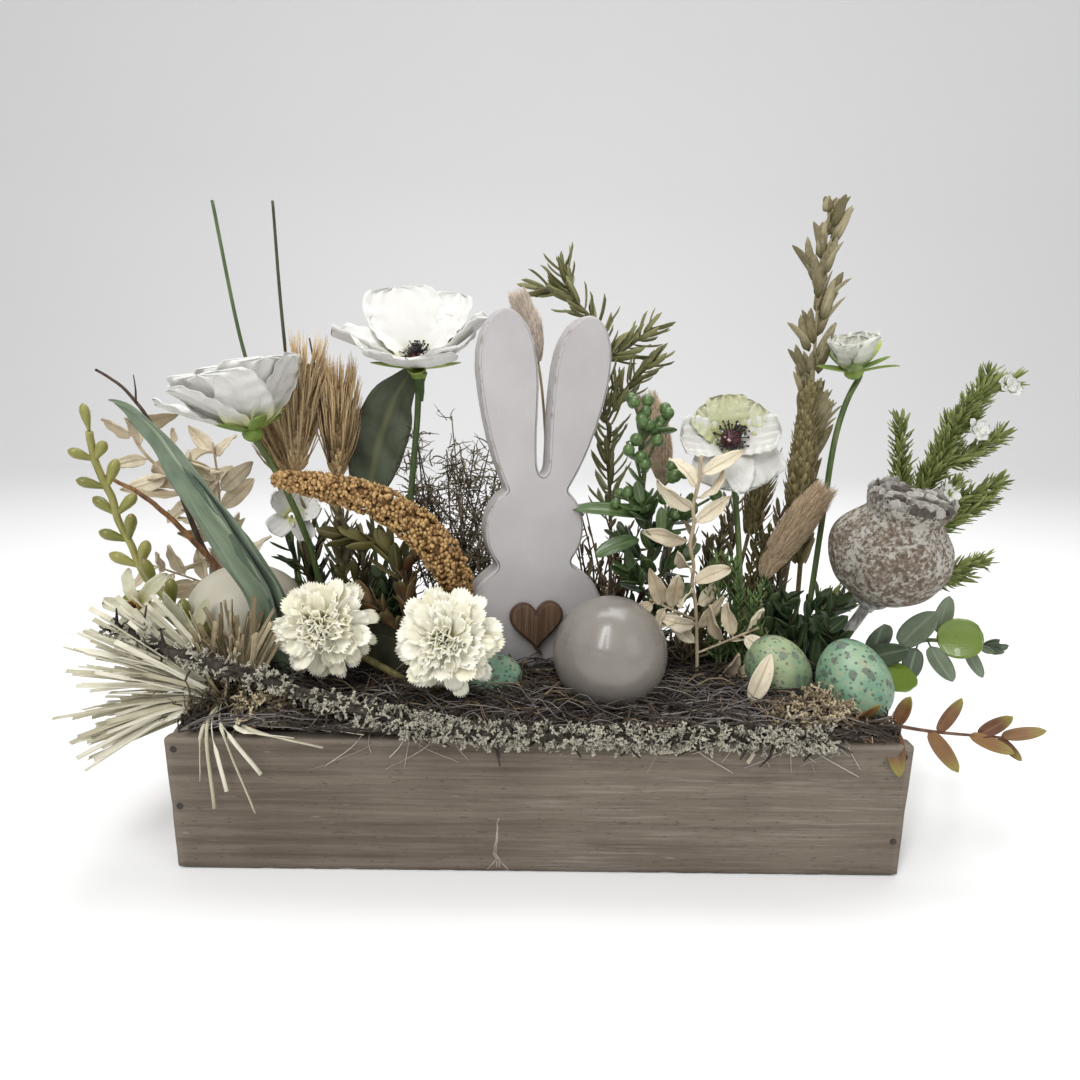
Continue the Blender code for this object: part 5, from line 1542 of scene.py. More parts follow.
def build_oats():
    """Tall plait of dried oat spikelets, loose at the top and tight lower down."""
    rng = np.random.default_rng(56)
    look = grain_material("oat_look", (0.150, 0.125, 0.060), (0.36, 0.315, 0.19), 0.65, 0.45,
                          base=(0.10, 0.085, 0.03))
    tight = grain_material("oat_braid_look", (0.095, 0.074, 0.027), (0.25, 0.205, 0.10), 0.68, 0.45)
    route = ear_route("oat_panicle")
    stalk, spine = last_stretch(route, 160 * MM)
    batch = Batch()
    batch.tube(spine, 0.9 * MM, 6)
    for k in range(34):
        share = k / 34
        spot, heading = at(spine, min(share + 0.02, 0.985))
        turn = rng.choice((0, 0, math.pi)) + rng.normal(0, 0.6)
        outward = unit(np.array((math.cos(turn), -0.5 * abs(math.sin(turn)), 0.0)))
        lean = rng.uniform(0.12, 0.62)
        direction = unit(heading + outward * lean)
        length = rng.uniform(21, 29) * MM * (1.0 if share < 0.8 else 0.8)
        spare_height = (CAD_HIGH[2] + 3 * MM - spot[2]) / max(direction[2], 0.1)
        length = min(length, spare_height)
        root = spot + outward * rng.uniform(0, 4) * MM
        normal = unit(outward * 0.5 + FORWARD * 0.8)
        for side in (-1, 1):
            twist = np.cross(direction, normal) * side
            batch.leaf(root, direction + twist * 0.12, normal + twist * 0.9, rng.random(), length=length,
                       width=6.6 * MM, rows=10, columns=7, belly=0.36, fullness=0.95, cup=-0.55,
                       bend=rng.normal(0, 0.2), twist=side * 0.2)
    piece(batch.build("oat_spikelets", look, 0.3 * MM), "dried_grain", "oat_panicle")
    batch = Batch()
    body = resample(stalk, 50)
    batch.tube(body, 1.6 * MM, 7)
    high_part = np.concatenate((body[body[:, 2] > body[0][2] + 60 * MM], spine[1:16]))
    for k in range(38):
        share = k / 38
        spot, heading = at(high_part, share)
        for side in (-1, 1):
            for depth in (-1, 0, 1):
                outward = unit(np.array((side, 0.7 * depth, 0.0)))
                direction = unit(heading + outward * rng.uniform(0.22, 0.40))
                batch.leaf(spot + outward * (3.5 - 2 * abs(depth)) * MM, direction,
                           outward * 0.5 + FORWARD * 0.6, rng.random(), length=rng.uniform(16, 21) * MM,
                           width=6.6 * MM, rows=9, columns=5, belly=0.38, cup=-0.55,
                           bend=rng.normal(-0.25, 0.15))
    piece(batch.build("oat_braid", tight, 0.3 * MM), "dried_grain")


def build_millet():
    """Hanging spike set with knots of small round grains."""
    rng = np.random.default_rng(57)
    look = Shade("millet_look", 0.6, 0.35)
    _, _, tint = look.data()
    soft = look.noise(900.0, 3.0)
    mixed = look.total((tint, 0.7), (soft, 0.6))
    look.colour(look.mix(look.spread(mixed, 0.35, 1.0), (0.200, 0.105, 0.034), (0.52, 0.335, 0.140)))
    look.bump(soft, 0.4, 0.2 * MM)
    route = ear_route("millet_spike", 12 * MM)
    stalk, spine = last_stretch(route, 138 * MM)
    batch = Batch()
    batch.tube(spine, np.linspace(6.4, 3.4, len(spine)) * MM, 12, 0.0)
    for k in range(400):
        share = (k + rng.random()) / 400
        turn = k * round(GOLDEN_TURN, 5) + rng.normal(0, 0.25)
        spot, _, outward = outward_at(spine, min(share, 0.995), turn)
        swell = 1.42 - 0.66 * share
        shape = math.sin(math.pi * min(max(share * 0.90 + 0.10, 0.0), 1.0)) ** 0.35 * swell
        knot = spot + outward * 6.6 * MM * shape
        knot_size = rng.uniform(2.3, 3.5) * MM * (0.75 + 0.25 * shape)
        for _ in range(9):
            way = unit(rng.normal(0, 1, 3) + outward * 0.9)
            grain = rng.uniform(0.95, 1.3) * MM
            batch.blob(knot + way * knot_size, (grain, grain, grain * 1.1), None, 1, rng.random())
    piece(batch.build("millet_grains", look.material), "golden_millet", "millet_spike")
    bristles = Batch()
    for _ in range(420):
        share = rng.random()
        spot, heading = at(spine, share)
        outward = unit(rng.normal(0, 1, 3))
        outward = unit(outward - heading * (outward @ heading))
        start = spot + outward * 7 * MM
        bristles.tube([start, start + unit(outward + heading * 0.6) * rng.uniform(3, 5) * MM],
                      (0.14 * MM, 0.05 * MM), 3, rng.random())
    piece(bristles.build("millet_bristles", look.material), "golden_millet")
    stems = Batch()
    stems.tube(resample(stalk, 30), 1.6 * MM, 8)
    stalk_look = stem_material("millet_stalk_look", (0.16, 0.12, 0.05), (0.30, 0.23, 0.11), 0.6)
    piece(stems.build("millet_stalk", stalk_look), "golden_millet")


def build_bunny_tails():
    """Soft oval heads of fine hairs that lie along the head and flare at its tip."""
    stalk_look = stem_material("tail_stalk_look", (0.24, 0.19, 0.09), (0.42, 0.34, 0.20), 0.6)
    for name, length, fat, dark, light, seed in (
            ("bunny_tail_back", 40, 8.0, (0.42, 0.34, 0.27), (0.70, 0.60, 0.50), 61),
            ("bunny_tail_centre", 58, 12.0, (0.38, 0.27, 0.17), (0.66, 0.52, 0.37), 62),
            ("bunny_tail_right", 68, 12.5, (0.27, 0.185, 0.100), (0.60, 0.465, 0.305), 63)):
        rng = np.random.default_rng(seed)
        route = ear_route(name, 13 * MM)
        stalk, spine = last_stretch(route, length * MM)
        core = Batch()
        outline = np.sin(math.pi * (0.06 + 0.86 * np.linspace(0.0, 1.0, 30))) ** 0.55
        core.tube(resample(spine, 30), fat * 0.66 * MM * outline, 18, 0.25)
        look = leaf_material(name + "_look", dark, light, 0.75, grain=350.0, specular=0.2,
                             Sheen_Weight=0.3)
        for _ in range(4200):
            share = rng.random()
            spot, heading, outward = outward_at(spine, share * 0.93, rng.uniform(0, 2 * math.pi))
            shape = math.sin(math.pi * (0.06 + 0.86 * share)) ** 0.55
            start = spot + outward * fat * 0.58 * shape * MM
            size = rng.uniform(6, 11) * MM
            slope = 0.26 + 0.2 * rng.random()
            middle = start + unit(heading + outward * slope * 1.2) * size * 0.5
            end = middle + unit(heading + outward * slope * 0.5 + rng.normal(0, 0.07, 3)) * size * 0.5
            core.tube([start, middle, end], (0.2 * MM, 0.16 * MM, 0.05 * MM), 3, rng.random())
        piece(core.build(name + "_hairs", look), "soft_grass_heads", name)
        stems = Batch()
        stems.tube(resample(stalk, 24), 0.9 * MM, 7)
        piece(stems.build(name + "_stalk", stalk_look), "soft_grass_heads")


# Leaves and sprays --------------------------------------------------------------------------------

def spiral_leaves(batch, rng, route, start, count, length, width, lean, taper=0.3, **shape):
    """Leaves all round a route, as on rosemary or boxwood."""
    for k in range(count):
        share = start + (1 - start) * k / count
        spot, heading, outward = outward_at(route, share, GOLDEN_TURN * k + rng.normal(0, 0.3))
        angle = lean + rng.normal(0, 0.16)
        direction = swing(heading, outward, angle)
        normal = heading * math.sin(angle) - outward * math.cos(angle)
        size = (1 - taper * k / count) * rng.uniform(0.85, 1.12)
        batch.leaf(spot, direction, normal, rng.random(), length=length * size, width=width * size, **shape)


def loose_leaves(batch, rng, route, start, count, length, width):
    """Curled dry leaves set alternately, each turned its own way."""
    for k in range(count):
        share = start + (0.99 - start) * (k + rng.uniform(-0.3, 0.3)) / count
        spot, heading = at(route, min(max(share, 0.0), 0.99))
        side = unit(np.cross(heading, FORWARD)) * (1 if k % 2 else -1)
        direction = unit(heading * rng.uniform(0.2, 1.0) + side * rng.uniform(0.6, 1.1)
                         + FORWARD * rng.normal(0.1, 0.45))
        normal = FORWARD + rng.normal(0, 0.7, 3)
        size = rng.uniform(0.75, 1.2) * (1 - 0.2 * share)
        batch.tube([spot, spot + direction * 2 * MM], 0.5 * MM, 5, rng.random())
        batch.leaf(spot + direction * 2 * MM, direction, normal, rng.random(), length=length * size,
                   width=width * size, rows=15, columns=9, belly=rng.uniform(0.34, 0.44), fullness=1.35,
                   cup=rng.uniform(0.0, 0.7), bend=rng.normal(0, 0.8), twist=rng.normal(0, 0.8),
                   ruffle=1.0 * MM, waves=2.5, phase=rng.uniform(0, 6))


def side_twig(stems, main, share, way, length, radius=0.8 * MM, per_span=8, shift=0.0):
    """Straight twig off the main stem; length in millimetres. Returns its route."""
    spot, _ = at(main, share)
    twig = curve_through([spot, spot + unit(way) * length * 0.5 * MM,
                          spot + unit(way) * length * MM + shift], per_span)
    stems.tube(twig, radius, 6)
    return twig


def build_lance_leaf():
    """Long folded leaf at the left: three layers of blue-green fabric."""
    lance = leaf_material("lance_look", (0.066, 0.100, 0.064), (0.175, 0.225, 0.150), 0.7,
                          vein=(0.34, 0.39, 0.27), streaks=0.35, grain=90.0, Sheen_Weight=0.15)
    fine = smooth_route("lance_leaf", 20 * MM)
    batch = Batch()
    for shift, scale, tint, lean in ((0.0, 1.0, 0.6, 0.0), (5.0, 0.8, 0.2, 0.5), (-4.0, 0.7, 0.85, -0.6)):
        widths = 13.0 * MM * scale * np.sin(math.pi * np.clip(np.linspace(0.12, 1, 60), 0, 1)) ** 0.75
        last = 60 if scale == 1.0 else 46
        columns = 9
        grid = np.zeros((last, columns, 3))
        for i in range(last):
            spot, heading = at(fine, i / 59)
            side = unit(np.cross(heading, FORWARD) + FORWARD * (0.35 + lean))
            normal = np.cross(side, heading)
            size = widths[int(i * 59 / (last - 1))]
            for j, s in enumerate(np.linspace(-1, 1, columns)):
                fold = 0.45 * size * abs(s)
                wave = 0.8 * MM * math.sin(i * 0.5 + j + shift)
                grid[i, j] = spot + side * s * size + normal * (fold + wave + shift * 0.4 * MM)
                grid[i, j, 0] += shift * MM * (i / last)
        batch.sheet(grid, tint)
    piece(batch.build("lance_leaf_layers", lance, 0.35 * MM), "blue_green_leaf", "lance_leaf")


def build_broad_leaf():
    """Broad dark leaf on a stalk behind the wheat."""
    broad = leaf_material("broad_look", (0.046, 0.057, 0.032), (0.118, 0.140, 0.090), 0.5,
                          vein=(0.15, 0.16, 0.075), streaks=0.4, grain=80.0)
    batch = Batch()
    stalk, blade = last_stretch(smooth_route("broad_leaf", 26 * MM), 105 * MM)
    batch.tube(stalk, 1.3 * MM, 8, 0.5)
    rows = len(blade)
    grid = np.zeros((rows, 13, 3))
    for i in range(rows):
        share = i / (rows - 1)
        spot, heading = at(blade, min(share, 0.999))
        side = unit(np.cross(heading, FORWARD))
        size = 19 * MM * (math.sin(math.pi * min(0.06 + share * 0.94, 1.0)) ** 0.8)
        for j, s in enumerate(np.linspace(-1, 1, 13)):
            cup = 0.25 * size * abs(s)
            grid[i, j] = spot + side * s * size + FORWARD * (cup + 0.9 * MM * math.sin(i * 0.4 + s * 3))
    batch.sheet(grid, 0.5)
    piece(batch.build("broad_leaf_blade", broad, 0.4 * MM), "dark_leaf", "broad_leaf")


def build_oval_leaves():
    """Dark oval leaf near the carnation, with a few more round it."""
    oval = leaf_material("oval_look", (0.020, 0.022, 0.010), (0.055, 0.058, 0.030), 0.7,
                         vein=(0.065, 0.07, 0.035), streaks=0.3, grain=90.0)
    low, high = corners("dark_oval_leaf")
    foot = np.array(((low[0] + high[0]) / 2 + 4 * MM, (low[1] + high[1]) / 2, BED_START - 2 * MM))
    batch = Batch()
    batch.leaf(foot, (-0.12, -0.02, 1), FORWARD, 0.5, length=high[2] - foot[2],
               width=(high[0] - low[0]) * 1.02, rows=22, columns=15, belly=0.5, fullness=0.9, cup=-0.18,
               bend=0.15)
    batch.leaf(foot + mm(16, -14, -1), (0.75, -0.5, 0.25), UP, 0.9, length=34 * MM,
               width=13 * MM, rows=12, columns=9, cup=0.2, bend=0.3)
    batch.leaf(foot + mm(8, 6, 0), (0.5, 0.3, 0.8), FORWARD, 0.2, length=38 * MM,
               width=22 * MM, rows=12, columns=9, cup=-0.2, bend=-0.3)
    batch.leaf(foot + mm(10, -10, 0), (-0.28, 0.25, 1), (0, -1, 0.2), 0.5, length=54 * MM,
               width=40 * MM, rows=20, columns=15, belly=0.5, fullness=0.75, cup=-0.15, bend=0.2)
    piece(batch.build("dark_oval_leaves", oval, 0.4 * MM), "dark_leaf", "dark_oval_leaf")


def build_grass_and_twigs():
    grass = stem_material("grass_look", (0.050, 0.085, 0.025), (0.110, 0.150, 0.060), 0.5)
    dark_grass = stem_material("dark_grass_look", (0.018, 0.025, 0.010), (0.055, 0.068, 0.030), 0.5)
    bark = stem_material("arch_bark", (0.022, 0.014, 0.009), (0.085, 0.050, 0.030), 0.7)
    orange = stem_material("orange_bark", (0.075, 0.028, 0.009), (0.24, 0.115, 0.035), 0.65)
    batch = Batch()
    fine = smooth_route("grass_stem_left", 5 * MM)
    batch.tube(fine, np.linspace(1.6, 1.1, 60) * MM, 8)
    piece(batch.build("grass_stem_light", grass), "green_stem", "grass_stem_left")
    batch = Batch()
    top = fine[-1]
    foot = fine[0]
    second = curve_through([foot + mm(12, -14, 0), foot + mm(8, -16, 70),
                            foot + mm(0, -12, 210),
                            np.array((foot[0] - 2 * MM, foot[1] - 10 * MM, top[2] - 2 * MM))], 16)
    batch.tube(second, np.linspace(1.5, 0.9, len(second)) * MM, 8)
    piece(batch.build("grass_stem_dark", dark_grass), "green_stem")
    rng = np.random.default_rng(73)
    batch = Batch()
    fine = smooth_route("arching_twig", 5 * MM)
    wave = np.cumsum(rng.normal(0, 0.12, (60, 3)), axis=0) * MM
    batch.tube(fine + wave, np.linspace(2.6, 0.9, 60) * MM, 9)
    for share, way, length in ((0.72, (-0.6, 0, 0.8), 26), (0.86, (0.2, -0.3, 1), 18),
                               (0.5, (0.3, -0.2, 0.9), 20)):
        spot, _ = at(fine, share)
        tip = spot + unit(way) * length * MM
        batch.tube(curve_through([spot, (spot + tip) / 2 + rng.normal(0, 1, 3) * MM, tip]),
                   np.linspace(0.8, 0.3, 13) * MM, 5)
    piece(batch.build("arching_twig_dark", bark), "dry_twigs", "arching_twig")
    batch = Batch()
    base = fine[0]
    low_arch = curve_through([base + mm(-6, -4, 0), base + mm(-40, -6, 58),
                              base + mm(-78, -8, 102), base + mm(-109, -8, 121)], 14)
    batch.tube(low_arch + np.cumsum(rng.normal(0, 0.12, (len(low_arch), 3)), 0) * MM,
               np.linspace(2.5, 1.2, len(low_arch)) * MM, 9)
    piece(batch.build("arching_twig_orange", orange), "dry_twigs")
    batch = Batch()
    tip = mm(-143, 30, 292)
    batch.tube(curve_through([(-136 * MM, 34 * MM, 215 * MM), (-140 * MM, 32 * MM, 262 * MM), tip], 10),
               np.linspace(1.0, 0.5, 21) * MM, 5)
    piece(batch.build("thin_twig", bark), "dry_twigs")


def sprig_route(node, reach=5 * MM):
    route = follow(node, reach, 4 * MM)
    return smoothed(resample(route, max(len(route) * 2, 12)), 4)


def build_rosemary_right(stem_look, fresh):
    """Dense needle-leaved branches behind the pod, with a few small white flowers."""
    rng = np.random.default_rng(75)
    main = sprig_route("rosemary_right")
    needles, stems = Batch(), Batch()
    stems.tube(main, 1.3 * MM, 7)
    shape = dict(rows=5, columns=3, belly=0.5, fullness=0.45, fold=-0.45, bend=0.2)
    high = main[main[:, 2] > main[0][2] + 30 * MM]
    spiral_leaves(needles, rng, high, 0.0, 400, 16 * MM, 2.6 * MM, 0.80, 0.25, **shape)
    reach_limit = CAD_HIGH[0] + 2 * MM
    for share, way, length in ((0.30, (1.0, -0.05, 0.28), 78), (0.34, (1.0, 0.05, 0.05), 62),
                               (0.45, (0.9, -0.1, 0.55), 66), (0.55, (1.0, -0.05, 0.40), 60),
                               (0.62, (0.30, -0.1, 1.0), 62), (0.70, (1.0, 0.0, 0.55), 44),
                               (0.50, (-0.10, 0.1, 1.0), 74), (0.80, (0.45, 0.05, 1.0), 42),
                               (0.40, (0.55, -0.15, 0.85), 66), (0.48, (0.35, 0.1, 1.0), 84)):
        spot, _ = at(main, share)
        way = unit(way)
        end = spot + way * length * MM
        end[0] = min(end[0], reach_limit - 8 * MM)
        end[2] = min(end[2], CAD_HIGH[2] - 96 * MM)
        branch = curve_through([spot, (spot + end) / 2 + UP * -3 * MM, end], 10)
        stems.tube(branch, 0.8 * MM, 6)
        count = int(np.linalg.norm(branch[-1] - branch[0]) / (0.36 * MM))
        spiral_leaves(needles, rng, branch, 0.10, count, 14 * MM, 2.4 * MM, 0.80, 0.3, **shape)
    piece(needles.build("rosemary_right_needles", fresh, 0.35 * MM), "green_sprays", "rosemary_right")
    piece(stems.build("rosemary_right_stems", stem_look), "olive_stem")
    flowers = Batch()
    for share in (0.62, 0.8, 0.93, 0.4):
        spot = at(main, share)[0] + mm(8, -12, 2)
        for _ in range(2):
            place = spot + rng.normal(0, 2, 3) * MM
            petal_ring(flowers, rng, place, unit((0.2, -1, 0.4)), 5, 7 * MM, 5.5 * MM, 0.4,
                       rng.uniform(0, 6), 0.5 * MM, 0.2, rows=6, columns=5, belly=0.6, cup=0.3,
                       ruffle=0.3 * MM)
    white = silk_material("small_white_look", (0.66, 0.66, 0.62), (0.80, 0.80, 0.76), (0.40, 0.44, 0.18))
    piece(flowers.build("rosemary_small_flowers", white, 0.3 * MM), "white_petals")


def build_rosemary():
    stem_look = stem_material("rosemary_stem", (0.085, 0.070, 0.032), (0.165, 0.140, 0.075), 0.6)
    olive = leaf_material("rosemary_olive", (0.105, 0.112, 0.036), (0.245, 0.240, 0.105), 0.6,
                          vein=(0.30, 0.29, 0.16), grain=120.0)
    fresh = leaf_material("rosemary_fresh", (0.105, 0.140, 0.030), (0.255, 0.290, 0.090), 0.6,
                          vein=(0.30, 0.33, 0.14), grain=120.0)
    rng = np.random.default_rng(74)
    main = sprig_route("rosemary_back")
    needles, stems = Batch(), Batch()
    high = main[main[:, 2] > main[0][2] + 90 * MM]
    stems.tube(main, 1.3 * MM, 7)
    shape = dict(rows=7, columns=3, belly=0.5, fullness=0.45, fold=-0.45, bend=0.35)
    spiral_leaves(needles, rng, high, 0.0, 84, 23 * MM, 4.0 * MM, 0.80, 0.2, **shape)
    knee, _ = at(high, 0.38)
    second, _ = at(high, 0.60)
    third, _ = at(high, 0.82)
    for points, count in (([knee, knee + mm(12, -2, 22), knee + mm(30, -4, 40)], 34),
                          ([second, second + mm(16, 2, 8), second + mm(34, 3, 22)], 28),
                          ([third, third + mm(-8, 2, 12), third + mm(-10, 3, 26)], 20)):
        branch = curve_through(points, 10)
        stems.tube(branch, 0.9 * MM, 6)
        spiral_leaves(needles, rng, branch, 0.1, count, 21 * MM, 3.8 * MM, 0.75, 0.25, **shape)
    piece(needles.build("rosemary_back_needles", olive, 0.4 * MM), "green_sprays", "rosemary_back")
    piece(stems.build("rosemary_back_stems", stem_look), "olive_stem")
    build_rosemary_right(stem_look, fresh)


def build_fleshy_sprig():
    """Yellow-green sprig with club-shaped leaves at the far left."""
    rng = np.random.default_rng(80)
    look = Shade("fleshy_look", 0.38, 0.45, Coat_Weight=0.15)
    _, along, tint = look.data()
    mixed = look.total((tint, 0.5), (look.noise(90.0, 3.0), 0.6))
    colour = look.mix(look.spread(mixed, 0.3, 0.9), (0.160, 0.165, 0.030), (0.33, 0.31, 0.085))
    colour = look.mix(look.spread(along, 0.72, 1.0, 0.0, 0.55), colour, (0.26, 0.16, 0.06))
    look.colour(colour)
    look.bump(look.noise(500.0, 3.0), 0.2, 0.3 * MM)
    main = sprig_route("succulent_sprig")
    batch, stems = Batch(), Batch()
    stems.tube(main, 2.1 * MM, 8)
    high = main[main[:, 2] > main[0][2] + 26 * MM]
    shares = np.array((0.0, 0.10, 0.28, 0.50, 0.70, 0.85, 0.94, 1.0))
    radii = np.array((1.1, 1.4, 2.3, 3.4, 3.9, 3.2, 2.0, 0.3))
    for k in range(9):
        spot, heading = at(high, k / 9)
        for side in (-1, 1):
            outward = unit(np.cross(heading, FORWARD) * side + FORWARD * rng.uniform(-0.3, 0.6))
            direction = unit(heading * rng.uniform(0.5, 0.9) + outward * rng.uniform(0.7, 1.0))
            length = rng.uniform(18, 24) * MM * (1 - 0.25 * k / 9)
            turned_shape(batch, spot, direction, shares * length, radii * MM * (1 - 0.2 * k / 9), 12, 0.08,
                         rng.uniform(1, 9), rng.random())
    turned_shape(batch, high[-1], unit((-0.1, 0, 1)), shares * 16 * MM, radii * 0.7 * MM, 12, 0.08, 3.0,
                 0.5)
    piece(batch.build("fleshy_leaves", look.material), "yellow_green_sprig", "succulent_sprig")
    fleshy_stem = stem_material("fleshy_stem_look", (0.20, 0.19, 0.05), (0.33, 0.30, 0.10), 0.45)
    piece(stems.build("fleshy_stem", fleshy_stem), "yellow_green_sprig")


def build_ruscus():
    """Bleached ruscus behind the fleshy sprig, and the same kind before the boxwood."""
    bleached = leaf_material("bleached_look", (0.44, 0.365, 0.25), (0.70, 0.63, 0.48), 0.7,
                             vein=(0.38, 0.30, 0.19), streaks=0.3, grain=120.0, spots=(0.34, 0.24, 0.14))
    stalks = stem_material("bleached_stem_look", (0.30, 0.23, 0.14), (0.52, 0.44, 0.31), 0.65)
    build_ruscus_left(bleached, stalks)
    build_ruscus_right(bleached, stalks)


def build_ruscus_left(bleached, stalks):
    rng = np.random.default_rng(76)
    main = rising_route("bleached_ruscus_left")
    batch, stems = Batch(), Batch()
    stems.tube(main, 1.1 * MM, 7)
    loose_leaves(batch, rng, main, 0.12, 20, 32 * MM, 12.5 * MM)
    for share, way, length in ((0.30, (-0.42, 0.1, 1.0), 96), (0.45, (0.05, 0.05, 0.9), 66),
                               (0.2, (-0.9, -0.3, 0.5), 66)):
        branch = side_twig(stems, main, share, way, length, shift=mm(-4, 0, 0))
        loose_leaves(batch, rng, branch, 0.25, 9, 30 * MM, 12 * MM)
    piece(batch.build("ruscus_left_leaves", bleached, 0.3 * MM), "bleached_leaves", "bleached_ruscus_left")
    piece(stems.build("ruscus_left_stems", stalks), "bleached_leaves")


def build_ruscus_right(bleached, stalks):
    rng = np.random.default_rng(77)
    main = sprig_route("bleached_ruscus_right")
    main = main[:int(len(main) * 0.86)]
    lean = np.linspace(0, 1, len(main))[:, None] ** 2 * np.array((-16, 0, 0)) * MM
    main = main + lean
    batch, stems = Batch(), Batch()
    stems.tube(main, 1.1 * MM, 7)
    loose_leaves(batch, rng, main, 0.18, 14, 28 * MM, 11 * MM)
    for share, way, length in ((0.15, (0.75, -0.2, 0.45), 40), (0.30, (-0.8, -0.2, 0.4), 34),
                               (0.05, (0.9, -0.4, 0.15), 44)):
        branch = side_twig(stems, main, share, way, length)
        loose_leaves(batch, rng, branch, 0.35, 5, 26 * MM, 10.5 * MM)
    # One leaf lies against the inner speckled egg.
    batch.leaf(mm(119, -51, 93), (0.38, 0.02, 1), (-0.2, -1, 0.1), 0.7, length=29 * MM,
               width=11 * MM, rows=14, columns=9, belly=0.42, fullness=1.3, cup=0.4, bend=-0.4)
    piece(batch.build("ruscus_right_leaves", bleached, 0.3 * MM), "bleached_leaves",
          "bleached_ruscus_right")
    piece(stems.build("ruscus_right_stems", stalks), "bleached_leaves")


def build_heather():
    """Airy curls of dry moss on stalks left of the rabbit, and thin budded twigs to its right."""
    rng = np.random.default_rng(79)
    tangle, flecks, twigs = Batch(), Batch(), Batch()
    low, high = corners("dry_heather")
    foot = foot_of("dry_heather")
    stalks = []
    for _ in range(34):
        end = np.array((rng.uniform(low[0] - 4 * MM, high[0] + 14 * MM), rng.uniform(34, 62) * MM,
                        rng.uniform(150, 246) * MM))
        bow = rng.normal(0, 7, 3) * MM
        route = curve_through([foot + rng.normal(0, 6, 3) * (1, 1, 0) * MM, (foot + end) / 2 + bow, end], 8)
        tangle.tube(route, np.linspace(1.0, 0.4, len(route)) * MM, 5, rng.random())
        stalks.append(route)
    for _ in range(1500):
        point, _ = at(stalks[rng.integers(0, len(stalks))], rng.uniform(0.30, 1.0) ** 0.8)
        point = point + rng.normal(0, 2.5, 3) * MM
        heading, route = unit(rng.normal(0, 1, 3)), [point]
        curl = rng.normal(0, 0.6, 3)
        for _ in range(6):
            heading = unit(heading + curl + rng.normal(0, 0.35, 3))
            route.append(route[-1] + heading * rng.uniform(1.6, 3.4) * MM)
        tangle.tube(np.array(route), rng.uniform(0.26, 0.6) * MM * np.array((0.6, 1, 1, 0.9, 0.8, 0.6, 0.3)),
                    3, rng.random())
        if rng.random() < 0.5:
            flecks.blob(route[rng.integers(1, 6)], rng.uniform(0.4, 1.1) * MM * np.ones(3), None, 1,
                        rng.random())
    dry = leaf_material("heather_look", (0.040, 0.030, 0.018), (0.24, 0.20, 0.135), 0.85, grain=200.0)
    fleck_look = leaf_material("heather_fleck_look", (0.075, 0.065, 0.035), (0.30, 0.265, 0.175), 0.85,
                               grain=300.0)
    piece(tangle.build("heather_tangle", dry), "dry_twigs", "dry_heather")
    piece(flecks.build("heather_flecks", fleck_look), "dry_twigs")
    for _ in range(34):
        base = mm(48 + rng.normal(0, 7), 38 + rng.normal(0, 5), 88)
        top = base + mm(rng.normal(-2, 24), rng.normal(0, 8), rng.uniform(40, 104))
        route = curve_through([base, (base + top) / 2 + rng.normal(0, 5, 3) * MM, top], 7)
        twigs.tube(route, np.linspace(0.9, 0.35, len(route)) * MM, 5, rng.random())
        for _ in range(9):
            spot, heading = at(route, rng.uniform(0.3, 1.0))
            way = unit(heading + rng.normal(0, 0.6, 3))
            twigs.leaf(spot, way, rng.normal(0, 1, 3), rng.random(), length=rng.uniform(6, 12) * MM,
                       width=rng.uniform(1.6, 3.0) * MM, rows=6, columns=3, cup=0.4,
                       bend=rng.normal(0, 0.6))
    twig_look = leaf_material("dry_twig_look", (0.070, 0.045, 0.028), (0.24, 0.18, 0.115), 0.8, grain=250.0)
    piece(twigs.build("dry_budded_twigs", twig_look, 0.3 * MM), "dry_twigs")


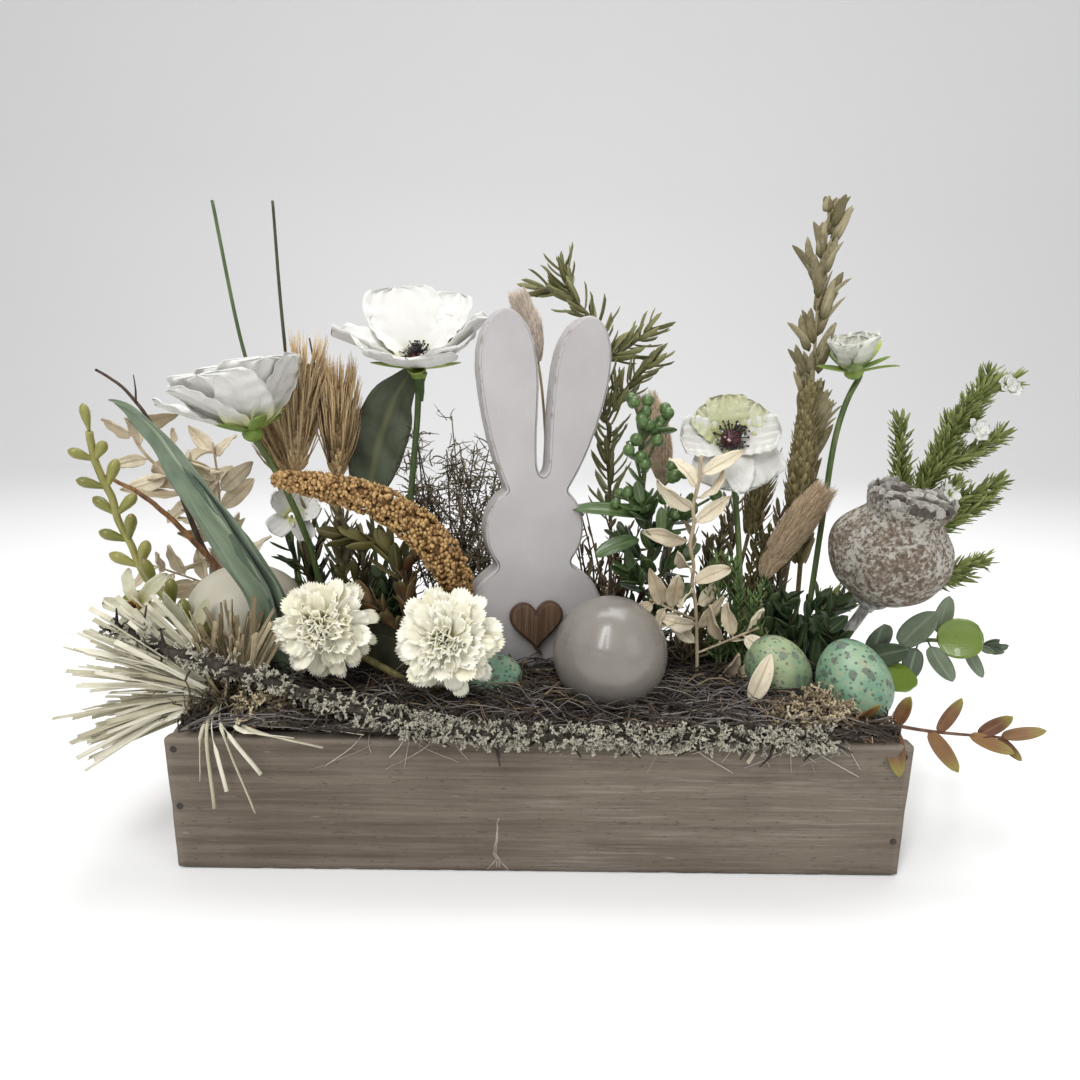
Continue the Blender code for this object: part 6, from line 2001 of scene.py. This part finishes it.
def build_filler(olive, bark):
    """Low leafy sprigs that close the gaps between the taller stems."""
    rng = np.random.default_rng(81)
    dark_green = leaf_material("filler_green_look", (0.022, 0.045, 0.018), (0.075, 0.110, 0.045), 0.5,
                               grain=120.0, vein=(0.11, 0.14, 0.06))
    dry = leaf_material("filler_dry_look", (0.105, 0.080, 0.040), (0.27, 0.22, 0.13), 0.7, grain=120.0)
    olive_leaves, green_leaves, dry_leaves, stems = Batch(), Batch(), Batch(), Batch()
    shape = dict(rows=8, columns=5, belly=0.5, cup=0.3, bend=0.4)
    for x, y, height, target, length, width in (
            (112, 28, 98, olive_leaves, 13, 4.5), (128, 18, 84, dry_leaves, 15, 4.0),
            (140, 26, 108, olive_leaves, 12, 4.0), (156, 20, 52, green_leaves, 20, 10.0),
            (168, 4, 44, green_leaves, 22, 11.0), (182, 18, 48, green_leaves, 20, 10.0),
            (104, 40, 116, dry_leaves, 16, 3.6), (150, 40, 128, dry_leaves, 18, 3.6),
            (134, 4, 40, olive_leaves, 14, 5.0), (96, 8, 46, dry_leaves, 15, 5.0),
            (-104, 22, 86, dry_leaves, 22, 4.5), (-118, 10, 78, olive_leaves, 18, 6.0),
            (-92, 6, 66, green_leaves, 20, 8.0), (-134, 26, 108, dry_leaves, 26, 4.0),
            (-146, 30, 88, green_leaves, 24, 5.0), (-70, 12, 40, green_leaves, 18, 8.0),
            (-28, 30, 60, dry_leaves, 14, 4.0), (30, 30, 64, dry_leaves, 14, 4.0),
            (70, 24, 48, green_leaves, 20, 8.0), (-158, 16, 46, olive_leaves, 20, 7.0)):
        base = mm(x, y, SPRIG_FOOT)
        for _ in range(3):
            tip = base + mm(rng.normal(0, 11), rng.normal(0, 7), height * rng.uniform(0.7, 1.0))
            bow = (base + tip) / 2 + rng.normal(0, 4, 3) * MM
            route = curve_through([base + rng.normal(0, 3, 3) * (1, 1, 0) * MM, bow, tip], 8)
            stems.tube(route, np.linspace(1.0, 0.5, len(route)) * MM, 6, rng.random())
            spiral_leaves(target, rng, route, 0.12, int(height / 3.4), length * MM, width * MM, 0.75, 0.3,
                          **shape)
    piece(olive_leaves.build("filler_olive_leaves", olive, 0.3 * MM), "dark_leaf")
    piece(green_leaves.build("filler_green_leaves", dark_green, 0.3 * MM), "green_sprays")
    piece(dry_leaves.build("filler_dry_leaves", dry, 0.3 * MM), "dried_grain")
    piece(stems.build("filler_stems", bark), "dry_twigs")


def build_middle_sprays():
    """Brown and olive spray under the millet, then the heather and the sprigs that share its looks."""
    rng = np.random.default_rng(78)
    brown = leaf_material("brown_spray_look", (0.085, 0.038, 0.016), (0.20, 0.125, 0.055), 0.5,
                          tip=(0.14, 0.115, 0.045), grain=120.0)
    olive = leaf_material("olive_spray_look", (0.070, 0.062, 0.018), (0.17, 0.15, 0.05), 0.5, grain=120.0,
                          vein=(0.20, 0.17, 0.07))
    bark = stem_material("spray_stem", (0.045, 0.030, 0.018), (0.105, 0.075, 0.045), 0.65)
    main = sprig_route("brown_leaf_spray")
    batch, stems, greens = Batch(), Batch(), Batch()
    stems.tube(main, 1.1 * MM, 7)
    shape = dict(rows=9, columns=7, belly=0.5, cup=0.3, bend=0.45)
    spiral_leaves(batch, rng, main, 0.10, 34, 20 * MM, 8 * MM, 0.7, 0.2, **shape)
    for share, way, length in ((0.25, (-0.6, -0.2, 0.8), 44), (0.3, (0.6, -0.1, 0.8), 42),
                               (0.1, (-0.7, 0.2, 0.7), 50), (0.2, (0.2, -0.5, 0.8), 40)):
        branch = side_twig(stems, main, share, way, length)
        spiral_leaves(batch, rng, branch, 0.2, 16, 19 * MM, 7.5 * MM, 0.7, 0.2, **shape)
    low_spot = main[len(main) // 3]
    high_spot = main[-1] + mm(-22, 0, 4)
    branch = curve_through([low_spot, (low_spot + high_spot) / 2 + UP * 8 * MM, high_spot,
                            high_spot + mm(-26, -2, 8)], 8)
    stems.tube(branch, 0.9 * MM, 6)
    spiral_leaves(greens, rng, branch, 0.35, 20, 23 * MM, 9 * MM, 0.8, 0.2, **shape)
    piece(greens.build("olive_spray_leaves", olive, 0.3 * MM), "dark_leaf")
    piece(batch.build("brown_spray_leaves", brown, 0.3 * MM), "red_brown_leaves", "brown_leaf_spray")
    piece(stems.build("brown_spray_stems", bark), "red_brown_leaves")
    build_heather()
    build_filler(olive, bark)


def build_boxwood(green):
    """Glossy leaves and a head of round green berries."""
    rng = np.random.default_rng(80)
    glossy = leaf_material("boxwood_look", (0.026, 0.060, 0.016), (0.085, 0.140, 0.045), 0.3, specular=0.5,
                           vein=(0.16, 0.21, 0.09), grain=90.0, Coat_Weight=0.2)
    berry = Shade("berry_look", 0.35, 0.5, Coat_Weight=0.15)
    cloud = berry.noise(240.0, 3.0)
    berry.colour(berry.mix(berry.spread(cloud, 0.3, 0.7), (0.040, 0.085, 0.018), (0.095, 0.160, 0.042)))
    berry.bump(berry.noise(900.0), 0.2, 0.2 * MM)
    main = sprig_route("boxwood_berries", 6 * MM)
    leaves, berries, stems = Batch(), Batch(), Batch()
    stems.tube(main, 1.5 * MM, 8)
    for share, tip in ((0.6, (-22, -4, 16)), (0.72, (-12, -6, 30)), (0.85, (4, 0, 30)), (0.66, (22, -6, 22)),
                       (0.8, (16, -2, 34)), (0.5, (34, -4, 30)), (0.9, (-6, -2, 24))):
        spot, _ = at(main, share)
        end = spot + np.array(tip) * MM
        branch = curve_through([spot, (spot + end) / 2 + mm(0, -2, 4), end], 6)
        stems.tube(branch, 0.9 * MM, 6)
        for k in range(5):
            place, _ = at(branch, 0.35 + 0.16 * k)
            way = unit(rng.normal(0, 0.7, 3) + np.array((0, -0.3, 0.5)))
            ball = place + way * rng.uniform(4, 7) * MM
            stems.tube([place, ball], 0.45 * MM, 5)
            size = rng.uniform(3.3, 4.1) * MM
            berries.blob(ball, (size, size, size * 1.05), None, 3, rng.random())
            berries.blob(ball + way * size * 0.98, (0.5 * MM, 0.5 * MM, 0.4 * MM), None, 1, 0.0)
    shape = dict(rows=12, columns=7, belly=0.45, fullness=0.85, cup=0.25, bend=0.5)
    for share, way, length in ((0.28, (-0.5, -0.3, 0.7), 30), (0.35, (0.6, -0.4, 0.7), 30),
                               (0.45, (0.15, -0.7, 0.8), 28), (0.55, (-0.3, -0.5, 0.9), 26),
                               (0.2, (0.4, -0.5, 0.6), 30), (0.4, (-0.6, 0.3, 0.6), 28),
                               (0.5, (0.7, 0.1, 0.7), 30)):
        branch = side_twig(stems, main, share, way, length, 0.9 * MM, 6)
        spiral_leaves(leaves, rng, branch, 0.3, 9, 19 * MM, 8.5 * MM, 0.85, 0.2, **shape)
    spiral_leaves(leaves, rng, main, 0.12, 20, 20 * MM, 9 * MM, 0.95, 0.15, **shape)
    spot, _ = at(main, 0.62)
    leaves.leaf(spot + mm(-4, -6, 0), (-0.95, -0.15, 0.25), (0.1, -0.6, 1), 0.8, length=44 * MM,
                width=12 * MM, rows=16, columns=9, belly=0.5, cup=0.25, bend=-0.35)
    leaves.leaf(spot + mm(-6, -8, -14), (-0.8, -0.3, -0.1), (0.1, -0.6, 1), 0.6, length=30 * MM,
                width=12 * MM, rows=16, columns=9, belly=0.5, cup=0.25, bend=-0.5)
    piece(leaves.build("boxwood_leaves", glossy, 0.45 * MM), "green_sprays", "boxwood_berries")
    piece(berries.build("boxwood_green_berries", berry.material), "green_sprays")
    piece(stems.build("boxwood_stems", green), "green_stem")


def build_fine_filler():
    """Asparagus-like green under the anemone."""
    rng = np.random.default_rng(81)
    filler = leaf_material("filler_look", (0.045, 0.085, 0.024), (0.140, 0.205, 0.070), 0.65, grain=150.0)
    batch = Batch()
    for _ in range(10):
        base = mm(rng.uniform(112, 142), rng.uniform(-14, 2), 88)
        top = base + mm(rng.normal(0, 7), rng.normal(0, 4), rng.uniform(38, 84))
        branch = curve_through([base, (base + top) / 2 + rng.normal(0, 3, 3) * MM, top], 8)
        batch.tube(branch, 0.7 * MM, 5, rng.random())
        spiral_leaves(batch, rng, branch, 0.15, 46, 8 * MM, 1.8 * MM, 0.75, 0.2, rows=4, columns=3,
                      belly=0.45, fold=-0.4, bend=0.3)
    piece(batch.build("fine_green_filler", filler, 0.3 * MM), "green_sprays")


def build_eucalyptus(green):
    """Round glossy leaves and narrow grey-green ones, low at the right."""
    rng = np.random.default_rng(82)
    round_look = leaf_material("round_leaf_look", (0.060, 0.110, 0.012), (0.150, 0.225, 0.030), 0.28,
                               specular=0.5, grain=70.0, spots=(0.05, 0.07, 0.02), Coat_Weight=0.3)
    grey_look = leaf_material("grey_leaf_look", (0.070, 0.095, 0.060), (0.165, 0.205, 0.135), 0.45,
                              vein=(0.21, 0.25, 0.17), grain=90.0)
    main = sprig_route("eucalyptus", 6 * MM)
    rounds, greys, stems = Batch(), Batch(), Batch()
    stems.tube(main, 1.3 * MM, 8)
    for share, way, size in ((0.30, (0.15, -0.5, -0.25), 25), (0.60, (0.65, -0.25, 0.15), 24),
                             (0.16, (-0.4, -0.5, 0.2), 20)):
        spot, _ = at(main, share)
        root = spot + unit(way) * 5 * MM
        stems.tube([spot, root], 0.6 * MM, 6)
        rounds.leaf(root, way, (0.15, -1, 0.35), rng.random(), length=size * MM, width=size * 0.98 * MM,
                    rows=16, columns=15, belly=0.5, fullness=0.75, cup=0.16, bend=0.3, root=0.12)
    for share, way, size in ((0.30, (-0.2, -0.4, 0.9), 30), (0.42, (0.5, -0.2, 0.9), 30),
                             (0.55, (-0.3, -0.3, -0.6), 22), (0.6, (0.2, -0.6, -0.7), 24),
                             (0.2, (0.6, -0.3, 0.4), 28), (0.66, (0.1, 0.2, 1.0), 24),
                             (0.12, (-0.5, -0.4, 0.7), 26), (0.8, (0.3, -0.3, -0.9), 20)):
        spot, _ = at(main, share)
        root = spot + unit(way) * 4 * MM
        stems.tube([spot, root], 0.5 * MM, 6)
        greys.leaf(root, way, np.array((0.2, -1, 0.5)) + rng.normal(0, 0.25, 3), rng.random(),
                   length=size * MM, width=size * 0.52 * MM, rows=14, columns=9, belly=0.45, cup=0.2,
                   bend=0.4)
    end = main[-1]
    for k in range(10):
        way = unit(np.array((0.7, -0.2, 0.3)) + rng.normal(0, 0.6, 3))
        size = rng.uniform(6, 11)
        greys.leaf(end - unit(main[-1] - main[-3]) * k * MM, way, FORWARD, rng.random(), length=size * MM,
                   width=size * 0.55 * MM, rows=8, columns=5, cup=0.4, bend=0.4)
    piece(rounds.build("round_glossy_leaves", round_look, 0.6 * MM), "green_sprays", "eucalyptus")
    piece(greys.build("grey_green_leaves", grey_look, 0.4 * MM), "green_sprays")
    piece(stems.build("eucalyptus_stems", green), "green_stem")


def build_red_twig():
    """Twig with leaves from red-brown to yellow-green, hanging over the right corner."""
    rng = np.random.default_rng(83)
    red = leaf_material("red_leaf_look", (0.115, 0.045, 0.022), (0.235, 0.130, 0.050), 0.5,
                        tip=(0.25, 0.22, 0.055), vein=(0.20, 0.10, 0.04), grain=90.0)
    twig_look = stem_material("red_twig_look", (0.080, 0.036, 0.018), (0.170, 0.090, 0.045), 0.55)
    points = node_triangles("red_leaf_twig").reshape(-1, 3)
    tip = points[np.argmax(points[:, 0])]
    start = foot_of("red_leaf_twig") + UP * 3 * MM
    end = np.array((tip[0] - 8 * MM, tip[1], 82 * MM))
    main = curve_through([start, start + mm(22, -5, 3), (start + end) / 2 + mm(10, -5, 1),
                          end], 12)
    batch, stems = Batch(), Batch()
    stems.tube(main, np.linspace(1.3, 0.7, len(main)) * MM, 7)
    for share, way, size in ((0.50, (0.1, -0.3, -1), 27), (0.52, (0.35, -0.1, 1), 20),
                             (0.66, (0.5, -0.3, -0.8), 24), (0.70, (0.35, 0.1, 0.9), 23),
                             (0.84, (0.9, -0.3, -0.4), 22), (0.88, (0.9, 0, 0.6), 20),
                             (0.99, (1, -0.1, 0.1), 22), (0.36, (0.2, -0.4, 0.9), 18),
                             (0.97, (0.6, -0.2, -0.7), 16)):
        spot, _ = at(main, min(share, 0.985))
        batch.leaf(spot, way, np.array((0.1, -0.8, 0.6)) + rng.normal(0, 0.3, 3), rng.random(),
                   length=size * MM, width=size * 0.36 * MM, rows=12, columns=7, belly=0.45, cup=0.3,
                   bend=0.45, fold=0.15)
    piece(batch.build("red_leaves", red, 0.4 * MM), "red_brown_leaves", "red_leaf_twig")
    piece(stems.build("red_twig", twig_look), "red_brown_leaves")


# Straw, lichen and loose pieces --------------------------------------------------------------------

def straw_strip(batch, rng, points, width, tint):
    """Flat split straw, slightly curled across its width."""
    route = curve_through(points, 5)
    columns = 4
    grid = np.zeros((len(route), columns, 3))
    twist = rng.uniform(0, math.pi)
    turn = rng.normal(0, 0.5)
    for i in range(len(route)):
        spot, heading = at(route, i / (len(route) - 1) * 0.999)
        a, b = side_frame(heading)
        angle = twist + turn * i / len(route)
        side = swing(a, b, angle)
        normal = np.cross(side, heading)
        for j, s in enumerate(np.linspace(-1, 1, columns)):
            grid[i, j] = spot + side * s * width / 2 + normal * width * 0.16 * (1 - s * s)
    batch.sheet(grid, tint)


def build_straws():
    rng = np.random.default_rng(91)
    pale = leaf_material("pale_straw_look", (0.48, 0.445, 0.315), (0.73, 0.70, 0.57), 0.55, streaks=0.3,
                         grain=200.0, base=(0.24, 0.20, 0.11), base_reach=0.3)
    tan = leaf_material("tan_stub_look", (0.20, 0.155, 0.085), (0.45, 0.38, 0.24), 0.65, streaks=0.6,
                        grain=200.0, base=(0.10, 0.075, 0.04), base_reach=0.5)
    low, _ = corners("straw_bundle")
    knot = mm(-174, -55, 93.5)
    batch = Batch()
    for _ in range(150):
        angle = math.radians(rng.uniform(126, 204))
        reach = rng.uniform(58, 80) if angle > math.radians(186) else rng.uniform(54, 86)
        depth = rng.normal(0, 0.22) - 0.1
        direction = unit((math.cos(angle), depth, math.sin(angle)))
        first = knot + rng.normal(0, 2.2, 3) * MM
        last = knot + direction * reach * MM
        last[0] = max(last[0], low[0] - 6 * MM)
        last[1] = max(last[1], low[1] - 4 * MM)
        if last[0] > -203 * MM:
            last[2] = max(last[2], 83 * MM)
        middle = (first + last) / 2 + mm(0, 0, rng.uniform(0, 5))
        straw_strip(batch, rng, [first, middle, last], rng.uniform(2.0, 3.4) * MM, rng.random())
    for x, y, z in ((-113, -80.5, 78), (-152, -80.5, 39), (-174, -80, 41), (-166, -81, 52),
                    (-147, -80.5, 62), (-128, -80.5, 83), (-180, -80.5, 58)):
        first = knot + rng.normal(0, 2, 3) * MM
        over = np.array((knot[0] + (x * MM - knot[0]) * 0.35, -79.5 * MM, 88 * MM))
        straw_strip(batch, rng, [first, over, mm(x, y, z)], rng.uniform(1.8, 2.6) * MM, rng.random())
    piece(batch.build("straw_fan", pale, 0.35 * MM), "pale_straw", "straw_bundle")
    stubs = Batch()
    for _ in range(64):
        angle = math.radians(rng.uniform(55, 118))
        reach = rng.uniform(30, 58)
        direction = unit((math.cos(angle), rng.normal(0.05, 0.2), math.sin(angle)))
        first = knot + rng.normal(0, 3, 3) * MM + mm(rng.uniform(0, 12), 0, 0)
        last = first + direction * reach * MM
        straw_strip(stubs, rng, [first, (first + last) / 2 + rng.normal(0, 1, 3) * MM, last],
                    rng.uniform(1.8, 3.4) * MM, rng.random())
    piece(stubs.build("straw_stubs", tan, 0.35 * MM), "pale_straw")
    dark = Batch()
    for _ in range(520):
        spot = knot + rng.normal(0, 1, 3) * np.array((10, 6, 7)) * MM
        route = [spot]
        heading = unit(rng.normal(0, 1, 3))
        for _ in range(4):
            heading = unit(heading + rng.normal(0, 0.6, 3))
            route.append(route[-1] + heading * 3.2 * MM)
        route = np.array(route)
        route[:, 1] = np.maximum(route[:, 1], -78 * MM)
        dark.tube(route, (0.5 * MM, 0.45 * MM, 0.4 * MM, 0.3 * MM, 0.15 * MM), 4, rng.random())
    knot_look = leaf_material("knot_look", (0.030, 0.022, 0.014), (0.15, 0.115, 0.070), 0.85)
    piece(dark.build("straw_knot", knot_look), "dry_twigs")


def build_lichen():
    """Dark branch along the front rim, thickly set with grey-cream lichen lobes."""
    rng = np.random.default_rng(92)
    fine = smooth_route("lichen_branch", 9 * MM, 140, start=centre_end("lichen_branch"),
                        direction=(1, -0.1, -0.4))
    bark = stem_material("lichen_bark", (0.016, 0.012, 0.009), (0.062, 0.047, 0.035), 0.85)
    core = Batch()
    wave = smoothed(rng.normal(0, 0.6, (140, 3)), 3) * MM
    core.tube(fine + wave, np.linspace(2.8, 2.2, 140) * MM, 9)
    for _ in range(90):
        spot, heading = at(fine, rng.random())
        way = unit(heading * rng.normal(0.3, 0.6) + rng.normal(0, 0.8, 3) * (1, 0.6, 1))
        size = rng.uniform(8, 20) * MM
        twig = np.array([spot, spot + way * size * 0.5 + rng.normal(0, 1, 3) * MM, spot + way * size])
        twig[:, 1] = np.maximum(twig[:, 1], CAD_LOW[1] - 3 * MM)
        core.tube(twig, (1.1 * MM, 0.8 * MM, 0.4 * MM), 5)
    piece(core.build("lichen_twig", bark), "dry_twigs", "lichen_branch")
    left, right = Batch(), Batch()
    for _ in range(2400):
        share = rng.random()
        patch = noise.noise(Vector((share * 14, 0.3, 5.0)))
        thick = 0.30 if share < 0.36 else 0.62
        if rng.random() > thick + 0.5 * patch:
            continue
        spot, heading, outward = outward_at(fine, share, rng.uniform(0, 2 * math.pi))
        base = spot + outward * rng.uniform(0.5, 3.5) * MM + heading * rng.normal(0, 2) * MM
        way = unit(outward + heading * rng.normal(0, 0.8) + rng.normal(0, 0.5, 3))
        length = rng.uniform(3.0, 6.5) * MM * (0.8 + 0.3 * thick)
        antler(left if share < 0.5 else right, rng, base, way, length, rng.random(), 2)
    look = lichen_material("lichen_look", (0.014, 0.011, 0.008), (0.44, 0.415, 0.335))
    piece(left.build("lichen_lobes_left", look, 0.35 * MM), "dry_twigs")
    piece(right.build("lichen_lobes_right", look, 0.35 * MM), "dry_twigs")


def centre_end(node):
    """Middle of a bar's left end."""
    points = node_triangles(node).reshape(-1, 3)
    low = points[:, 0].min()
    return points[points[:, 0] < low + 3 * MM].mean(0) + mm(3, 0, -1.5)


def antler(batch, rng, base, way, length, tint, depth):
    """Flat forked lobe, as on reindeer or antler lichen."""
    side = unit(np.cross(way, rng.normal(0, 1, 3)))
    normal = np.cross(side, way)
    tip = base + way * length * 0.6 + normal * rng.normal(0, 0.6) * MM
    width = (1.15 if depth == 2 else 0.85) * MM * rng.uniform(0.8, 1.25)
    columns = []
    for s in (-1, 0, 1):
        middle = (base + tip) / 2 + side * s * width * 0.55 + normal * 0.3 * MM * s * s
        columns.append(np.stack([base + side * s * width * 0.5, middle, tip + side * s * width * 0.75]))
    grid = np.stack(columns, 1)
    grid[:, :, 1] = np.maximum(grid[:, :, 1], CAD_LOW[1] - 5 * MM)
    along = (0.0, 0.3, 0.6) if depth == 2 else (0.4, 0.75, 1.0)
    batch.add(grid, [grid_faces(3, 3)], 0.5, np.repeat(along, 3), tint)
    if depth:
        for fork in (-1, 1):
            turned = unit(way + side * fork * rng.uniform(0.4, 0.9) + normal * rng.normal(0, 0.4))
            antler(batch, rng, tip, turned, length * 0.62, tint, depth - 1)


def build_loose():
    """Strings and chips that hang over the front board."""
    rng = np.random.default_rng(93)
    low, high = corners("front_board")
    strings = Batch()
    for _ in range(26):
        x = rng.choice((rng.uniform(60, 165), rng.uniform(-120, -40))) * MM
        start = np.array((x, low[1] + 3 * MM, high[2] + 2 * MM))
        lean = rng.normal(0, 0.7)
        length = rng.uniform(8, 26) * MM
        end = np.array((x + lean * length, low[1] - rng.uniform(0.8, 3) * MM, high[2] - length * 0.7))
        middle = np.array((x + lean * length * 0.3, low[1] - 1.5 * MM, high[2] - length * 0.2))
        strings.tube(curve_through([start, middle, end], 6), rng.uniform(0.12, 0.3) * MM, 3, rng.random())
    string_look = leaf_material("string_look", (0.34, 0.31, 0.29), (0.60, 0.57, 0.54), 0.7)
    piece(strings.build("loose_strings", string_look), "moss_and_fibre")
    chips = Batch()
    for x, z, turn, size in ((104, 76, 2.6, 26), (118, 74, 1.9, 20), (84, 70, 3.3, 20),
                             (-112, 79, 0.2, 20)):
        start = mm(x, low[1] / MM - 0.8, z + 7)
        way = np.array((math.cos(turn), -0.05, -abs(math.sin(turn)) * 0.6))
        straw_strip(chips, rng, [start, start + way * size * 0.5 * MM, start + way * size * MM], 1.8 * MM,
                    rng.random())
    chip_look = leaf_material("chip_look", (0.42, 0.36, 0.25), (0.66, 0.60, 0.46), 0.65)
    piece(chips.build("loose_chips", chip_look, 0.4 * MM), "pale_straw")


def build_tan_moss():
    """Pale forked moss at the right corner and beside the straw knot."""
    rng = np.random.default_rng(94)
    batch = Batch()
    for x, y, z, count, spread_x in ((158, -58, 90, 70, 15), (132, -66, 88, 30, 12),
                                     (-150, -62, 92, 46, 10)):
        for _ in range(count):
            base = mm(x + rng.normal(0, spread_x * 0.6), y + rng.normal(0, 5), z + rng.normal(0, 1))
            way = unit((rng.normal(0.2, 0.7), rng.normal(-0.4, 0.5), rng.uniform(-0.2, 0.9)))
            antler(batch, rng, base, way, rng.uniform(7, 12) * MM, rng.random(), 3)
    look = leaf_material("tan_moss_look", (0.16, 0.115, 0.065), (0.52, 0.44, 0.29), 0.8, grain=300.0)
    piece(batch.build("tan_forked_moss", look, 0.5 * MM), "moss_and_fibre")


# Stage --------------------------------------------------------------------------------------------

def build_stage():
    batch = Batch()
    reach, cove, back = 3.0, 0.8, 1.6
    profile = [(-reach, 0.0), (back, 0.0)]
    for step in range(1, 13):
        angle = math.radians(90 * step / 12)
        profile.append((back + cove * math.sin(angle), cove * (1 - math.cos(angle))))
    profile.append((back + cove, 4.0))
    grid = np.zeros((len(profile), 2, 3))
    for i, (y, z) in enumerate(profile):
        grid[i, 0] = (-6.0, y, z)
        grid[i, 1] = (6.0, y, z)
    batch.sheet(grid)
    floor_look = Shade("pale_floor", 0.85, 0.2)
    floor_look.colour(floor_look.mix(floor_look.noise(2.0, 2.0), (0.90, 0.90, 0.90), (0.92, 0.92, 0.92)))
    floor = batch.build("floor", floor_look.material)


def area_light(name, place, target, size, power):
    data = bpy.data.lights.new(name, "AREA")
    data.shape = "RECTANGLE"
    data.size, data.size_y = size
    data.energy = power
    light = bpy.data.objects.new(name, data)
    light.location = place
    light.rotation_euler = (Vector(target) - Vector(place)).to_track_quat("-Z", "Y").to_euler()
    bpy.context.scene.collection.objects.link(light)


def build_lights():
    bpy.context.scene.view_settings.view_transform = "Standard"
    world = bpy.data.worlds.new("studio")
    bpy.context.scene.world = world
    world.use_nodes = True
    background = world.node_tree.nodes["Background"].inputs
    background["Color"].default_value = (1.0, 1.0, 1.0, 1.0)
    background["Strength"].default_value = 0.60
    area_light("key", (-0.45, -0.9, 1.3), (0, 0, 0.12), (0.16, 1.3), 9)
    area_light("key_second", (-0.18, -0.95, 1.3), (0, 0, 0.12), (0.10, 1.3), 5)
    area_light("fill", (1.1, -1.0, 0.9), (0, 0, 0.12), (0.8, 1.0), 3)
    area_light("top", (0.1, 0.5, 1.6), (0, 0, 0.1), (1.2, 0.8), 15)


def build_camera():
    """The photograph's viewpoint: close, a little above, almost square to the front."""
    pitch, yaw, roll = math.radians(12.61), math.radians(0.21), math.radians(0.52)
    spin = Matrix.Rotation(yaw, 3, "Z")
    forward = spin @ Vector((0, math.cos(pitch), -math.sin(pitch)))
    up = spin @ Vector((0, math.sin(pitch), math.cos(pitch)))
    right = spin @ Vector((1, 0, 0))
    right_rolled = math.cos(roll) * right + math.sin(roll) * up
    up_rolled = math.cos(roll) * up - math.sin(roll) * right
    data = bpy.data.cameras.new("camera")
    data.lens = 23.333
    data.sensor_width = 36
    data.clip_start = 0.01
    camera = bpy.data.objects.new("camera", data)
    matrix = Matrix.Identity(4)
    for row in range(3):
        matrix[row][0], matrix[row][1], matrix[row][2] = right_rolled[row], up_rolled[row], -forward[row]
    matrix[0][3], matrix[1][3], matrix[2][3] = 1.2 * MM, -415.3 * MM, 266.0 * MM
    camera.matrix_world = matrix
    bpy.context.scene.collection.objects.link(camera)
    bpy.context.scene.camera = camera


def dress_hidden_nodes():
    """Foam and pick stay as the CAD made them, with their own materials."""
    foam = Shade("foam_look", 0.95, 0.1)
    cells = foam.cells(900.0)
    foam.colour(foam.mix(foam.spread(cells, 0.1, 0.5), (0.030, 0.060, 0.022), (0.065, 0.11, 0.045)))
    foam.bump(cells, 0.6, 0.4 * MM)
    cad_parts["floral_foam"].data.materials[0] = foam.material
    wood = stem_material("pick_look", (0.30, 0.21, 0.11), (0.45, 0.33, 0.19), 0.7)
    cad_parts["bunny_pick"].data.materials[0] = wood


PLANKS = {"x": plank_material("planks_long", "x"), "y": plank_material("planks_end", "y")}
BED = bed_surface()

build_camera()
build_lights()
build_stage()
dress_hidden_nodes()
build_planter()
build_crack_and_glue()
build_moss()
build_bed()
build_rabbit()
build_ball_and_eggs()
build_pod()
build_flowers()
build_carnations()
build_narcissus()
build_wheat()
build_oats()
build_millet()
build_bunny_tails()
build_lance_leaf()
build_broad_leaf()
build_oval_leaves()
build_grass_and_twigs()
build_rosemary()
build_fleshy_sprig()
build_ruscus()
build_middle_sprays()
GREEN_TWIG = stem_material("boxwood_stem", (0.060, 0.080, 0.025), (0.120, 0.140, 0.055), 0.5)
build_boxwood(GREEN_TWIG)
build_fine_filler()
build_eucalyptus(GREEN_TWIG)
build_red_twig()
build_straws()
build_lichen()
build_loose()
build_tan_moss()
